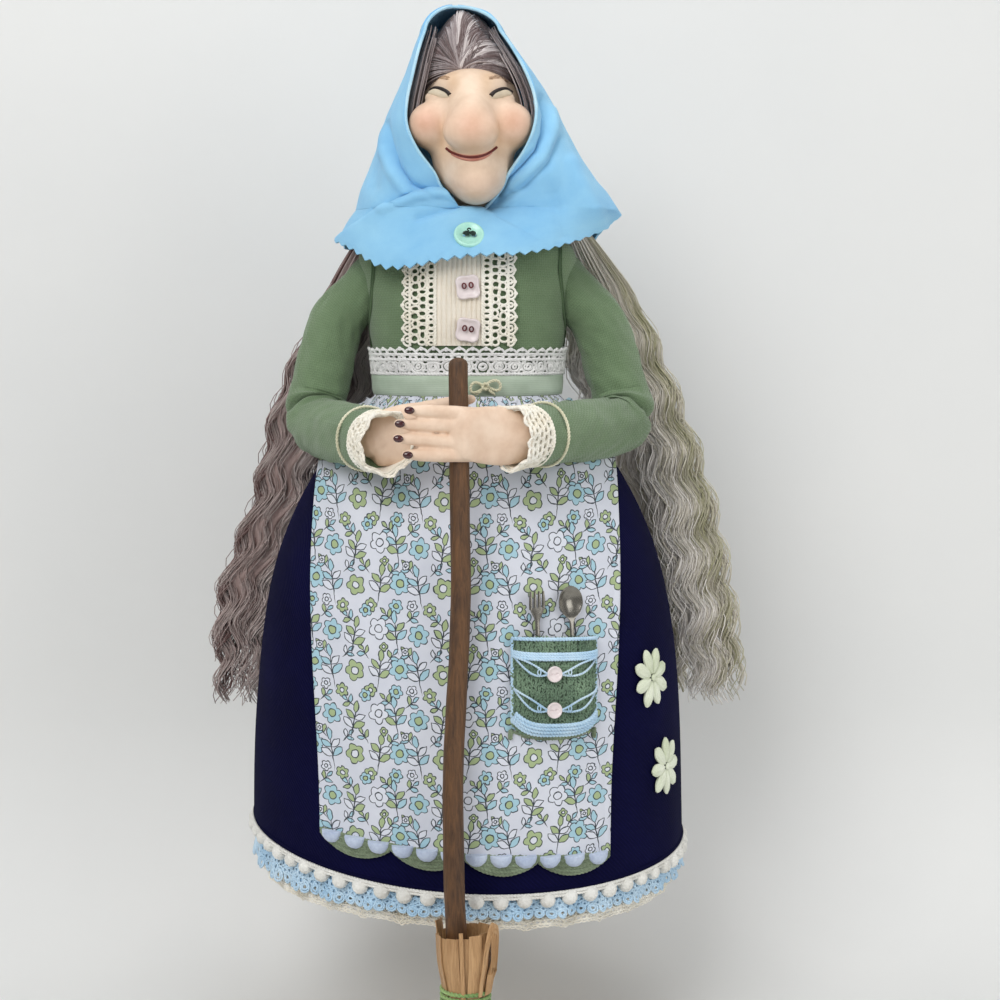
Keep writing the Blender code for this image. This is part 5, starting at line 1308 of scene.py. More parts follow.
@dataclass
class Head(Assembly):
    """The modelled clay head with its painted face."""

    centre: tuple[float, float, float] = (0.0018, -0.0040, 0.2860)
    radius: float = 0.0205
    reach: float = 0.0600
    face_depth: float = -0.012
    columns: int = 190
    rows: int = 150
    line_steps: int = 28
    # centre x, y, z, radius x, y, z and softness, as shares of the head's radius
    forms: tuple[tuple[float, ...], ...] = (
        (0.000, 0.000, 0.100, 1.000, 1.020, 0.960, 0.00),
        (0.015, -0.440, -0.585, 0.740, 0.780, 0.680, 0.24),
        (0.060, -0.700, -0.900, 0.620, 0.560, 0.560, 0.40),
        (-0.670, -0.850, -0.195, 0.480, 0.470, 0.440, 0.22),
        (0.670, -0.850, -0.195, 0.480, 0.470, 0.440, 0.22),
        (0.010, -1.000, 0.180, 0.460, 0.420, 0.480, 0.34),
        (0.015, -1.420, -0.180, 0.370, 0.430, 0.420, 0.26),
        (0.015, -1.570, -0.400, 0.500, 0.420, 0.350, 0.20),
        (0.100, -0.976, -1.120, 0.390, 0.480, 0.470, 0.40),
        (0.034, -1.240, -0.878, 0.340, 0.220, 0.150, 0.16),
        (0.000, -0.780, 0.537, 0.634, 0.290, 0.240, 0.24),
        (0.000, 0.290, -1.070, 0.415, 0.415, 0.585, 0.15),
        (-0.610, -0.800, 0.330, 0.230, 0.170, 0.110, 0.10),
        (0.570, -0.800, 0.320, 0.230, 0.170, 0.110, 0.10))
    # x and z of the shut eyes' dark lines, from the nose outwards
    eyes: tuple[tuple[tuple[float, float], ...], ...] = (
        ((-0.0056, 0.2920), (-0.0072, 0.2938), (-0.0094, 0.2951), (-0.0118, 0.2955), (-0.0142, 0.2945)),
        ((0.0092, 0.2916), (0.0108, 0.2934), (0.0130, 0.2948), (0.0152, 0.2951), (0.0172, 0.2940)))
    mouth: tuple[tuple[float, float], ...] = (
        (-0.0072, 0.2729), (-0.0046, 0.2708), (-0.0012, 0.2693), (0.0028, 0.2688), (0.0066, 0.2695),
        (0.0092, 0.2710), (0.0115, 0.2731))

    def distance(self, points: np.ndarray) -> np.ndarray:
        """Measures how far points are from the skin.

        Args:
            points: Places in head radii from the head's centre.
        Returns:
            Their distances in head radii.
        """
        nearest = None
        for row in self.forms:
            away = points - np.array(row[:3])
            radii = np.array(row[3:6])
            scaled = np.sqrt(((away / radii) ** 2).sum(1))
            steep = np.sqrt(((away / radii**2) ** 2).sum(1)) + 1e-9
            gap = scaled * (scaled - 1) / steep
            if nearest is None:
                nearest = gap
            else:
                soft = max(row[6], 1e-6)
                mix = np.clip(soft - np.abs(nearest - gap), 0, None) / soft
                nearest = np.minimum(nearest, gap) - mix * mix * soft / 4
        return nearest

    def skin(self, ways: np.ndarray) -> np.ndarray:
        """Finds where rays from the head's centre leave the skin.

        Args:
            ways: Unit directions.
        Returns:
            The points, in metres on the doll's axis.
        """
        reach = np.full(len(ways), self.reach / self.radius)
        for _ in range(60):
            reach -= self.distance(ways * reach[:, None]) * 0.85
        return np.array(self.centre) + ways * reach[:, None] * self.radius

    def face_point(self, x: float, z: float, lift: float = 0.0) -> Vector:
        """Finds the skin straight behind a place seen from the front.

        Args:
            x: The place.
            z: The place.
            lift: How far in front of the skin the point lies.
        Returns:
            The point.
        """
        point, out = self.surface.ahead(x, z)
        return point + out * lift

    def blush_and_painted_shade(self, point: Vector) -> tuple[float, float, float, float]:
        """Mixes the red blush rubbed into the skin at a point, with tan painted shade in its creases and under its
        chin.

        Args:
            point: A point of the skin.
        Returns:
            The colour that multiplies the clay's.
        """
        def spot(x: float, z: float, wide: float, high: float) -> float:
            """How near the point is to a spot, from 0 to 1."""
            away = ((point.x - x) / wide) ** 2 + ((point.z - z) / high) ** 2
            return math.exp(-away) if point.y < self.face_depth else 0.0
        red = 0.95 * spot(-0.0150, 0.2825, 0.0068, 0.0062) + 0.80 * spot(0.0182, 0.2825, 0.0068, 0.0062)
        red += 0.75 * spot(0.0022, 0.2790, 0.0066, 0.0066) * (point.y < -0.034) + 0.3 * spot(0.0040, 0.2575, 0.010,
                                                                                             0.006)
        # Painted shade, tan: at the brows, along the mouth, beside the nose, under the cheeks and below the chin.
        painted_shade = 0.60 * spot(-0.0045, 0.2975, 0.0026, 0.0050) + 0.60 * spot(0.0080, 0.2975, 0.0026, 0.0050)
        painted_shade += 0.30 * spot(-0.0078, 0.3000, 0.0030, 0.0012) + 0.30 * spot(0.0108, 0.3000, 0.0030, 0.0012)
        painted_shade += 0.65 * spot(0.0022, 0.2712, 0.0100, 0.0022) + 0.25 * (point.z < 0.2565)
        painted_shade += 0.65 * spot(-0.0088, 0.2775, 0.0016, 0.0056) + 0.65 * spot(0.0122, 0.2775, 0.0016, 0.0056)
        painted_shade += 0.55 * spot(-0.0140, 0.2745, 0.0060, 0.0020) + 0.55 * spot(0.0176, 0.2745, 0.0060, 0.0020)
        return (1.0 - 0.04 * red - 0.10 * painted_shade, 1.0 - 0.26 * red - 0.20 * painted_shade,
                1.0 - 0.30 * red - 0.34 * painted_shade, 1.0)

    def band(self, path: Sequence[tuple[float, float]], lift: float) -> list[Vector]:
        """Lays a smooth line on the skin through places seen from the front.

        Args:
            path: The places, x and z.
            lift: How far in front of the skin it lies.
        Returns:
            The line's points.
        """
        rows = spaced(path)
        return [self.face_point(*from_table(rows, share), lift) for share in shares(self.line_steps)]

    def lidded(self, path: Sequence[tuple[float, float]]) -> bpy.types.Mesh:
        """Models the lower lid under a shut eye's line.

        Args:
            path: The line's places, from the nose outwards.
        Returns:
            The lid's mesh.
        """
        rows = spaced(path)

        def place(u: float, v: float) -> Vector:
            """A point of the lid's middle face."""
            x, z = from_table(rows, u)
            belly = math.sin(math.pi * min(max(u, 0.0), 1.0)) ** 0.7
            drop = 0.0032 * belly * v
            swell = 0.0007 * belly * math.sin(math.pi * min(v * 1.02, 1.0)) ** 0.8
            return self.face_point(x, z - drop, swell - 0.0002 - 0.0007 * (v > 0.99))
        return cloth(surface_mesh(22, 10, place, (0.01, 0.004)), 0.0008, 0.0)

    def build(self) -> None:
        """Makes the head, the eyes, the brows and the mouth."""
        shape = bmesh.new()
        bmesh.ops.create_uvsphere(shape, u_segments=self.columns, v_segments=self.rows, radius=1,
                                  matrix=Matrix.Rotation(math.pi / 2, 4, "X"))
        ways = np.array([vertex.co.normalized() for vertex in shape.verts])
        # More rays go to the face, where the features are small.
        ways[:, 1] -= 0.35
        ways /= np.linalg.norm(ways, axis=1)[:, None]
        for vertex, place in zip(shape.verts, self.skin(ways)):
            vertex.co = place
        mesh = modified(ended(shape, "head"), [("SMOOTH", {"factor": 0.5, "iterations": 4})])
        self.surface = Surface(mesh)
        # The skin's colour attribute carries its red blush and its painted shade.
        mesh.attributes.new("BlushAndPaintedShade", "FLOAT_COLOR", "POINT").data.foreach_set(
            "color", [part for vertex in mesh.vertices for part in self.blush_and_painted_shade(vertex.co)])
        put("head_skin", mesh, self.shop.face, "head_group", ["head"], 180)
        for side, path in zip(("left", "right"), self.eyes):
            put(f"eyelid_{side}", self.lidded(path), self.shop.lid, "head_group", (), 180)
            line = self.band(path, 0.0002)
            width = [0.25 + 0.75 * math.sin(math.pi * min(share * 0.9 + 0.05, 1.0)) ** 0.6
                     for share in shares(self.line_steps)]
            self.shop.sew(f"eye_line_{side}", [Line(line, width=width)], 0.00080, 8, self.shop.lash, "head_group")
        self.brows()
        taper = [max(math.sin(math.pi * step / self.line_steps), 0.01) ** 0.9
                 for step in range(self.line_steps + 1)]
        self.shop.sew("mouth_line", [Line(self.band(self.mouth, 0.0001), width=taper)], 0.00050, 8, self.shop.mouth,
                      "head_group")
        for name, drop, inset, radius in (("lower_lip", -0.0009, 0.14, 0.00070), ("upper_lip", 0.0004, 0.10, 0.00036)):
            rows = spaced(self.mouth)
            ways = [between(inset, 1 - inset, share) for share in shares(6)]
            path = [(x, z + drop * math.sin(math.pi * way))
                    for way, x, z in [(way, *from_table(rows, way)) for way in ways]]
            self.shop.sew(name, [Line(self.band(path, -radius * 0.35), width=taper)], radius, 12, self.shop.lip,
                          "head_group")

    def brows(self) -> None:
        """Makes the short, faint hairs of the brows."""
        random.seed(5)
        hairs = []
        for side, inner in ((-1, -0.0058), (1, 0.0085)):
            for _ in range(130):
                along = random.random()
                x = inner + side * 0.0078 * along
                z = 0.2978 + 0.0022 * math.sin(math.pi * (0.15 + 0.55 * along)) + random.uniform(-0.0008, 0.0008)
                start = self.face_point(x, z, 0.00002)
                end = self.face_point(x + side * 0.0009, z + random.uniform(-0.0001, 0.0006), 0.0001)
                hairs.append(Line([start, start.lerp(end, 0.5), end], width=[1.0, 0.8, 0.2], shade=random.random()))
        self.shop.sew("brow_hairs", hairs, 0.00007, 3, self.shop.brow_hair, "head_group", (), "mauve_hair")


# --- Scarf and hair -----------------------------------------------------------------------


class Crease(Enum):
    """How the scarf's cloth bends along a line."""

    VALLEY = "valley"
    RIDGE = "ridge"
    STEP = "step"


@dataclass(frozen=True)
class Fold:
    """A line of the scarf, seen from the front, along which the cloth folds."""

    crease: Crease
    height: float
    width: float
    path: tuple[tuple[float, float], ...]

    def lift(self, x: np.ndarray, z: np.ndarray) -> np.ndarray:
        """Works out how far the fold lifts the cloth.

        Args:
            x: Places seen from the front.
            z: Places seen from the front.
        Returns:
            The lift at each place.
        """
        best = np.full(len(x), 1.0)
        side = np.zeros(len(x))
        for (x0, z0), (x1, z1) in zip(self.path, self.path[1:]):
            dx, dz = x1 - x0, z1 - z0
            t = np.clip(((x - x0) * dx + (z - z0) * dz) / (dx * dx + dz * dz), 0, 1)
            away = np.hypot(x - x0 - t * dx, z - z0 - t * dz)
            cross = dx * (z - z0) - dz * (x - x0)
            side = np.where(away < best, np.sign(cross), side)
            best = np.minimum(best, away)
        if self.crease is Crease.STEP:
            signed = best * side
            rise = np.clip(signed / self.width + 0.5, 0, 1)
            return self.height * rise * rise * (3 - 2 * rise) * np.exp(-np.clip(signed, 0, None) / (9 * self.width))
        bell = self.height * np.exp(-(best / self.width) ** 2)
        return bell if self.crease is Crease.RIDGE else -bell


@dataclass
class Scarf(Assembly):
    """The kerchief over the head and shoulders, in one sheet with a pinked edge."""

    bottom: float = 0.2517
    lowered: float = 0.0012
    top: float = 0.3288
    reach: float = 0.0500
    middle_y: float = 0.0020
    neck: tuple[float, float] = (0.0018, 0.0020)
    cloth: float = 0.0008
    hood_rows: int = 92
    rim_rows: int = 90
    cape_rows: int = 38
    tooth: float = 0.0048
    tooth_depth: float = 0.0019
    cape_length: float = 0.026
    arch: float = 0.86
    peak: tuple[float, float] = (-0.0046, -0.0050)
    # height, left and right half width, left and right rim, rim front, bulge, back
    sections: tuple[tuple[float, ...], ...] = (
        (0.000, 0.900, 1.140, 0.095, 0.105, 0.320, 0.240, 0.500),
        (0.095, 0.860, 1.050, 0.220, 0.235, 0.330, 0.220, 0.480),
        (0.160, 0.815, 0.965, 0.270, 0.285, 0.400, 0.170, 0.460),
        (0.275, 0.750, 0.840, 0.400, 0.410, 0.480, 0.080, 0.440),
        (0.390, 0.700, 0.730, 0.475, 0.480, 0.500, 0.040, 0.440),
        (0.505, 0.620, 0.645, 0.475, 0.485, 0.490, 0.000, 0.430),
        (0.630, 0.535, 0.520, 0.435, 0.425, 0.460, 0.000, 0.400),
        (0.770, 0.440, 0.345, 0.385, 0.312, 0.400, 0.000, 0.350),
        (0.885, 0.370, 0.222, 0.330, 0.190, 0.340, 0.000, 0.280),
        (0.930, 0.345, 0.165, 0.310, 0.150, 0.310, 0.000, 0.240))
    # share of half a turn from the front, then x, y and height below the hood
    edge: tuple[tuple[float, ...], ...] = (
        (-1.000, 0.000, 0.700, -0.740), (-0.830, -0.600, 0.600, -0.560), (-0.670, -0.980, 0.360, -0.260),
        (-0.530, -0.970, 0.060, -0.170), (-0.420, -0.985, -0.140, -0.225), (-0.300, -0.850, -0.380, -0.300),
        (-0.190, -0.590, -0.600, -0.450), (0.000, 0.010, -0.720, -0.375), (0.140, 0.480, -0.660, -0.340),
        (0.280, 0.900, -0.430, -0.205), (0.400, 1.130, -0.180, -0.060), (0.480, 1.190, -0.020, -0.005),
        (0.600, 1.070, 0.220, -0.080), (0.740, 0.900, 0.460, -0.320), (0.880, 0.500, 0.640, -0.640),
        (1.000, 0.000, 0.700, -0.740))
    folds: tuple[Fold, ...] = (
        Fold(Crease.VALLEY, 0.0026, 0.0014, ((-0.0300, 0.2842), (-0.0287, 0.2758), (-0.0252, 0.2667),
                                             (-0.0203, 0.2599), (-0.0150, 0.2575))),
        Fold(Crease.RIDGE, 0.0019, 0.0017, ((-0.0330, 0.2842), (-0.0318, 0.2750), (-0.0280, 0.2650),
                                            (-0.0228, 0.2575))),
        Fold(Crease.STEP, 0.0032, 0.0013, ((0.0030, 0.2520), (-0.0042, 0.2562), (-0.0085, 0.2582),
                                           (-0.0136, 0.2585), (-0.0188, 0.2569), (-0.0240, 0.2544),
                                           (-0.0303, 0.2514), (-0.0360, 0.2480), (-0.0420, 0.2445),
                                           (-0.0480, 0.2407))),
        Fold(Crease.RIDGE, 0.0012, 0.0012, ((-0.0042, 0.2548), (-0.0085, 0.2566), (-0.0136, 0.2568),
                                            (-0.0188, 0.2552), (-0.0240, 0.2527), (-0.0303, 0.2497))),
        Fold(Crease.VALLEY, 0.0018, 0.0016, ((-0.0180, 0.2470), (-0.0078, 0.2501), (0.0010, 0.2521))),
        Fold(Crease.VALLEY, 0.0033, 0.0014, ((0.0282, 0.2925), (0.0301, 0.2861), (0.0293, 0.2785), (0.0267, 0.2724),
                                             (0.0215, 0.2670), (0.0158, 0.2617), (0.0115, 0.2565))),
        Fold(Crease.RIDGE, 0.0019, 0.0017, ((0.0325, 0.2890), (0.0325, 0.2780), (0.0298, 0.2705), (0.0245, 0.2645),
                                            (0.0185, 0.2590))),
        Fold(Crease.VALLEY, 0.0019, 0.0018, ((0.0345, 0.2777), (0.0306, 0.2684), (0.0225, 0.2606), (0.0122, 0.2544),
                                             (0.0036, 0.2515))),
        Fold(Crease.VALLEY, 0.0014, 0.0030, ((-0.0345, 0.2860), (-0.0360, 0.2720), (-0.0345, 0.2600))),
        Fold(Crease.RIDGE, 0.0016, 0.0034, ((0.0400, 0.2680), (0.0450, 0.2560), (0.0520, 0.2450))),
        Fold(Crease.VALLEY, 0.0013, 0.0028, ((0.0330, 0.2560), (0.0350, 0.2480), (0.0370, 0.2410))))

    def section(self, share: float) -> list[float]:
        """The hood's sizes at a share of its height."""
        return [value * self.reach for value in from_table(self.sections, min(share, self.arch))]

    def rim(self, side: int, share: float) -> float:
        """The angle at which the hood's front edge stands."""
        left, right, rim_left, rim_right = self.section(share)[:4]
        rim = rim_right if side > 0 else rim_left
        return math.asin(max(-1.0, min(1.0, (rim - side * (right - left) / 2) / ((right + left) / 2))))

    def hood(self, side: int, angle: float, share: float, inset: float = 0.0) -> Vector:
        """Finds a point of the hood.

        Args:
            side: -1 or 1.
            angle: From the front, 0, to the back, half a turn.
            share: The share of the hood's height.
            inset: How far inside the cloth the point lies.
        Returns:
            The point.
        """
        left, right, _, _, front, bulge, back = self.section(share)
        half = (right + left) / 2 - inset
        x = self.neck[0] + (right - left) / 2 + side * half * math.sin(angle)
        if angle < math.pi / 2:
            depth = (front + self.middle_y) / math.cos(self.rim(side, share)) - inset
            y = self.middle_y - depth * math.cos(angle) - bulge * math.sin(2 * angle)
        else:
            y = self.middle_y - (back - inset) * math.cos(angle)
        # Above the last section the hood closes to its peak in a round arch.
        over = max(share - self.arch, 0) / (1 - self.arch)
        shrink = (1 - over**1.6) ** 0.62 if over < 1 else 0.0
        return Vector((between(self.peak[0], x, shrink), between(self.peak[1], y, shrink),
                       between(self.bottom, self.top, share)))

    def hem(self, share: float) -> Vector:
        """The scarf's lower edge at a share of half a turn from the front."""
        x, y, drop = [value * self.reach for value in from_table(self.edge, share)]
        return Vector((x, y, self.bottom - self.lowered + drop))

    def cape(self, share: float, down: float) -> Vector:
        """A point between the hood's base and the lower edge."""
        side = 1 if share > 0 else -1
        start = self.hood(side, abs(share) * math.pi, 0)
        end = self.hem(share)
        crest = start.lerp(end, 0.66)
        crest.z = between(start.z, end.z, 0.50)
        return start * (1 - down) ** 2 + crest * 2 * down * (1 - down) + end * down**2

    def columns(self) -> list[tuple[int, float]]:
        """Spaces the columns evenly along the lower edge, four to a pinked tooth.

        Returns:
            The side, -1 or 1, and the share of half a turn of each column.
        """
        def part(way: float) -> tuple[int, float]:
            """The side and the share at a part of the whole edge."""
            return (-1, 2 * way) if way < 0.5 else (1, 2 - 2 * way)
        ways = shares(800)
        points = [self.hem(side * share) for side, share in map(part, ways)]
        lengths = measured(points)
        count = 4 * round(lengths[-1] / self.tooth)
        return [part(float(np.interp(lengths[-1] * step / count, lengths, ways))) for step in range(count + 1)]

    @staticmethod
    def row_height(row: int, count: int) -> float:
        """A row's share of the hood's height; rows crowd at the arch and under the chin."""
        way = max(row, 0.2) / count
        return 1 - 0.45 * way - 0.55 * smooth(way)

    def sheet(self) -> bpy.types.Mesh:
        """Makes the folded and pinked sheet.

        Returns:
            The sheet's outer face.
        """
        columns = self.columns()
        rows = self.hood_rows + self.cape_rows

        def place(u: float, v: float) -> Vector:
            """A point of the hood or of the cape below it."""
            column, row = round(u * (len(columns) - 1)), round(v * rows)
            side, share = columns[column]
            if row <= self.hood_rows:
                height = self.row_height(row, self.hood_rows)
                return self.hood(side, between(self.rim(side, height), math.pi, share), height)
            down = (row - self.hood_rows) / self.cape_rows
            tooth = abs(column % 4 - 2) / 2
            return self.cape(side * max(share, 0.0001), down * (1 - self.tooth_depth / self.cape_length * tooth
                                                               * smooth((down - 0.8) / 0.2)))
        mesh = surface_mesh(len(columns) - 1, rows, place, (0.36, 0.13))
        shape = bmesh.new()
        shape.from_mesh(mesh)
        # Below the opening the cloth's two ends lie one on the other, sewn under the button.
        front = [vertex for vertex in shape.verts if vertex.co.z < self.bottom - 0.0002]
        bmesh.ops.remove_doubles(shape, verts=front, dist=0.00004)
        bmesh.ops.recalc_face_normals(shape, faces=shape.faces)
        ahead = sum(face.normal.y for face in shape.faces if face.calc_center_median().y < -0.02)
        if ahead > 0:
            bmesh.ops.reverse_faces(shape, faces=shape.faces)
        shape.normal_update()
        x = np.array([vertex.co.x for vertex in shape.verts])
        z = np.array([vertex.co.z for vertex in shape.verts])
        lift = sum(fold.lift(x, z) for fold in self.folds)
        for vertex, rise in zip(shape.verts, lift):
            frontal = smooth(-vertex.normal.y * 2.2 - 0.1)
            ripple = 0.0007 * noise.noise(vertex.co * 55) + 0.00025 * noise.noise(vertex.co * 160)
            vertex.co += vertex.normal * (float(rise) * frontal + ripple)
        shape.to_mesh(mesh)
        shape.free()
        return mesh

    def build(self) -> None:
        """Makes the scarf, its rolled rim and its button."""
        sheet = self.sheet()
        surface = Surface(sheet)
        scarf = put("scarf", cloth(sheet.copy(), self.cloth), self.shop.scarf, None, ["scarf_hood", "scarf_cape"])
        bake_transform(scarf)
        rows = [self.row_height(row, self.rim_rows) for row in range(self.rim_rows + 1)]
        path = [self.hood(-1, self.rim(-1, share), share) for share in reversed(rows)]
        path += [self.hood(1, self.rim(1, share), share) for share in rows]
        path = [point + Vector((0, -0.0003, 0)) for point in path]
        rolled = self.shop.sew("scarf_rolled_rim", [Line(path)], 0.00062, 8, self.shop.scarf_rim, None, (),
                               "blue_cotton")
        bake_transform(rolled)
        self.button(surface)

    def button(self, surface: Surface) -> None:
        """Makes the two-hole button and the thread that holds it.

        Args:
            surface: The scarf's outer face.
        """
        seat, out = surface.ahead(0.0012, 0.2402)
        seat = seat + out * 0.0011
        frame = facing(seat, out)
        put("scarf_button_face", two_hole_button(frame, 0.0058, 0.0021, 0.0012, 0.0026), self.shop.mint, "doll",
            ["scarf_button"], 35)
        stitches = []
        for side in (-1, 1):
            for lap in range(4):
                x = side * 0.0012
                points = [frame @ Vector((x + (0.0011 - 0.0002 * lap) * math.cos(turn + lap),
                                          (0.0006 + 0.0001 * lap) * math.sin(turn) - 0.0002,
                                          0.0013 + 0.0003 * math.sin(2 * turn + lap))) for turn in
                          circle(14)]
                stitches.append(Line(points, closed=True))
        curl = [frame @ Vector((0.0006 * math.cos(turn), 0.0013 + 0.0006 * math.sin(turn), 0.0016))
                for turn in circle(12, 10)]
        bridge = [frame @ Vector((x, -0.0003 + 0.0006 * abs(x) / 0.0013, 0.0018))
                  for x in (-0.0012, -0.0005, 0.0005, 0.0012)]
        stitches += [Line(curl, width=0.7), Line(bridge)]
        self.shop.sew("scarf_button_thread", stitches, 0.00028, 6, self.shop.dark_thread, "doll", (), "green_cord")


def two_hole_button(frame: Matrix, radius: float, thickness: float, hole: float, spacing: float,
                    lobes: float = 0.0) -> bpy.types.Mesh:
    """Models a button with a raised rim and two holes sunk in its middle.

    Args:
        frame: Where it lies: its middle, and z out of its face.
        radius: Its radius.
        thickness: Its thickness.
        hole: The diameter of a hole.
        spacing: How far apart the holes are.
        lobes: How deep the four lobes of its outline are, as a share.
    Returns:
        The button's mesh.
    """
    half = thickness / 2
    profile = [(0.0, -half), (radius * 0.88, -half), (radius * 0.98, -half * 0.4), (radius, 0.0),
               (radius * 0.98, half * 0.7), (radius * 0.90, half), (radius * 0.80, half * 0.85),
               (radius * 0.66, half * 0.3), (radius * 0.5, half * 0.15), (radius * 0.3, half * 0.1), (0.0, half * 0.1)]

    def point(u: float, v: float) -> Vector:
        """The profile, turned, with the holes pressed in."""
        reach, along = profile[round(v * (len(profile) - 1))]
        turn = 2 * math.pi * u
        reach *= 1 + lobes * math.cos(4 * turn)
        x, y = reach * math.cos(turn), reach * math.sin(turn)
        if along > 0 and reach < radius * 0.7:
            for side in (-1, 1):
                away = math.hypot(x - side * spacing / 2, y)
                along -= half * 1.3 * smooth((hole * 0.75 - away) / (hole * 0.5))
        return frame @ Vector((x, y, along))
    return modified(capped(40, len(profile) - 1, point), [("SUBSURF", {"levels": 1, "render_levels": 1})])


@dataclass
class HairCap(Assembly):
    """The combed hair that shows in the hood's opening."""

    scarf: Scarf
    centre: tuple[float, float, float] = (0.0000, -0.0006, 0.3035)
    radii: tuple[float, float, float] = (0.0208, 0.0168, 0.0252)
    parting: tuple[float, float] = (-0.0048, 0.3025)
    clumps: int = 54
    strands: int = 15
    side_strands: int = 300

    def over(self, x: float, z: float, lift: float = 0.0) -> Vector:
        """The hair's surface behind a place seen from the front."""
        share = 1 - ((x - self.centre[0]) / self.radii[0]) ** 2 - ((z - self.centre[2]) / self.radii[2]) ** 2
        depth = self.radii[1] * math.sqrt(max(share, 0.0))
        return Vector((x, self.centre[1] - depth - lift, z))

    def fan(self) -> list[Line]:
        """Combs strands from the parting, up and over to both sides.

        Returns:
            The strands.
        """
        lines = []
        for index in range(self.clumps):
            spin = (index + random.random()) / self.clumps
            right = index % 5 != 0
            if right:
                x1 = between(-0.004, 0.0190, spin**0.8)
                z1 = between(0.3270, 0.3000, spin**1.5)
                bow = Vector((-0.0020, between(0.0120, 0.0040, spin)))
            else:
                x1 = between(-0.0050, -0.0190, spin)
                z1 = between(0.3250, 0.2980, spin**1.3)
                bow = Vector((-0.0010, between(0.0060, 0.0010, spin)))
            start = Vector((self.parting[0] + random.uniform(-0.0010, 0.0030) + 0.010 * spin * right * random.random(),
                            self.parting[1] + random.uniform(-0.0004, 0.0018)))
            middle = start.lerp(Vector((x1, z1)), 0.45) + bow
            tone = random.choice((0.1, 0.5, 1.1)) * (1.0 if right else 0.5)
            crown = random.uniform(0.0004, 0.0013)
            for _ in range(self.strands):
                shift = Vector((random.gauss(0, 0.00045), random.gauss(0, 0.00045)))
                spread = random.uniform(0.6, 1.8)
                lift = crown * random.uniform(0.3, 1.1)
                points = []
                for t in shares(12):
                    place = start * (1 - t) ** 2 + middle * 2 * t * (1 - t) + Vector((x1, z1)) * t * t
                    place = place + shift * (0.5 + spread * t)
                    points.append(self.over(place.x, place.y, lift * math.sin(math.pi * (0.1 + 0.8 * t))))
                lines.append(Line(points, width=[0.6 + 0.4 * math.sin(math.pi * step / 12) for step in range(13)],
                                  shade=tone + random.gauss(0, 0.12)))
        return lines

    def sides(self) -> list[Line]:
        """Lays strands down both sides of the face, inside the hood.

        Returns:
            The strands.
        """
        scarf = self.scarf
        lines = []
        for index in range(self.side_strands):
            side = -1 if index % 2 else 1
            spin = random.random()
            low = random.uniform(0.34, 0.44)
            high = random.uniform(0.70, 0.90)
            inset = between(0.0030, 0.0066, random.random())
            points = []
            for step in range(12):
                share = between(high, low, step / 11)
                angle = scarf.rim(side, share) + between(0.02, 0.75, spin)
                points.append(scarf.hood(side, angle, share, inset + 0.0012 * math.sin(4 * share + 5 * spin)))
            lines.append(Line(points, width=[0.9] * 11 + [0.4], shade=random.uniform(0.1, 0.7)))
        return lines

    def narrowed(self, point: Vector) -> Vector:
        """Draws the crown's hair in, where the hood narrows to its peak."""
        share = 1 - 0.30 * smooth((point.z - 0.3090) / 0.0130)
        return Vector((self.centre[0] - 0.0015 * (1 - share) + (point.x - self.centre[0]) * share, point.y, point.z))

    def build(self) -> None:
        """Makes the hair over its base, which is darkened with painted shade."""
        random.seed(11)

        def base(u: float, v: float) -> Vector:
            """The combed base under the strands."""
            turn, rise = 2 * math.pi * u, math.pi * (v - 0.5)
            way = Vector((math.cos(rise) * math.sin(turn), -math.cos(rise) * math.cos(turn), math.sin(rise)))
            shrink = 0.955 + 0.02 * math.sin(40 * turn)
            return self.narrowed(Vector([c + r * shrink * w for c, r, w in zip(self.centre, self.radii, way)]))
        mesh = capped(120, 40, base)
        # The base is hair too, but takes the darkest tone: painted shade under the strands.
        shaded(mesh, 0.1)
        put("hair_base", mesh, self.shop.mauve_hair, "head_group", ["hair_cap"], 180)
        fan = self.fan()
        for line in fan:
            line.points = [self.narrowed(point) for point in line.points]
        self.shop.sew("hair_strands", fan + self.sides(), 0.00022, 4, self.shop.mauve_hair, "head_group", (),
                      "mauve_hair", 180)


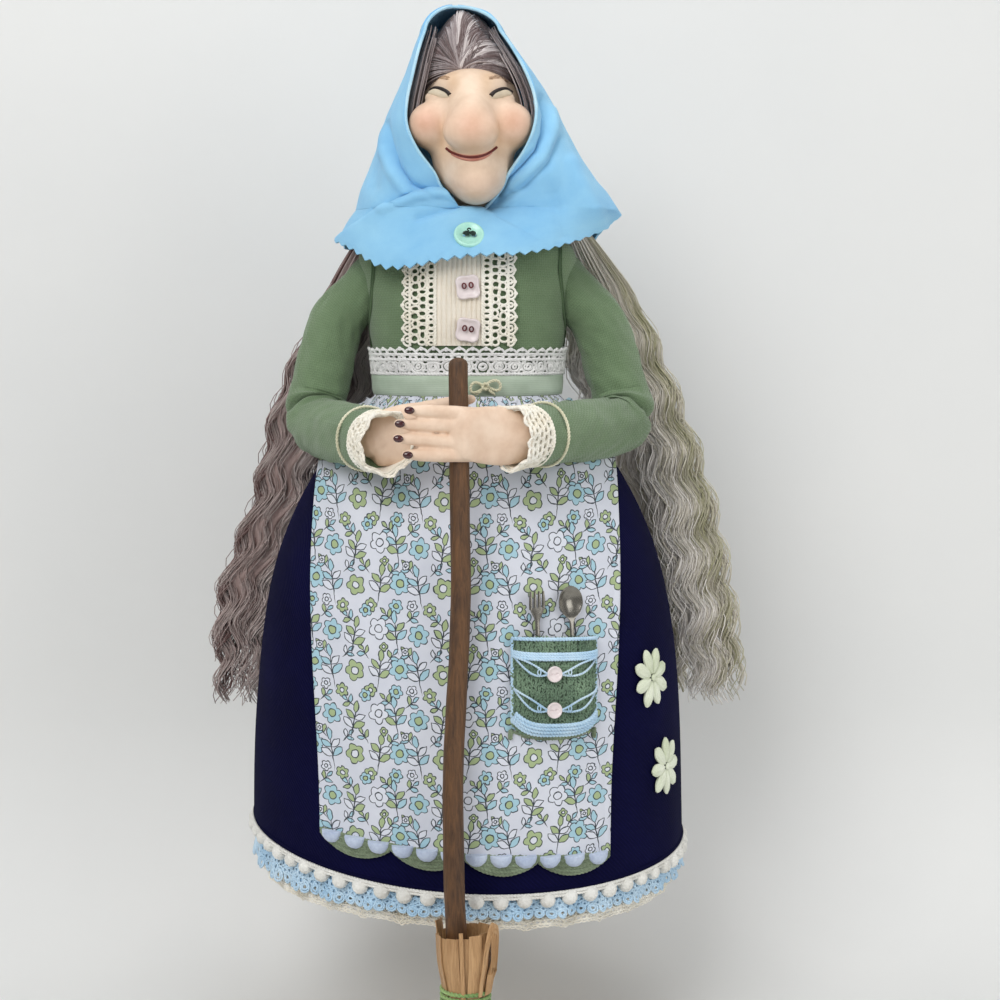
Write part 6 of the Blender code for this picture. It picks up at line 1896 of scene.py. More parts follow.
@dataclass
class Locks(Assembly):
    """The four long crimped locks that hang from under the scarf."""

    length: float = 0.1740
    top: float = 0.2340
    reach: float = 0.1000
    depth: float = 0.48
    crimp: float = 0.0230
    core_end: float = 0.92
    clumps: int = 17
    strands: int = 24
    steps: int = 53
    tip: tuple[float, ...] = (0.9, 0.8, 0.65, 0.5, 0.35, 0.2)
    wave: float = 0.0026
    lap: float = 0.0013
    # distance down, x, y and half width, the last three as shares of the reach
    shapes: tuple[tuple[str, tuple[tuple[float, ...], ...]],
                  ...] = (("left_side",
                           ((-0.10, -0.350, 0.130, 0.030), (0.00, -0.445, 0.190, 0.055), (0.10, -0.530, 0.205, 0.070),
                            (0.32, -0.685, 0.215, 0.100), (0.56, -0.785, 0.260, 0.115), (0.80, -0.935, 0.290, 0.120),
                            (1.00, -0.965, 0.300, 0.105))),
                          ("left_back",
                           ((-0.10, -0.260, 0.190, 0.040), (0.00, -0.300, 0.228, 0.040), (0.10, -0.370, 0.260, 0.075),
                            (0.32, -0.470, 0.400, 0.100), (0.56, -0.580, 0.490, 0.105), (0.80, -0.700, 0.590, 0.110),
                            (1.00, -0.720, 0.620, 0.070))),
                          ("right_side",
                           ((-0.10, 0.400, 0.120, 0.030), (0.00, 0.505, 0.170, 0.070), (0.10, 0.600, 0.205, 0.100),
                            (0.32, 0.760, 0.225, 0.105), (0.56, 0.890, 0.260, 0.120), (0.80, 0.990, 0.290, 0.117),
                            (1.00, 1.050, 0.300, 0.110))),
                          ("right_back",
                           ((-0.10, 0.270, 0.180, 0.040), (0.00, 0.300, 0.215, 0.040), (0.10, 0.420, 0.260, 0.075),
                            (0.32, 0.580, 0.400, 0.100), (0.56, 0.720, 0.460, 0.110), (0.80, 0.840, 0.520, 0.110),
                            (1.00, 0.880, 0.540, 0.080))))

    def point(self, rows: tuple[tuple[float, ...], ...], down: float, turn: float, out: float,
              phase: float = 0.0, grown: float = 1.0) -> Vector:
        """Finds a place in a lock.

        Args:
            rows: The lock's table.
            down: The share of the way down.
            turn: The angle round its middle.
            out: The share of the way out to its skin.
            phase: How far the crimp lags behind the lock's own.
            grown: How large the crimp is, as a share of the lock's own.
        Returns:
            The point.
        """
        x, y, half = [value * self.reach for value in from_table(rows, min(down, 1.0))]
        swing = 2 * math.pi * down * self.length / self.crimp + phase
        swell = smooth(down * 5) * (0.7 + 0.3 * down)
        wave = self.wave * swell * grown * math.sin(swing)
        lap = self.lap * swell * grown * math.cos(swing)
        return Vector((x + wave + half * out * math.cos(turn), y + lap + half * self.depth * out * math.sin(turn),
                       self.top - self.length * down))

    def build(self) -> None:
        """Makes each lock as a soft core with strands over it."""
        random.seed(23)
        for name, rows in self.shapes:
            finish = self.shop.brown_hair if name == "left_side" else (
                self.shop.mauve_hair if name.startswith("left") else self.shop.pale_hair)

            def core(u: float, v: float, rows: tuple[tuple[float, ...], ...] = rows) -> Vector:
                """The core's skin, ribbed like combed hair."""
                skin = (0.76 + 0.07 * math.sin(22 * math.pi * u + 3 * v)) * (1 - 0.75 * smooth((v - 0.82) / 0.18))
                return self.point(rows, between(-0.10, self.core_end, v), 2 * math.pi * u, skin)
            mesh = capped(66, 110, core)
            shaded(mesh, 0.50)
            put(f"lock_core_{name}", mesh, finish, "doll", [f"hair_lock_{name}"],
                180)
            lines = []
            for clump in range(self.clumps):
                middle = 2 * math.pi * (clump + random.random()) / self.clumps
                depth = random.uniform(0.72, 0.98)
                phase = random.gauss(0.0, 1.0)
                grown = random.uniform(0.7, 1.3)
                drift = random.uniform(-0.9, 0.9)
                outer = math.cos(middle) * (-1 if name.startswith("left") else 1)
                tone = random.uniform(0.60, 1.30) - 0.55 * smooth(0.5 + outer)
                for _ in range(self.strands):
                    # A few strands work loose: they lie further out and wave out of step.
                    loose = random.random() ** 5
                    turn = middle + random.gauss(0, 0.13) * (1 + 2 * loose)
                    spread = depth + random.gauss(0, 0.045) + 0.30 * loose
                    lag = phase + random.gauss(0, 0.14) * (1 + 4 * loose)
                    start = random.choice((-0.09, -0.08, random.uniform(0.0, 0.4)))
                    stop = random.uniform(0.90, 1.07)
                    fray = random.gauss(0, 0.30)
                    points = []
                    for share in shares(self.steps):
                        down = between(start, stop, share)
                        points.append(self.point(rows, down, turn + drift * down + fray * down**3, spread,
                                                 lag * (0.4 + down), grown))
                    lines.append(Line(points, width=[1.0] * (self.steps + 1 - len(self.tip)) + [*self.tip],
                                      shade=tone + random.gauss(0, 0.15)))
            self.shop.sew(f"lock_strands_{name}", lines, 0.00020, 3, finish, "doll", (),
                          "mauve_hair" if name.startswith("left") else "pale_hair", 180)


# --- Crochet ------------------------------------------------------------------------------

Lay = Callable[[float, float, float], Vector]
LOOP_LIFT = 0.0003


def rings(lay: Lay, start: float, end: float, across: float, pitch: float, size: tuple[float, float],
          wobble: float) -> list[Line]:
    """Works a row of closed loops.

    Args:
        lay: Turns lengths along, across and out of the cloth into a place.
        start: Where the row starts.
        end: Where it ends.
        across: How far across the cloth it runs.
        pitch: The space for each loop.
        size: A loop's half length along and across.
        wobble: How uneven the loops are, as a share.
    Returns:
        The loops.
    """
    count = max(1, round((end - start) / pitch))
    lines = []
    for index in range(count):
        middle = between(start, end, (index + 0.5) / count)
        wide = size[0] * (1 + random.uniform(-wobble, wobble))
        high = size[1] * (1 + random.uniform(-wobble, wobble))
        shift = random.uniform(-wobble, wobble) * size[1] * 0.6
        spin = random.uniform(0, 6.28)
        points = []
        for turn in circle(12):
            points.append(lay(middle + wide * math.cos(turn), across + shift + high * math.sin(turn),
                              LOOP_LIFT * (0.8 + 0.7 * math.sin(2 * turn + spin))))
        lines.append(Line(points, closed=True, width=[1 + 0.22 * math.sin(3 * step + spin) for step in range(12)]))
    return lines


def arches(lay: Lay, start: float, end: float, across: float, count: int, drop: float,
           lift: float = 0.0004, knots: bool = True) -> list[Line]:
    """Works a scalloped edge of open loops, a picot at the foot of each.

    Args:
        lay: Turns lengths along, across and out of the cloth into a place.
        start: Where the edge starts.
        end: Where it ends.
        across: Where the loops are fastened.
        count: How many loops.
        drop: How far a loop hangs.
        lift: How far the thread stands out.
        knots: Whether each loop has a picot.
    Returns:
        The loops.
    """
    lines = []
    for index in range(count):
        left, right = between(start, end, index / count), between(start, end, (index + 1) / count)
        deep = drop * random.uniform(0.88, 1.1)
        points = [lay(between(left, right, 0.5 - 0.52 * math.cos(math.pi * step / 12)),
                      across - deep * math.sin(math.pi * step / 12) ** 0.8, lift) for step in range(13)]
        lines.append(Line(points))
        if knots:
            middle, foot = (left + right) / 2, across - deep
            lines.append(Line([lay(middle + 0.0004 * math.cos(turn), foot + 0.0004 * math.sin(turn), lift * 1.5)
                               for turn in circle(7)], closed=True))
    return lines


def twist(lay: Lay, start: float, end: float, across: float, radius: float, pitch: float = 0.0024) -> list[Line]:
    """Lays a two-ply cord along the cloth.

    Args:
        lay: Turns lengths along, across and out of the cloth into a place.
        start: Where the cord starts.
        end: Where it ends.
        across: How far across the cloth it runs.
        radius: The cord's radius.
        pitch: The length of one turn of the plies.
    Returns:
        The cord's plies.
    """
    steps = max(8, round(abs(end - start) / pitch * 7))
    lines = []
    for ply in (0.0, math.pi):
        points = []
        for step in range(steps + 1):
            along = between(start, end, step / steps)
            turn = 2 * math.pi * along / pitch + ply
            points.append(lay(along, across + radius * 0.5 * math.cos(turn), radius * (1 + 0.5 * math.sin(turn))))
        lines.append(Line(points))
    return lines


def ropes(path: Sequence[Vector], radius: float, pitch: float = 0.0024,
          closed: bool = False) -> list[Line]:
    """Twists two plies round a path in space.

    Args:
        path: The cord's middle line.
        radius: The cord's radius.
        pitch: The length of one turn of the plies.
        closed: Whether the cord meets itself.
    Returns:
        The plies.
    """
    fine = resampled(path, pitch / 7, closed)
    lines = []
    sides = frames(fine)
    lengths = measured(fine)
    length = lengths[-1]
    turns = max(1, round(length / pitch))
    for ply in (0, 1):
        points = []
        for point, (_, side, lift), along in zip(fine, sides, lengths):
            turn = 2 * math.pi * (turns * along / length + ply / 2)
            points.append(point + (side * math.cos(turn) + lift * math.sin(turn)) * radius * 0.52)
        lines.append(Line(points[:-1] if closed else points, closed=closed))
    return lines


def resampled(path: Sequence[Vector], spacing: float, closed: bool = False) -> list[Vector]:
    """Runs a smooth curve through points and reads it at an even spacing.

    Args:
        path: The points.
        spacing: The spacing.
        closed: Whether the curve returns to its start.
    Returns:
        The new points.
    """
    points = list(path) + ([path[0]] if closed else [])
    count = len(points)
    dense = []
    for index in range(count - 1):
        if closed:
            before = points[index - 1] if index else path[-1]
            after = points[index + 2] if index + 2 < count else path[1]
        else:
            before, after = points[max(index - 1, 0)], points[min(index + 2, count - 1)]
        here, there = points[index], points[index + 1]
        for step in range(8):
            t = step / 8
            dense.append(0.5 * (2 * here + (there - before) * t + (2 * before - 5 * here + 4 * there - after) * t * t
                                + (3 * here - before - 3 * there + after) * t**3))
    dense.append(points[-1])
    lengths = measured(dense)
    steps = max(2, round(lengths[-1] / spacing))
    result = []
    index = 0
    for step in range(steps + 1):
        want = lengths[-1] * step / steps
        while index < len(dense) - 2 and lengths[index + 1] < want:
            index += 1
        span = lengths[index + 1] - lengths[index]
        result.append(dense[index].lerp(dense[index + 1], (want - lengths[index]) / span if span else 0))
    return result


# --- Upper clothes ------------------------------------------------------------------------


@dataclass
class Sleeve(Assembly):
    """One arm's sleeve with its piping and crochet cuff."""

    name: str
    side: int
    wrist: tuple[float, float, float]
    shoulder: tuple[float, float, float] = (0.0330, 0.0010, 0.2310)
    upper: tuple[float, float, float] = (0.0520, 0.0000, 0.2080)
    elbow: tuple[float, float, float] = (0.0640, -0.0070, 0.1688)
    rounding: float = 0.0150
    spacing: float = 0.0008
    radius: float = 0.0124
    sections: tuple[tuple[float, float], ...] = ((0.0, 0.76), (0.25, 0.88), (0.55, 0.91), (0.8, 0.92), (1.0, 0.86))
    cuff_length: float = 0.0085
    cuff_radius: float = 0.0103
    cuff_mouth: float = 0.0106
    piping_gap: float = 0.0098
    extend: float = 0.0010
    cuff_rows: int = 4
    cuff_pitch: float = 0.0024
    crease_depth: float = 0.0042
    crease_width: float = 0.0012

    def path(self) -> list[Vector]:
        """The sleeve's middle line from inside the shoulder to the cuff."""
        shoulder, upper, elbow = [Vector((self.side * x, y, z))
                                  for x, y, z in (self.shoulder, self.upper, self.elbow)]
        wrist = Vector(self.wrist)
        forearm = (wrist - elbow).normalized()
        bend_in = elbow + (upper - elbow).normalized() * self.rounding
        bend_out = elbow + forearm * self.rounding
        bend = [bend_in * (1 - t) ** 2 + elbow * 2 * t * (1 - t) + bend_out * t**2
                for t in shares(8)]
        end = wrist - forearm * (self.cuff_length - self.extend)
        return resampled([shoulder, shoulder.lerp(upper, 0.5), upper] + bend + [bend_out.lerp(end, 0.5), end],
                         self.spacing)

    def build(self) -> None:
        """Makes the sleeve, its piping and its cuff."""
        path = self.path()
        sides = frames(path)
        length = self.spacing * (len(path) - 1)
        last = len(path) - 1
        elbow = Vector((self.side * self.elbow[0], self.elbow[1], self.elbow[2]))
        inward = (path[0].lerp(path[last], 0.5) - elbow).normalized()
        forearm = sides[-1][0]
        fold_share = min(range(len(path)), key=lambda index: (path[index] - elbow).length) / last

        def place(u: float, v: float) -> Vector:
            """The sleeve's skin, its mouth turned in."""
            index = round(v * (last + 4))
            turned_in = max(0, index - last)
            index = min(index, last)
            share = index / last
            tangent, side, lift = sides[index]
            turn = 2 * math.pi * u
            out = side * math.cos(turn) + lift * math.sin(turn)
            radius = self.radius * from_table(self.sections, share)[0]
            at = path[index]
            bent = math.exp(-((at - elbow).length / 0.016) ** 2)
            inner = max(out.dot(inward), 0.0)
            # One deep crease folds in inside the elbow; shallow ones run slantwise from it.
            slant = share * length + 0.0040 * math.sin(turn + self.side * 0.6)
            beyond = (share - fold_share) * length + 0.0014 * math.sin(2.2 * turn + 0.5)
            shown = smooth(0.45 + 0.7 * max(inner, -out.y))
            crease = 0.0008 * inner * bent * math.sin(2 * math.pi * slant / 0.0074)
            crease -= self.crease_depth * shown * math.exp(-(beyond / self.crease_width) ** 2)
            crease += 0.0017 * shown * math.exp(-((beyond + 0.0038) / 0.0030) ** 2)
            crease += 0.0007 * shown * math.exp(-((beyond - 0.0048) / 0.0030) ** 2)
            drag = 0.0006 * noise.noise(Vector((3 * math.cos(turn + 5 * share), 3 * math.sin(turn + 5 * share),
                                                share * length * 130)))
            sag = 0.0007 * noise.noise(at * 70 + out * 1.6)
            radius += crease + drag + sag
            if turned_in:
                return at + out * (radius - 0.0011 * turned_in) - tangent * 0.0002 * turned_in**2
            return at + out * radius
        mesh = capped(84, last + 4, place, (2 * math.pi * self.radius, length))
        sleeve = put(f"sleeve_{self.name}", mesh, self.shop.linen, "doll",
                     [f"sleeve_upper_{self.name}", f"sleeve_lower_{self.name}"])
        seat = last - round(self.piping_gap / self.spacing)
        at = path[seat]
        tangent, side, lift = sides[seat]
        radius = self.radius * from_table(self.sections, seat / last)[0] + 0.0006
        ring = [at + (side * math.cos(turn) + lift * math.sin(turn)) * radius
                + tangent * 0.0005 * math.sin(2 * turn) for turn in circle(40)]
        self.shop.sew(f"piping_{self.name}", ropes(ring, 0.00055, 0.0026, True), 0.00034, 6, self.shop.cream_cord,
                      "doll", [f"sleeve_piping_{self.name}"], "cream_cord")
        self.cuff(path[last], forearm)

    def cuff(self, start: Vector, forearm: Vector) -> None:
        """Works the crochet cuff over the sleeve's mouth.

        Args:
            start: The sleeve's end.
            forearm: The way the arm points.
        """
        side = forearm.orthogonal().normalized()
        lift = forearm.cross(side)
        round_about = 2 * math.pi * self.cuff_radius

        def lay(along: float, across: float, out: float) -> Vector:
            """Carries the flat crochet round the wrist."""
            turn = along / self.cuff_radius
            share = across / self.cuff_length
            radius = between(self.cuff_radius, self.cuff_mouth, share) + out
            radius += 0.0006 * share * math.cos(7 * turn)
            way = side * math.cos(turn) + lift * math.sin(turn)
            # The hand is flat, so the lace closes on it at the front and the back.
            return start + forearm * across + way * radius * (1 - 0.42 * max(share, 0.0) * way.y**2)
        lines = twist(lay, 0, round_about, -0.0008, 0.0005)
        reach = 0.0002 + self.cuff_pitch * self.cuff_rows
        for row in range(self.cuff_rows):
            lines += rings(lambda a, c, o, row=row: lay(a + (row % 2) * 0.0014, c, o), 0, round_about,
                           0.0010 + self.cuff_pitch * row, 0.0028, (0.00135, 0.00125), 0.2)
            lines += twist(lay, 0, round_about, 0.0022 + self.cuff_pitch * row, 0.0003)
        lines += arches(lambda a, c, o: lay(a, -c, o), 0, round_about, -reach, 15, 0.0019)
        net = self.shop.thread(lines, 0.00048, 5, self.shop.cream_lace)
        ground = surface_mesh(72, 6, lambda u, v: lay(round_about * u, reach * v - 0.0004, -0.0006),
                              (round_about, 0.0100), True)
        put(f"cuff_{self.name}", merged([net, cloth(ground, 0.0004, 0)]), self.shop.cream_lace, "doll",
            [f"cuff_lace_{self.name}"])


@dataclass
class Bodice(Assembly):
    """The green bodice with the blouse front, laces, ribbon, bow and buttons."""

    bottom: float = 0.1792
    top: float = 0.2452
    cloth: float = 0.0013
    panel: tuple[float, float, float, float] = (-0.0106, 0.0056, 0.2000, 0.2345)
    strip: float = 0.0124
    waist_lace: tuple[float, float] = (0.1892, 0.1990)
    ribbon: tuple[float, float] = (0.1810, 0.1889)
    buttons: tuple[float, float] = (0.2214, 0.2058)
    button_x: float = 0.0007
    bow: tuple[float, float] = (0.0066, 0.1850)
    seam: tuple[float, float] = (0.1995, 0.2370)
    half_turn: float = 0.1010
    motif: float = 0.0054
    ribs: int = 9

    def build(self) -> None:
        """Makes the bodice and all that is sewn to it."""
        def shell(u: float, v: float) -> Vector:
            """The bodice's outer face with its slack."""
            angle, height = around(u), between(self.bottom, self.top, v)
            point = TORSO.over(angle, height, TORSO.layer - 0.0002)
            loose = noise.noise(point * 75)
            pull = math.sin(angle * 3 + height * 420 + 2.5 * loose)
            return TORSO.over(angle, height,
                              TORSO.layer - 0.0002 + 0.0003 * loose + 0.00018 * pull * smooth(abs(angle)))
        outer = surface_mesh(150, 60, shell, (0.23, 0.066), True)
        shell_piece = put("bodice_cloth", cloth(outer, self.cloth, -1), self.shop.linen, "doll", ["bodice"])
        self.seams()
        self.blouse()
        self.waist()
        self.cord_bow()

    def seams(self) -> None:
        """Sews the armhole and side seams."""
        lines = []
        for side in (-1, 1):
            for shift in (0.0, 0.0007):
                points = []
                for step in range(40):
                    height = between(*self.seam, step / 39)
                    x = side * (between(0.0372, 0.0345, smooth((height - 0.200) / 0.03)) + shift
                                + 0.0004 * noise.noise(Vector((0, side, height * 120))))
                    points.append(TORSO.front(x, height, TORSO.layer + 0.0001))
                lines.append(Line(points, width=0.8))
        self.shop.sew("bodice_seams", lines, 0.0004, 6, self.shop.linen_dark, "doll", (), "green_linen")

    def blouse(self) -> None:
        """Makes the ribbed front, its lace strips and its buttons."""
        left, right, low, high = self.panel

        def front(u: float, v: float) -> Vector:
            """The ribbed cloth's outer face."""
            x, height = between(left, right, u), between(low, high, v)
            rib = abs(math.sin(math.pi * self.ribs * u)) ** 0.6
            slub = noise.noise(Vector((round(self.ribs * u - 0.5) * 3.1, 0, height * 260)))
            return TORSO.front(x + 0.0001 * slub, height, TORSO.layer + 0.0006 + 0.00055 * rib * (1 + 0.35 * slub))
        outer = surface_mesh(self.ribs * 12, 60, front, (0.0162, 0.0345))
        put("blouse_ribbed_front", cloth(outer, 0.0007, -1), self.shop.blouse, "doll", ["blouse_front"])
        random.seed(31)
        for side, name in ((-1, "left"), (1, "right")):
            edge = left if side < 0 else right

            def lay(along: float, across: float, out: float, edge: float = edge, side: int = side) -> Vector:
                """Carries the flat strip up the chest; across counts from the blouse outwards."""
                return TORSO.front(edge + side * across, low + along, TORSO.layer + 0.0007 + out)
            length = high - low
            lines = twist(lay, 0, length, 0.0004, 0.0005) + twist(lay, 0, length, 0.0034, 0.00035)
            lines += rings(lay, 0, length, 0.0019, 0.0021, (0.0010, 0.0012), 0.2)
            for row, across in enumerate((0.0050, 0.0078)):
                lines += rings(lambda a, c, o, row=row: lay(a + 0.0013 * row, c, o), 0, length - 0.0013 * row,
                               across, 0.0027, (0.00128, 0.00140), 0.28)
            lines += twist(lay, 0, length, 0.0096, 0.0003)
            lines += arches(lambda a, c, o: lay(a, -c, o), 0, length, -0.0098, 8, self.strip - 0.0102)
            lines += rings(lay, 0, length, 0.0104, 0.0043, (0.0008, 0.0007), 0.2)
            self.shop.sew(f"lace_strip_crochet_{name}", lines, 0.00046, 5, self.shop.cream_lace, "doll",
                          [f"lace_strip_{name}"], "cream_lace")
        for name, height in zip(("upper", "lower"), self.buttons):
            seat = TORSO.front(self.button_x, height, TORSO.layer + 0.0020)
            out = (seat - TORSO.front(self.button_x, height, 0)).normalized()
            frame = facing(seat, out) @ Matrix.Rotation(math.pi / 4 + (0.12 if name == "upper" else -0.15), 4, "Z")
            put(f"blouse_button_face_{name}", two_hole_button(frame, 0.0049, 0.0018, 0.0008, 0.0022, 0.12),
                self.shop.white_button, "doll", [f"blouse_button_{name}"], 35)
            stitches = []
            level = frame @ Matrix.Rotation(-math.pi / 4, 4, "Z")
            for side in (-1, 1):
                for lap in range(2):
                    stitches.append(Line([level @ Vector((side * 0.0013 + (0.00062 + 0.00022 * lap) * math.cos(turn),
                                                          0.0005 + (0.00085 + 0.00020 * lap) * math.sin(turn), 0.0011))
                                          for turn in circle(12)], closed=True))
            self.shop.sew(f"blouse_button_thread_{name}", stitches, 0.00020, 6, self.shop.red_thread, "doll", (),
                          "white_plastic")

    def waist(self) -> None:
        """Lays the crochet lace and the satin ribbon round the waist."""
        random.seed(37)
        low, high = self.waist_lace
        half_turn = self.half_turn

        def lay(along: float, across: float, out: float) -> Vector:
            """Carries the flat lace round the waist; along counts from the front."""
            return TORSO.over(math.pi * along / half_turn, low + across, TORSO.layer + 0.0006 + out)
        lines = []
        for size in (0.0024, 0.0015, 0.0007):
            lines += rings(lay, -half_turn, half_turn, 0.0030, self.motif, (size, size), 0.22)
        for across in (0.0010, 0.0048):
            lines += rings(lambda a, c, o: lay(a + self.motif / 2, c, o), -half_turn, half_turn, across,
                           self.motif, (0.0010, 0.0010), 0.25)
        lines += rings(lay, -half_turn, half_turn, 0.0066, 0.0024, (0.0011, 0.0009), 0.35)
        for across, radius in ((0.0002, 0.0004), (0.0056, 0.0004), (0.0076, 0.0003)):
            lines += twist(lay, -half_turn, half_turn, across, radius)
        lines += arches(lambda a, c, o: lay(a, -c, o), -half_turn, half_turn, -0.0072, 48, high - low - 0.0074)
        self.shop.sew("waist_crochet", lines, 0.00050, 5, self.shop.white_lace, "doll", ["waist_lace"], "white_lace")
        bottom, top = self.ribbon

        def face(u: float, v: float) -> Vector:
            """The ribbon's outer face, slack between its stitches."""
            angle = around(u)
            slack = 0.00035 * noise.noise(Vector((math.cos(angle) * 3, math.sin(angle) * 3, v * 1.5)))
            edge = 0.0003 * (1 - (2 * v - 1) ** 4)
            return TORSO.over(angle, between(bottom, top, v), TORSO.layer + 0.0010 + edge + slack)
        band = surface_mesh(200, 12, face, (0.215, 0.0066), True)
        put("waist_satin_ribbon", cloth(band, 0.0005, -1), self.shop.ribbon, "doll", ["waist_ribbon"])

    def cord_bow(self) -> None:
        """Ties the small cord bow on the ribbon."""
        x, z = self.bow

        def at(right: float, up: float, out: float) -> Vector:
            """A place over the ribbon, counted from the knot."""
            return TORSO.front(x + right, z + up, TORSO.layer + 0.0019 + out)
        lines = []
        for side in (-1, 1):
            loop = [at(side * 0.0058 * math.sin(math.pi * t) * (0.75 + 0.25 * t),
                       0.0019 * math.sin(2 * math.pi * t) + 0.0004 * side, 0.0007 + 0.0010 * math.sin(math.pi * t))
                    for t in shares(12)]
            tail = [at(side * 0.0034 * t, -0.0040 * t + 0.0008 * t * t, 0.0005 + 0.0006 * math.sin(3 * t))
                    for t in shares(6)]
            lines += ropes(loop, 0.0006, 0.0022) + ropes(tail, 0.00055, 0.0022)
        knot = [at(0.0010 * math.cos(turn), 0.0011 * math.sin(turn), 0.0016 + 0.0003 * math.sin(2 * turn))
                for turn in circle(10)]
        lines += ropes(knot, 0.0006, 0.0022, True)
        self.shop.sew("waist_bow", lines, 0.00036, 6, self.shop.cream_cord, "doll", ["waist_cord_bow"], "cream_cord")


# --- Skirt, apron and pocket --------------------------------------------------------------


class Round:
    """Lengths round the skirt's hem, turned into angles."""

    def __init__(self) -> None:
        """Measures the hem."""
        self.angles = [between(-math.pi, math.pi, step / 720) for step in range(721)]
        points = [SKIRT.over(angle, SKIRT.hem_height(angle), 0) for angle in self.angles]
        self.lengths = [0.0]
        for first, second in zip(points, points[1:]):
            self.lengths.append(self.lengths[-1] + math.hypot(second.x - first.x, second.y - first.y))
        self.whole = self.lengths[-1]

    def angle(self, along: float) -> float:
        """The angle at a length round the hem, from the back."""
        return float(np.interp(along % self.whole, self.lengths, self.angles))


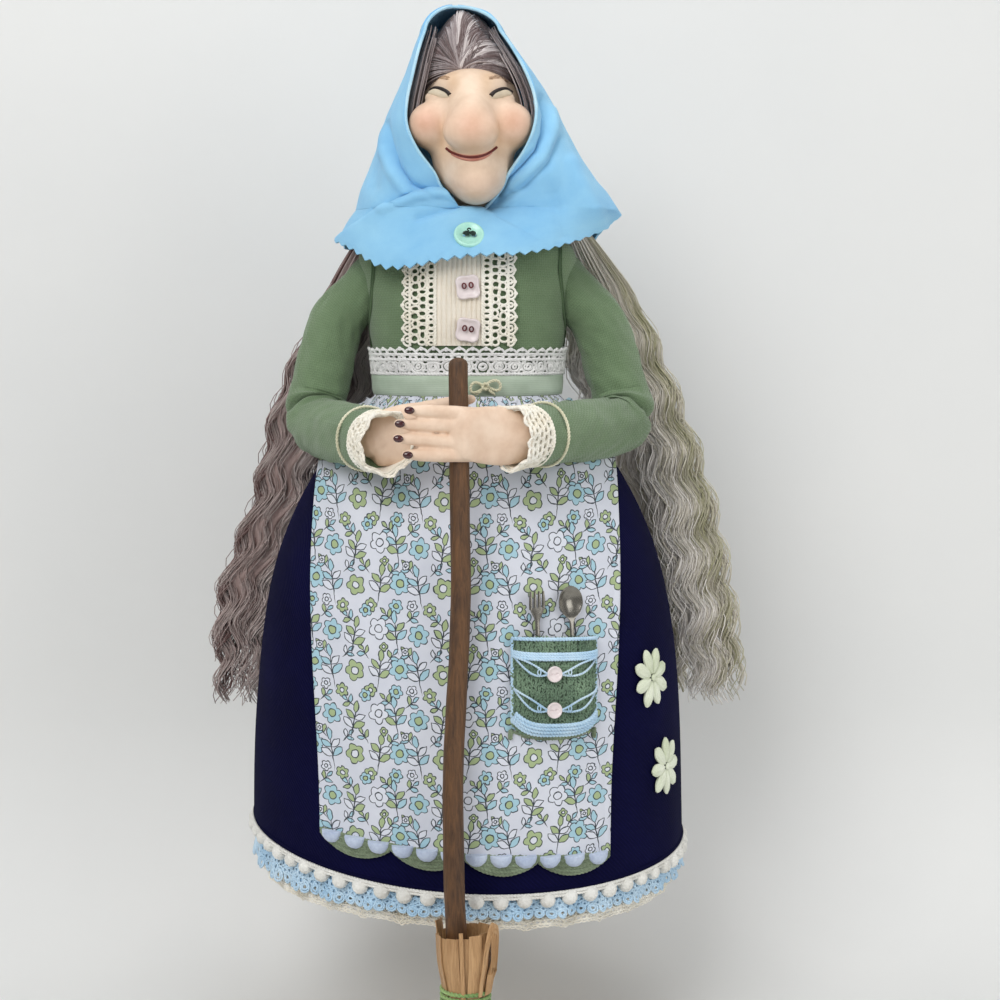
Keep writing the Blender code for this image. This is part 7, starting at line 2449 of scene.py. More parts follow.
@dataclass
class Skirt(Assembly):
    """The navy skirt with its pompoms, its two crochet frills and its flowers."""

    top: float = 0.1803
    hem_roll: float = 0.0011
    poms: int = 62
    pom_radius: float = 0.0029
    blue_drop: float = 0.0095
    left_drop: float = 0.75
    right_drop: float = 0.25
    blue_inset: float = 0.0018
    cream_drop: float = 0.0062
    cream_fold: float = 0.0160
    cream_inset: float = 0.0034
    flowers: tuple[tuple[str, float, float, float], ...] = (("upper", 56.0, 0.0756, 0.3), ("lower", 61.3, 0.0402, 0.0))
    flower_radius: float = 0.0112

    def build(self) -> None:
        """Makes the skirt and everything round its hem."""
        def outer(u: float, v: float) -> Vector:
            """The skirt's outer face, slack over its stuffing."""
            angle = around(u)
            low = SKIRT.hem_height(angle) + self.hem_roll
            height = between(low, self.top, v)
            slack = 0.0005 * noise.noise(Vector((math.sin(angle) * 3, math.cos(angle) * 3, height * 22)))
            gather = 0.0006 * smooth((v - 0.72) / 0.28) * math.sin(34 * angle)
            point = SKIRT.over(angle, min(height, SKIRT.top - 0.0002), SKIRT.cloth + slack + gather)
            point.z = height
            return point
        mesh = surface_mesh(320, 110, outer, (0.53, 0.178), True)
        skirt = put("skirt_cloth", cloth(mesh, 0.0009, -1), self.shop.navy, "doll", ["skirt"])
        fold = []
        for step in range(260):
            angle = around(step / 260)
            fold.append(SKIRT.over(angle, SKIRT.hem_height(angle) + self.hem_roll * 0.9, SKIRT.cloth - 0.0006))
        self.shop.sew("skirt_hem_roll", [Line(fold, closed=True)], self.hem_roll, 10, self.shop.navy, "doll", (),
                      "navy_twill")
        self.trims()
        for name, angle, height, spin in self.flowers:
            self.flower(name, math.radians(angle), height, spin)

    def trims(self) -> None:
        """Works the pompoms and the two frills."""
        random.seed(41)
        hem = Round()
        places, sizes = [], []
        for step in range(self.poms):
            angle = around((step + 0.5) / self.poms)
            centre = SKIRT.over(angle, SKIRT.hem_height(angle), 0.0004)
            centre.z = SKIRT.hem_height(angle) - self.pom_radius * 0.92 + random.uniform(-0.0002, 0.0002)
            places.append(Matrix.Translation(centre) @ Matrix.Rotation(random.uniform(0, 6.28), 4,
                          Vector((random.uniform(-1, 1), random.uniform(-1, 1), random.uniform(-1, 1)))))
            sizes.append(random.uniform(0.93, 1.06))
        unit = fuzzy_ball(self.pom_radius, self.shop.white_pom)
        balls = self.shop.scatter(places, sizes, unit, self.shop.white_pom)

        def tape(along: float, across: float, out: float) -> Vector:
            """Carries the pompoms' tape along the hem; across counts up."""
            angle = hem.angle(along)
            point = SKIRT.over(angle, SKIRT.hem_height(angle), 0.0008 + out)
            point.z = SKIRT.hem_height(angle) + across
            return point
        cords = self.shop.thread(twist(tape, 0, hem.whole, -0.0003, 0.0006)
                                 + twist(tape, 0, hem.whole, -0.0014, 0.0005, 0.0019), 0.00042, 5, self.shop.white_pom)
        put("hem_pompoms", merged([balls, cords]), self.shop.white_pom, "doll", ["hem_pom_trim"], 180)

        def blue(along: float, across: float, out: float) -> Vector:
            """Carries the blue crochet under the hem; across counts down."""
            angle = hem.angle(along)
            share = max(0.0, across / self.blue_drop)
            across *= self.longer(angle)
            wave = 0.0013 * (1 + math.cos(31 * angle)) * share + 0.0006 * share
            point = SKIRT.over(angle, SKIRT.hem_height(angle), wave - self.blue_inset + out)
            point.z = SKIRT.hem_height(angle) - across
            return point
        lines = []
        for row in range(4):
            lines += rings(lambda a, c, o, row=row: blue(a + 0.0012 * row, c, o), 0, hem.whole,
                           0.0012 + 0.0017 * row, 0.0024, (0.00095, 0.00078), 0.10)
        for size in ((0.0017, 0.0015), (0.0010, 0.0008)):
            lines += rings(blue, 0, hem.whole, 0.0079, 0.0042, size, 0.05)
        self.shop.sew("blue_crochet_frill", lines, 0.00048, 4, self.shop.blue_lace, "doll", ["blue_frill"], "blue_lace",
                      180)
        ground = surface_mesh(360, 6, lambda u, v: blue(hem.whole * u, between(0.0076, -0.0006, v), -0.0003),
                              (hem.whole, 0.009), True)
        put("blue_frill_ground", cloth(ground, 0.0004, -1), self.shop.blue_net, "doll", ())

        def cream(along: float, across: float, out: float) -> Vector:
            """Carries the cream lace; across counts up from its lower edge."""
            angle = hem.angle(along)
            fold = abs(math.cos(math.pi * along / self.cream_fold))
            lowest = SKIRT.hem_height(angle) - self.blue_drop * self.longer(angle) - self.cream_drop + 0.0022 * fold
            wave = 0.0013 * math.cos(2 * math.pi * along / self.cream_fold)
            point = SKIRT.over(angle, SKIRT.hem_height(angle), wave - self.cream_inset + out)
            point.z = lowest + across
            return point
        lines = arches(cream, 0, hem.whole, 0.0010, round(hem.whole / 0.0022), 0.0010, 0.0003, False)
        lines += twist(cream, 0, hem.whole, 0.0010, 0.0003) + twist(cream, 0, hem.whole, 0.0028, 0.0003)
        for height, pitch, size in ((0.0019, 0.0021, (0.0009, 0.0006)), (0.0040, 0.0026, (0.0011, 0.0008)),
                                    (0.0058, 0.0026, (0.0011, 0.0008))):
            lines += rings(cream, 0, hem.whole, height, pitch, size, 0.2)
        self.shop.sew("cream_lace_frill", lines, 0.00032, 4, self.shop.cream_lace, "doll", ["cream_frill"],
                      "cream_lace", 180)
        ground = surface_mesh(360, 6, lambda u, v: cream(hem.whole * u, between(0.0026, 0.0110, v), -0.0004),
                              (hem.whole, 0.009), True)
        put("cream_frill_ground", cloth(ground, 0.0004, -1), self.shop.cream_lace, "doll", ())

    def longer(self, angle: float) -> float:
        """How much further the frills hang at the sides, most at the doll's right."""
        grown = self.left_drop if math.sin(angle) < 0 else self.right_drop
        return 1 + grown * math.sin(angle) ** 2

    def flower(self, name: str, angle: float, height: float, spin: float) -> None:
        """Sews one flower of eight wound petals.

        Args:
            name: The flower's name.
            angle: Where it is, from the front towards +X.
            height: Where it is.
            spin: How far it's turned.
        """
        def petal(u: float, v: float) -> Vector:
            """A wound petal that points along x."""
            along = between(0.0015, self.flower_radius, 0.5 - 0.5 * math.cos(math.pi * v))
            share = (along - 0.0015) / (self.flower_radius - 0.0015)
            wide = 0.0026 * math.sin(math.pi * min(max(share, 0.02), 0.985)) ** 0.5 * (0.62 + 0.52 * share)
            turn = 2 * math.pi * u
            ridge = 1 + 0.10 * math.sin(9 * turn) + 0.05 * noise.noise(Vector((along * 900, turn, spin)))
            return Vector((along, wide * math.cos(turn) * ridge, 0.0011 * math.sin(turn) * ridge
                           * math.sin(math.pi * min(max(share, 0.03), 0.97)) ** 0.4 + 0.0002))
        parts = []
        for step in range(8):
            turn = 2 * math.pi * step / 8 + spin
            part = capped(36, 18, petal)
            part.transform(Matrix.Rotation(turn, 4, "Z") @ Matrix.Scale(1 + 0.05 * math.sin(3 * step), 4))
            parts.append(part)
        parts.append(ball(Vector((0, 0, 0.0008)), (0.0014, 0.0013, 0.0006), 18, 10))
        whole = merged(parts)
        for vertex in whole.vertices:
            x, y, out = vertex.co
            point_angle = angle + x / SKIRT.half_width(height) * 1.02
            vertex.co = SKIRT.over(point_angle, height + y, SKIRT.on_skirt + 0.0004 + max(out, -0.0004))
        put(f"flower_petals_{name}", whole, self.shop.petal, "doll", [f"flower_{name}"], 180)


def fuzzy_ball(radius: float, material: bpy.types.Material) -> bpy.types.Object:
    """Makes a small clipped pompom.

    Args:
        radius: Its radius.
        material: Its finish.
    Returns:
        The pompom, which is a unit to repeat.
    """
    shape = bmesh.new()
    bmesh.ops.create_icosphere(shape, subdivisions=4, radius=radius)
    for vertex in shape.verts:
        way = vertex.co.normalized()
        tuft = noise.noise(way * 5.5) * 0.07 + noise.noise(way * 17) * 0.10
        vertex.co *= 1 + tuft
    mesh = ended(shape, "pompom")
    mesh.materials.append(material)
    mesh.shade_smooth()
    return bpy.data.objects.new("pompom", mesh)


@dataclass
class Apron(Assembly):
    """The printed apron with its ruffle, felt balls and crochet scallops."""

    top: float = 0.1775
    ruffle_top: float = 0.1808
    ruffle_bottom: float = 0.1690
    balls: int = 12
    ball_radius: float = 0.0040
    scallops: int = 4
    half_low: float = 0.0518
    half_high: float = 0.0556

    def build(self) -> None:
        """Makes the apron and its trims."""
        random.seed(43)

        def face(u: float, v: float) -> Vector:
            """The apron's outer face, with soft folds that run down it."""
            share = 2 * u - 1
            low = SKIRT.apron_bottom(share * self.half_low)
            height = between(low, self.top, v)
            half = between(self.half_low, self.half_high, smooth((height - 0.030) / 0.095))
            angle = share * math.asin(min(half / SKIRT.half_width(height), 0.99))
            x = math.sin(angle) * SKIRT.half_width(height)
            soft = 0.0007 * noise.noise(Vector((x * 46, 1.7, height * 14))) * smooth((1 - v) * 8)
            soft += 0.0006 * max(0.0, 1 - abs(abs(share) - 0.985) / 0.03)
            gather = 0.0006 * math.sin(x * 1500) * smooth((v - 0.86) / 0.14)
            return SKIRT.over(angle, height, SKIRT.on_skirt + SKIRT.apron_cloth + 0.0001 + soft + gather)
        mesh = surface_mesh(170, 160, face, (0.122, 0.158))
        for loop, uv in zip(mesh.loops, mesh.uv_layers[0].data):
            point = mesh.vertices[loop.vertex_index].co
            uv.uv = (point.x * 1.03 + 0.2, point.z + 0.1)
        apron = put("apron_cloth", cloth(mesh, 0.0007, -1), self.shop.print_cloth, "doll", ["apron"])
        self.ruffle()
        self.trims()

    def ruffle(self) -> None:
        """Gathers the cloth's turned-down top into a ruffle."""
        def face(u: float, v: float) -> Vector:
            """The ruffle's outer face."""
            share = 2 * u - 1
            height = between(self.ruffle_bottom + 0.0012 * math.sin(9 * share), self.ruffle_top, v)
            angle = share * 1.25
            deep = 0.0018 * (1 - v) + 0.0003
            pleat = deep * (0.5 + 0.5 * math.sin(58 * share + 3 * math.sin(5 * share)))
            flare = 0.0042 * (1 - v) ** 1.3
            point = SKIRT.over(angle, min(height, SKIRT.top - 0.0003), SKIRT.on_apron + 0.0006 + flare + pleat)
            point.z = height
            return point
        mesh = surface_mesh(300, 18, face, (0.19, 0.014))
        ruffle = put("apron_ruffle", cloth(mesh, 0.0005, 0), self.shop.print_cloth, "doll", ["apron_top_lace"])

    def trims(self) -> None:
        """Sews the felt balls and the scallops under the lower edge."""
        half = self.half_low - 0.0004
        pitch = 2 * half / self.balls
        parts = []
        for step in range(self.balls):
            x = -half + pitch * (step + 0.5)
            z = SKIRT.apron_bottom(x) - 0.0004
            seat = SKIRT.front(x, z, SKIRT.on_skirt + 0.0010)
            out = (seat - SKIRT.front(x, z, 0)).normalized()
            frame = facing(seat, out)

            def bead(u: float, v: float, frame: Matrix = frame, step: int = step) -> Vector:
                """A felt ball's lower half."""
                turn = 2 * math.pi * u
                rise = math.pi * (v - 0.5)
                x = self.ball_radius * math.cos(rise) * math.cos(turn)
                y = self.ball_radius * math.sin(rise)
                deep = 0.0029 * math.cos(rise) * math.sin(turn)
                fuzz = 1 + 0.05 * noise.noise(Vector((x * 900, y * 900, deep * 900 + step)))
                return frame @ Vector((x * fuzz, min(y, 0.0006) * fuzz, deep * fuzz))
            parts.append(capped(36, 24, bead))
        put("apron_felt_balls", merged(parts), self.shop.lilac_pom, "doll", ["apron_pom_trim"], 180)

        def lay(along: float, across: float, out: float) -> Vector:
            """Carries the crochet under the apron's edge; across counts down."""
            return SKIRT.front(along, SKIRT.apron_bottom(along) - across, SKIRT.on_skirt + 0.0001 + out)
        lines = twist(lay, -half, half, 0.0004, 0.0005)
        rows = 7
        for row in range(rows):
            def hung(along: float, across: float, out: float, row: int = row) -> Vector:
                """Carries one crochet row; the rows together hang in wide scallops."""
                drop = 0.0016 + 0.0058 * abs(math.sin(self.scallops * math.pi * (along + half) / (2 * half))) ** 0.7
                return lay(along, drop * (row + 0.7) / rows - across, out + 0.0003 * (row % 2))
            lines += twist(hung, -half, half, 0.0, 0.00045, 0.0022 + 0.0001 * row)
        self.shop.sew("apron_sage_scallops", lines, 0.00056, 5, self.shop.sage_lace, "doll", ["apron_scallop_trim"],
                      "sage_lace", 180)


@dataclass
class Pocket(Assembly):
    """The knitted pocket with its crochet edges, buttons, loops, fork and spoon."""

    x: float = 0.0306
    top: float = 0.0958
    half_width: float = 0.0145
    height: float = 0.0348
    corner_rise: float = 0.0045
    room: float = 0.0038
    columns: int = 22
    rows: int = 34
    button_share: float = -0.12
    tilt: float = 0.0010
    button_drops: tuple[float, float] = (0.0122, 0.0245)
    button_radius: float = 0.0029
    spoon_x: float = 0.0378
    fork_x: float = 0.0256
    standoff: float = 0.0010
    seat: float = 0.0050

    def low(self, share: float) -> float:
        """Height of the lower edge at a share across, from -1 to 1."""
        return self.top - self.height + self.corner_rise * abs(share) ** 4

    def at(self, share: float, rise: float, out: float = 0.0) -> Vector:
        """Finds a place over the pocket.

        Args:
            share: Across, from -1 to 1.
            rise: Up, from 0 to 1.
            out: How far out of the inner face.
        Returns:
            The point.
        """
        height = between(self.low(share), self.top, rise) - self.tilt * share
        edge = min(abs(share), 1.0)
        room = self.room * (1 - edge**6) * (1 - max(0.0, 1 - rise) ** 14 if rise < 1 else 1)
        return SKIRT.front(self.x + self.half_width * share, height, SKIRT.on_apron + room + out)

    def build(self) -> None:
        """Makes the pocket and what it carries."""
        random.seed(47)
        panel = surface_mesh(40, 36, lambda u, v: self.at(2 * u - 1, v, 0.0008), (0.031, 0.033))
        unit = self.stitch()
        places, sizes = [], []
        for row in range(self.rows):
            for column in range(self.columns):
                share = (column + 0.5 + random.uniform(-0.2, 0.2)) / self.columns * 2 - 1
                rise = (row + 0.5 + random.uniform(-0.2, 0.2)) / self.rows
                seat = self.at(share, rise, 0.0011)
                out = (seat - self.at(share, rise, 0)).normalized()
                frame = facing(seat, out)
                tilt = Matrix.Rotation(random.uniform(-0.9, 0.9), 4, "Z")
                places.append(frame @ tilt)
                sizes.append(random.uniform(0.9, 1.35))
        knit = self.shop.scatter(places, sizes, unit, self.shop.knit)
        put("pocket_knit", merged([cloth(panel, 0.0008, -1), knit]), self.shop.knit, "doll", ["pocket"],
            180)
        self.edges()
        self.fastenings()
        self.spoon()
        self.fork()

    def stitch(self) -> bpy.types.Object:
        """Makes one knitted stitch, a V of two plump strands.

        Returns:
            The stitch, which is a unit to repeat.
        """
        wide, high = self.half_width * 2 / self.columns, self.height / self.rows
        parts = []
        for side in (-1, 1):
            def strand(u: float, v: float, side: int = side) -> Vector:
                """One side of the V."""
                turn = 2 * math.pi * u
                fat = wide * 0.235 * math.sin(math.pi * min(max(v, 0.03), 0.97)) ** 0.45
                x = side * between(0.10, 0.36, v) * wide + fat * math.cos(turn)
                z = 0.00045 * math.sin(math.pi * v) + fat * 0.8 * math.sin(turn)
                return Vector((x, (v - 0.45) * high * 1.55, z))
            parts.append(capped(8, 6, strand))
        mesh = merged(parts)
        mesh.materials.append(self.shop.knit)
        mesh.shade_smooth()
        return bpy.data.objects.new("stitch", mesh)

    def edges(self) -> None:
        """Works the pale-blue crochet round the pocket and across it."""
        lines = []
        top = [self.at(share, 0.985, 0.0019) for share in spans(12)]
        lines += ropes(top, 0.0006, 0.0024)
        for rise in (0.790, 0.815, 0.840):
            lines += ropes([self.at(share, rise, 0.0022) for share in spans(12)],
                           0.0005, 0.0022)
        for side in (-1, 1):
            lines += ropes([self.at(side * 0.985, 0.03 + 0.95 * step / 14, 0.0016) for step in range(15)],
                           0.0006, 0.0024)
        for row, rise in enumerate((0.030, 0.066, 0.102, 0.138)):
            lines += ropes([self.at(share * (0.99 - 0.02 * row), rise + 0.035 * abs(share) ** 3, 0.0020 + 0.0002 * row)
                            for share in spans(14)], 0.0007, 0.0024)
        self.shop.sew("pocket_blue_crochet", lines, 0.00046, 6, self.shop.blue_lace, "doll", ["pocket_trim"],
                      "blue_lace", 180)
        edge = []
        for row in range(4):
            edge += ropes([self.at(share * 1.02, 0.030 - 0.026 * row - self.corner_rise * abs(share) ** 4 / self.height,
                                   0.0010) for share in spans(14)], 0.0006, 0.0024)
        self.shop.sew("pocket_sage_edge", edge, 0.0006, 6, self.shop.sage_lace, "doll", (), "sage_lace", 180)

    def fastenings(self) -> None:
        """Sews the two buttons and the thread loops that hold them."""
        for name, drop in zip(("upper", "lower"), self.button_drops):
            rise = 1 - drop / self.height
            seat = self.at(self.button_share, rise, 0.0034)
            out = (seat - self.at(self.button_share, rise, 0)).normalized()
            frame = facing(seat, out)
            put(f"pocket_button_face_{name}", two_hole_button(frame, self.button_radius, 0.0015, 0.0005, 0.0013),
                self.shop.white_button, "doll", [f"pocket_button_{name}"], 35)
            lines = []
            for side in (-1, 1):
                for strand in (-1, 1):
                    loop = []
                    for step in range(12):
                        t = step / 11
                        share = side * between(0.14, 0.97, t) + self.button_share * (1 - t)
                        up = 0.0017 * strand * math.sin(math.pi * t) + 0.0048 * t**1.6
                        loop.append(self.at(share, rise + up / self.height,
                                            0.0026 + 0.0009 * (1 - t) + 0.0003 * strand * math.sin(9 * t)))
                    lines += ropes(loop, 0.00035, 0.0018)
                knot = [self.at(side * 0.34 + self.button_share + 0.035 * math.cos(turn),
                                rise + (0.0006 + 0.0010 * math.sin(turn)) / self.height, 0.0036)
                        for turn in circle(10)]
                lines.append(Line(knot, closed=True, width=1.6))
            self.shop.sew(f"pocket_loops_{name}", lines, 0.00026, 5, self.shop.blue_cord, "doll",
                          [f"pocket_loop_{name}"], "blue_cord", 180)

    def frame(self, x: float) -> Matrix:
        """Where a fork or spoon stands behind the pocket: its foot, x right, y up, z out."""
        middle = self.low((x - self.x) / self.half_width) + self.height / 2
        seat = SKIRT.front(x, middle, SKIRT.on_apron - 0.0002 + self.standoff + 0.0005)
        out = (seat - SKIRT.front(x, middle, 0)).normalized()
        right = (SKIRT.front(x + 0.0005, middle, 0) - SKIRT.front(x - 0.0005, middle, 0)).normalized()
        up = out.cross(right).normalized()
        turn = Matrix((right, up, out)).transposed().to_4x4()
        return Matrix.Translation(seat - up * (self.height / 2 - self.seat)) @ turn

    def spoon(self) -> None:
        """Makes the spoon with its dished bowl."""
        frame = self.frame(self.spoon_x)
        # distance up, half width and dish
        outline = ((0.0, 0.0004, 0.0), (0.0010, 0.0012, 0.0), (0.0060, 0.0011, 0.0), (0.0200, 0.0009, 0.0),
                   (0.0345, 0.0009, 0.0), (0.0362, 0.0014, 0.0002), (0.0384, 0.0036, 0.0012), (0.0415, 0.0048, 0.0021),
                   (0.0448, 0.0043, 0.0018), (0.0470, 0.0026, 0.0006), (0.0480, 0.0004, 0.0))

        def place(u: float, v: float) -> Vector:
            """A section of the spoon: front face, edge and back face."""
            up = 0.0480 * (0.5 - 0.5 * math.cos(math.pi * v)) if v > 0.5 else between(0, 0.0240, v * 2)
            half, dish = from_table(outline, min(up, 0.04799))
            half = max(half, 0.00025)
            turn = 2 * math.pi * u
            across = math.cos(turn)
            front = math.sin(turn) > 0
            thick = 0.00042 * abs(math.sin(turn)) ** 0.5
            bowl = -dish * (1 - across * across)
            return frame @ Vector((half * across, up, bowl + (thick if front else -thick)))
        put("spoon_steel", capped(40, 110, place), self.shop.steel, "spoon_body", ["spoon"], 50)

    def fork(self) -> None:
        """Makes the fork with its four tines."""
        frame = self.frame(self.fork_x)

        def bar(left: Callable[[float], float], right: Callable[[float], float], low: float,
                high: float) -> bpy.types.Mesh:
            """Makes a flat bar between two edges."""
            def place(u: float, v: float) -> Vector:
                """A point of the bar's section."""
                up = between(low, high, v)
                turn = 2 * math.pi * u
                across = 0.5 + 0.5 * math.copysign(abs(math.cos(turn)) ** 0.6, math.cos(turn))
                x = between(left(v), right(v), across)
                return frame @ Vector((x, up, 0.00042 * math.copysign(abs(math.sin(turn)) ** 0.6, math.sin(turn))
                                       + 0.0004 * smooth((up - 0.034) / 0.013)))
            return capped(16, 20, place)
        parts = [bar(lambda v: -between(0.0011, 0.0008, v), lambda v: between(0.0011, 0.0008, v), 0.0, 0.0362),
                 bar(lambda v: -between(0.0008, 0.0027, smooth(v)), lambda v: between(0.0008, 0.0027, smooth(v)),
                     0.0358, 0.0412)]
        for index in range(4):
            middle = -0.00235 + 0.00157 * index
            parts.append(bar(lambda v, m=middle: m - between(0.00062, 0.00034, v ** 3),
                             lambda v, m=middle: m + between(0.00062, 0.00034, v ** 3), 0.0405, 0.0470))
        put("fork_steel", merged(parts), self.shop.steel, "fork_body", ["fork"], 50)


# --- Hands and broom ----------------------------------------------------------------------


@dataclass
class Hand(Assembly):
    """One modelled clay hand on the end of its arm."""

    name: str
    elbow: tuple[float, float, float]
    wrist: tuple[float, float, float]
    knuckles: tuple[float, float, float]
    tips: tuple[float, float, float]
    share: float = 1.0
    nails: bool = True
    palm_half: float = 0.0104
    palm_thickness: float = 0.0036
    finger_radius: float = 0.00248
    pitch: float = 0.0051
    finger_length: float = 0.0235
    lengths: tuple[float, ...] = (0.93, 1.06, 1.07, 0.92)
    wrist_radius: float = 0.0062

    def build(self) -> None:
        """Makes the hand and its painted nails."""
        wrist, knuckles, tips = Vector(self.wrist), Vector(self.knuckles), Vector(self.tips)
        forearm = (wrist - Vector(self.elbow)).normalized()
        reach = (tips - knuckles).normalized()
        width = Vector((0, 0, 1))
        width = (width - reach * width.dot(reach)).normalized()
        out = reach.cross(width)
        if out.y > 0:
            out = -out
        palm_way = (knuckles - wrist).normalized()
        palm_out = palm_way.cross(width).normalized()
        if palm_out.dot(out) < 0:
            palm_out = -palm_out
        parts = []

        def palm(u: float, v: float) -> Vector:
            """The palm and the back of the hand, from the wrist to past the knuckles."""
            turn = 2 * math.pi * u
            ends = math.sin(math.pi * between(0.06, 0.97, v)) ** 0.35
            if v < 0.3:
                centre = (wrist - forearm * 0.0100).lerp(wrist, v / 0.3)
            elif v < 0.8:
                centre = wrist.lerp(knuckles, (v - 0.3) / 0.5)
            else:
                centre = knuckles + (reach * 0.0055 - out * 0.0014) * (v - 0.8) / 0.2
            facing_out = palm_out.lerp(out, v).normalized()
            thick = between(0.0078, self.palm_thickness, smooth(v / 0.62)) * (1 - 0.35 * smooth((v - 0.62) / 0.38))
            swell = between(0.88, 1.0, smooth(v / 0.6))
            return (centre + width * math.cos(turn) * self.palm_half * swell * ends
                    + facing_out * math.sin(turn) * thick * ends)
        parts.append(capped(28, 18, palm))
        stub = [wrist - forearm * 0.0115, wrist - forearm * 0.004, wrist, wrist.lerp(knuckles, 0.35)]
        parts.append(self.limb(stub, [1.0, 1.02, 1.0, 0.75], self.wrist_radius))
        nails = []
        for index, length_share in enumerate(self.lengths):
            offset = width * self.pitch * (1.5 - index)
            length = self.finger_length * length_share * self.share
            base = knuckles + offset * 0.93 - palm_way * self.finger_radius * 2.4 - palm_out * 0.0014
            tip = knuckles + offset * (1 + 0.03 * (index - 1.5)) + reach * length
            sag = width * 0.0006 * math.sin(2.1 * index)
            path = [base, base.lerp(tip, 0.33) + out * 0.0008 + sag, base.lerp(tip, 0.66) + out * 0.0006,
                    base.lerp(tip, 0.9), tip]
            parts.append(self.limb(path, [0.95, 1.04, 0.98, 0.93, 0.55], self.finger_radius))
            if self.nails:
                middle = tip - reach * 0.0022 + out * self.finger_radius * 0.80
                nails.append((middle, reach, out, width))
        whole = merged(parts)
        soft = modified(whole, [("REMESH", {"mode": "VOXEL", "voxel_size": 0.00042, "use_smooth_shade": True}),
                                ("SMOOTH", {"factor": 0.5, "iterations": 8})])
        normals = [vertex.normal.copy() for vertex in soft.vertices]
        for vertex, normal in zip(soft.vertices, normals):
            here = vertex.co
            dent = 0.00010 * noise.noise(here * 260) + 0.00022 * noise.noise(here * 90)
            along = (here - knuckles).dot(reach)
            crease = sum(math.exp(-((along - at) / 0.00035) ** 2) for at in (0.0062, 0.0072, 0.0128)) * 0.00006
            vertex.co = here + normal * (dent - crease * max(normal.dot(out), 0))
        put(f"hand_clay_{self.name}", soft, self.shop.hand, "doll", [f"hand_{self.name}"], 180)
        if nails:
            shells = []
            for middle, reach, out, width in nails:
                frame = Matrix((width, reach, out)).transposed().to_4x4()

                def plate(u: float, v: float, frame: Matrix = frame, middle: Vector = middle) -> Vector:
                    """An oval nail, domed across the finger."""
                    turn, rise = 2 * math.pi * u, math.pi * (v - 0.5)
                    x = 0.00130 * math.cos(rise) * math.cos(turn)
                    y = 0.00175 * math.cos(rise) * math.sin(turn)
                    dome = -0.36 * x * x / 0.00130 - 0.12 * y * y / 0.00175
                    return middle + frame.to_3x3() @ Vector((x, y, dome + 0.00042 * math.sin(rise) + 0.00030))
                shells.append(capped(30, 12, plate))
            put(f"nails_{self.name}", merged(shells), self.shop.nail, "doll", (), 180)

    @staticmethod
    def limb(path: Sequence[Vector], shares: Sequence[float], radius: float) -> bpy.types.Mesh:
        """Makes a round limb with a rounded end.

        Args:
            path: Its middle line.
            shares: Its radius at each point, as a share.
            radius: Its full radius.
        Returns:
            The closed mesh.
        """
        spacing = radius * 0.22
        fine = resampled(path, spacing)
        sides = frames(fine)
        last = len(fine) - 1

        def place(u: float, v: float) -> Vector:
            """The limb's skin, rounded off at its end."""
            index = round(v * last)
            at = index / last * (len(shares) - 1)
            low = min(int(at), len(shares) - 2)
            reach = radius * between(shares[low], shares[low + 1], at - low)
            left = (last - index) * radius * 0.22 / reach
            if left < 1:
                reach *= math.sqrt(max(1 - (1 - left) ** 2, 0.02))
            _, side, lift = sides[index]
            turn = 2 * math.pi * u
            return fine[index] + (side * math.cos(turn) + lift * math.sin(turn)) * reach
        return capped(20, last, place)


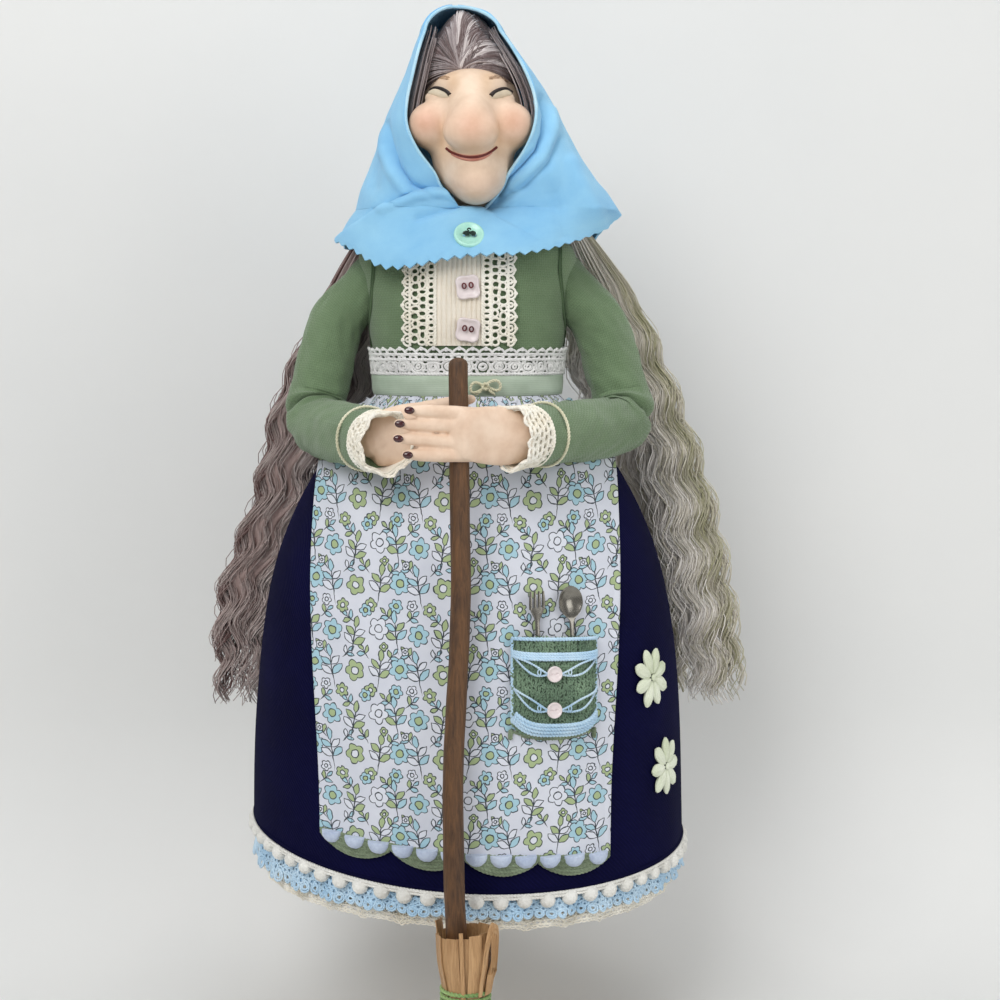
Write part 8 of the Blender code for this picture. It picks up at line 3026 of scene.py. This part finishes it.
@dataclass
class Broom(Assembly):
    """The branch handle, the bound splints and the cord round them."""

    top: tuple[float, float, float] = (-0.0018, -0.0710, 0.1959)
    foot: tuple[float, float, float] = (0.0009, -0.0978, -0.0240)
    radius: float = 0.0034
    brush_top: float = -0.0022
    brush_length: float = 0.0780
    brush_radius: float = 0.0092
    # distance down, radius as a share, flatness
    profile: tuple[tuple[float, float, float], ...] = (
        (0.00, 1.00, 0.00), (0.12, 0.95, 0.00), (0.24, 0.79, 0.00), (0.33, 0.79, 0.00), (0.45, 1.20, 0.10),
        (0.70, 1.85, 0.30), (1.00, 2.35, 0.42))
    tie: float = 0.232
    tie_turns: int = 4
    tie_pitch: float = 0.0019
    tie_radius: float = 0.0007
    splint_count: int = 150
    cup_count: int = 16
    curl_count: int = 7

    def __post_init__(self) -> None:
        """Sets the broom's own axes."""
        self.head, self.end = Vector(self.top), Vector(self.foot)
        self.down = (self.end - self.head).normalized()
        side = Vector((1, 0, 0))
        self.side = (side - self.down * side.dot(self.down)).normalized()
        self.back = self.down.cross(self.side)
        if self.back.y < 0:
            self.back = -self.back
        self.start = self.head + self.down * ((self.brush_top - self.head.z) / self.down.z)

    def spot(self, down: float, turn: float, share: float) -> Vector:
        """Finds a place in the brush.

        Args:
            down: The share of the brush's length.
            turn: The angle from the side, through the front.
            share: The share of the way out.
        Returns:
            The point.
        """
        radius, flat = from_table(self.profile, min(max(down, 0.0), 1.0))
        reach = self.brush_radius * radius * share
        return (self.start + self.down * self.brush_length * down + self.side * math.cos(turn) * reach
                - self.back * math.sin(turn) * reach * (1 - flat))

    def build(self) -> None:
        """Makes the broom."""
        length = (self.end - self.head).length

        def branch(u: float, v: float) -> Vector:
            """The peeled branch, a little uneven, with a rounded top."""
            turn = 2 * math.pi * u
            along = length * v if v > 0.03 else length * 0.03 * (v / 0.03) ** 1.6
            dome = math.sqrt(max(1 - max(1 - along / 0.0026, 0) ** 2, 0.0004))
            knot = 0.06 * noise.noise(Vector((math.cos(turn), math.sin(turn), along * 60)))
            groove = 0.018 * noise.noise(Vector((4 * math.cos(turn), 4 * math.sin(turn), along * 25)))
            reach = self.radius * between(1.0, 1.10, v) * dome * (1 + knot + groove)
            bend = 0.0036 * smooth((v - 0.35) / 0.35) * (1 - 0.33 * smooth((v - 0.80) / 0.20))
            return (self.head + self.down * along + self.side * (math.cos(turn) * reach - bend)
                    + self.back * math.sin(turn) * reach)
        put("broom_branch", capped(40, 200, branch, (0.0214, length)), self.shop.handle, "broom", ["broom_handle"])
        self.splints()
        self.cord()

    def splints(self) -> None:
        """Lays the long splints, the upright cup over them and the loose curls."""
        random.seed(53)
        thin, broad = [], []
        for index in range(self.splint_count):
            turn = 2 * math.pi * index / self.splint_count * 3.0 + random.uniform(-0.05, 0.05)
            share = (0.97, 0.80, 0.62)[index % 3] + random.uniform(-0.04, 0.02)
            low = random.uniform(0.93, 1.0)
            drift = random.uniform(-0.10, 0.10)
            points, outs = [], []
            for step in range(24):
                down = between(0.10, low, step / 23)
                bow = 0.05 * math.sin(3.1 * down + index)
                points.append(self.spot(down, turn + drift * down, share + bow * down))
                outs.append((self.side * math.cos(turn) - self.back * math.sin(turn)).normalized())
            thin.append(Line(points, shade=random.random(), out=outs))
        for index in range(self.cup_count):
            turn = 2 * math.pi * index / self.cup_count + random.uniform(-0.06, 0.06)
            layer = index % 2
            high = random.uniform(-0.05, 0.005) if layer else random.uniform(-0.018, 0.012)
            points, outs = [], []
            for step in range(18):
                down = between(high, 0.31, step / 17)
                out = self.side * math.cos(turn) - self.back * math.sin(turn)
                place = self.spot(max(down, 0.0), turn, 1.0 + 0.07 * layer)
                place += self.down * self.brush_length * min(down, 0.0) + out * 0.0010 * smooth(-down * 12)
                points.append(place)
                outs.append(out.normalized())
            broad.append(Line(points, shade=random.random(), out=outs))
        # One narrow strip stands up at the front, and a looped bundle curls at its right.
        strip, outs = [], []
        for step in range(18):
            down = between(-0.030, 0.30, step / 17)
            turn = math.pi * 0.5 + 0.10
            strip.append(self.spot(max(down, 0.0), turn, 1.16) + self.down * self.brush_length * min(down, 0.0)
                         + Vector((0.0003 * math.sin(5 * down), -0.0004 * down, 0)))
            outs.append(-self.back)
        narrow = [Line(strip, shade=0.9, out=outs)]
        for index in range(self.curl_count):
            points, outs = [], []
            wide = between(0.0030, 0.0068, index / (self.curl_count - 1))
            high = between(-0.020, -0.060, (index * 3 % self.curl_count) / (self.curl_count - 1))
            for step in range(26):
                sweep = math.pi * (step / 25)
                turn = math.pi * 0.5 - 0.62 - wide / self.brush_radius * (0.5 - 0.5 * math.cos(sweep))
                down = between(0.26, high, math.sin(sweep) ** 0.8)
                out = self.side * math.cos(turn) - self.back * math.sin(turn)
                lift = 0.0012 + 0.0016 * math.sin(sweep) + 0.0004 * index % 3 * 0.0004
                points.append(self.spot(max(down, 0.0), turn, 1.08)
                              + self.down * self.brush_length * min(down, 0.0) + out * lift)
                outs.append((out * math.cos(sweep * 0.6) + self.side * 0.6 * math.sin(sweep)).normalized())
            narrow.append(Line(points, shade=random.random(), out=outs))
        brush, rim, loose = [
            self.shop.splints.run(lines_mesh(lines), {"Width": width, "Thickness": 0.00035,
                                                      "Material": self.shop.splint})
            for lines, width in ((thin, 0.0019), (broad, 0.0046), (narrow, 0.0014))]
        core = capped(40, 24, lambda u, v: self.spot(between(0.16, 0.94, v), 2 * math.pi * u, 0.60))
        shaded(core, 0.1)
        put("broom_splint_brush", merged([brush, core, rim, loose]), self.shop.splint, "broom", ["broom_splints"],
            40)

    def cord(self) -> None:
        """Winds the green cord round the splints."""
        waist = from_table(self.profile, 0.28)[0] * self.brush_radius * 1.08 + self.tie_radius
        path = []
        for step in range(self.tie_turns * 20 + 1):
            turn = 2 * math.pi * step / 20
            along = self.tie * self.brush_length + self.tie_pitch * step / 20
            path.append(self.start + self.down * along + self.side * math.cos(turn) * waist
                        + self.back * math.sin(turn) * waist)
        self.shop.sew("broom_cord_tie", ropes(path, self.tie_radius, 0.0030), self.tie_radius * 0.62, 6,
                      self.shop.green_cord, "broom", ["broom_tie"], "green_cord", 180)


# --- Studio and the doll ------------------------------------------------------------------


@dataclass
class Studio:
    """The camera, the plain backdrop and the lamps."""

    target: tuple[float, float, float] = (0.0128, 0.0, 0.1384)
    distance: float = 0.600
    elevation: float = 6.0
    lens: float = 54.0
    floor: float = -0.0822
    wall: float = 0.1350
    run: float = 0.75
    bend: float = 0.10
    rise: float = 0.9
    half: float = 1.1

    def camera(self) -> None:
        """Sets the camera where the photographer stood."""
        data = bpy.data.cameras.new("camera")
        data.lens = self.lens
        data.sensor_width = 36.0
        data.clip_start = 0.01
        camera = linked("camera", data)
        rise = math.radians(self.elevation)
        way = Vector((0, -math.cos(rise), math.sin(rise)))
        camera.location = Vector(self.target) + way * self.distance - RING_PLACE
        camera.rotation_euler = way.to_track_quat("Z", "Y").to_euler()
        bpy.context.scene.camera = camera

    def lamp(self, name: str, place: Sequence[float], size: float, power: float) -> None:
        """Hangs a soft lamp that looks at the doll.

        Args:
            name: The lamp's name.
            place: Where it hangs.
            size: Its side.
            power: Its power in watts.
        """
        data = bpy.data.lights.new(name, "AREA")
        data.shape = "SQUARE"
        data.size = size
        data.energy = power
        lamp = linked(name, data)
        lamp.location = Vector(place) - RING_PLACE
        lamp.rotation_euler = (Vector(place) - Vector((0, 0, 0.13))).to_track_quat("Z", "Y").to_euler()

    def build(self) -> None:
        """Makes the backdrop, the lamps and the room's light."""
        material, tree, shader = new_material("pale_grey_paper")
        # Matt paper, barely mottled: the eye gets an even pale ground.
        mottle = noise_at(tree, object_point(tree), 9.0, 4.0)
        fill(tree, shader, {"Base Color": mixed(tree, mottle, "E2E3E2", "E9E9E7"), "Roughness": 0.95,
                            "Specular IOR Level": 0.1})

        def sweep(u: float, v: float) -> Vector:
            """Paper that runs along the floor and curves up behind."""
            run, bend = self.run, self.bend
            at = v * (run + bend * math.pi / 2 + self.rise)
            x = between(-self.half, self.half, u)
            if at < run:
                return Vector((x, self.wall - bend - run + at, self.floor))
            if at < run + bend * math.pi / 2:
                turn = (at - run) / bend
                return Vector((x, self.wall - bend + bend * math.sin(turn), self.floor + bend * (1 - math.cos(turn))))
            return Vector((x, self.wall, self.floor + bend + at - run - bend * math.pi / 2))
        mesh = surface_mesh(8, 90, sweep, (2.2, 1.9))
        mesh.transform(Matrix.Translation(-RING_PLACE))
        mesh.materials.append(material)
        mesh.shade_smooth()
        linked("backdrop", mesh)
        self.lamp("key_lamp", (-0.35, -0.75, 0.75), 0.55, 5.6)
        self.lamp("fill_lamp", (0.70, -0.60, 0.35), 0.60, 2.3)
        self.lamp("top_lamp", (0.05, 0.05, 0.95), 0.50, 2.2)
        world = bpy.data.worlds.new("room")
        world.use_nodes = True
        world.node_tree.nodes["Background"].inputs["Color"].default_value = (1.0, 1.0, 1.0, 1.0)
        world.node_tree.nodes["Background"].inputs["Strength"].default_value = 0.36
        bpy.context.scene.world = world
        bpy.context.scene.view_settings.view_transform = "Standard"


class Doll:
    """The whole doll, piece by piece."""

    def __init__(self) -> None:
        """Opens the workshop."""
        self.shop = Workshop()

    def build(self) -> None:
        """Builds every sub-assembly in turn."""
        shop = self.shop
        scarf = Scarf(shop)
        left, right = (-0.0315, -0.0640, 0.1662), (0.0195, -0.0700, 0.1680)
        assemblies = (
            Broom(shop), Head(shop), scarf, HairCap(shop, scarf), Locks(shop), Bodice(shop),
            Sleeve(shop, "left", -1, left, elbow=(0.0618, -0.0070, 0.1688), extend=0.0100, cuff_rows=3),
            Sleeve(shop, "right", 1, right, extend=0.0032),
            Skirt(shop), Apron(shop), Pocket(shop),
            Hand(shop, "front", (0.0650, -0.0070, 0.1685), right, (0.0010, -0.0814, 0.1696),
                 (-0.0240, -0.0822, 0.1710)),
            Hand(shop, "back", (-0.0650, -0.0070, 0.1685), left, (-0.0130, -0.0660, 0.1715),
                 (0.0070, -0.0664, 0.1745), 0.85, False))
        for assembly in assemblies:
            assembly.build()

    def dress_rest(self, nodes: dict) -> None:
        """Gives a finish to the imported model's pieces that stay in view or inside.

        Args:
            nodes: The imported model's objects by name.
        """
        shop = self.shop
        finishes = {"torso_core": shop.wadding, "skirt_form": shop.wadding, "base_disc": shop.card,
                    "arm_wire_left": shop.steel, "arm_wire_right": shop.steel, "neck_dowel": shop.splint,
                    "hanging_ring": shop.brass, "ring_tab": shop.navy}
        for name, finish in finishes.items():
            materials = nodes[name].data.materials
            materials.clear()
            materials.append(finish)
            LOG.info("%s: dressed", name)


def main() -> None:
    """Builds the scene."""
    logging.basicConfig(level=logging.INFO, format="%(message)s")
    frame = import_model()
    studio = Studio()
    studio.camera()
    doll = Doll()
    doll.build()
    doll.dress_rest(frame["nodes"])
    studio.build()


if __name__ == "__main__":
    main()
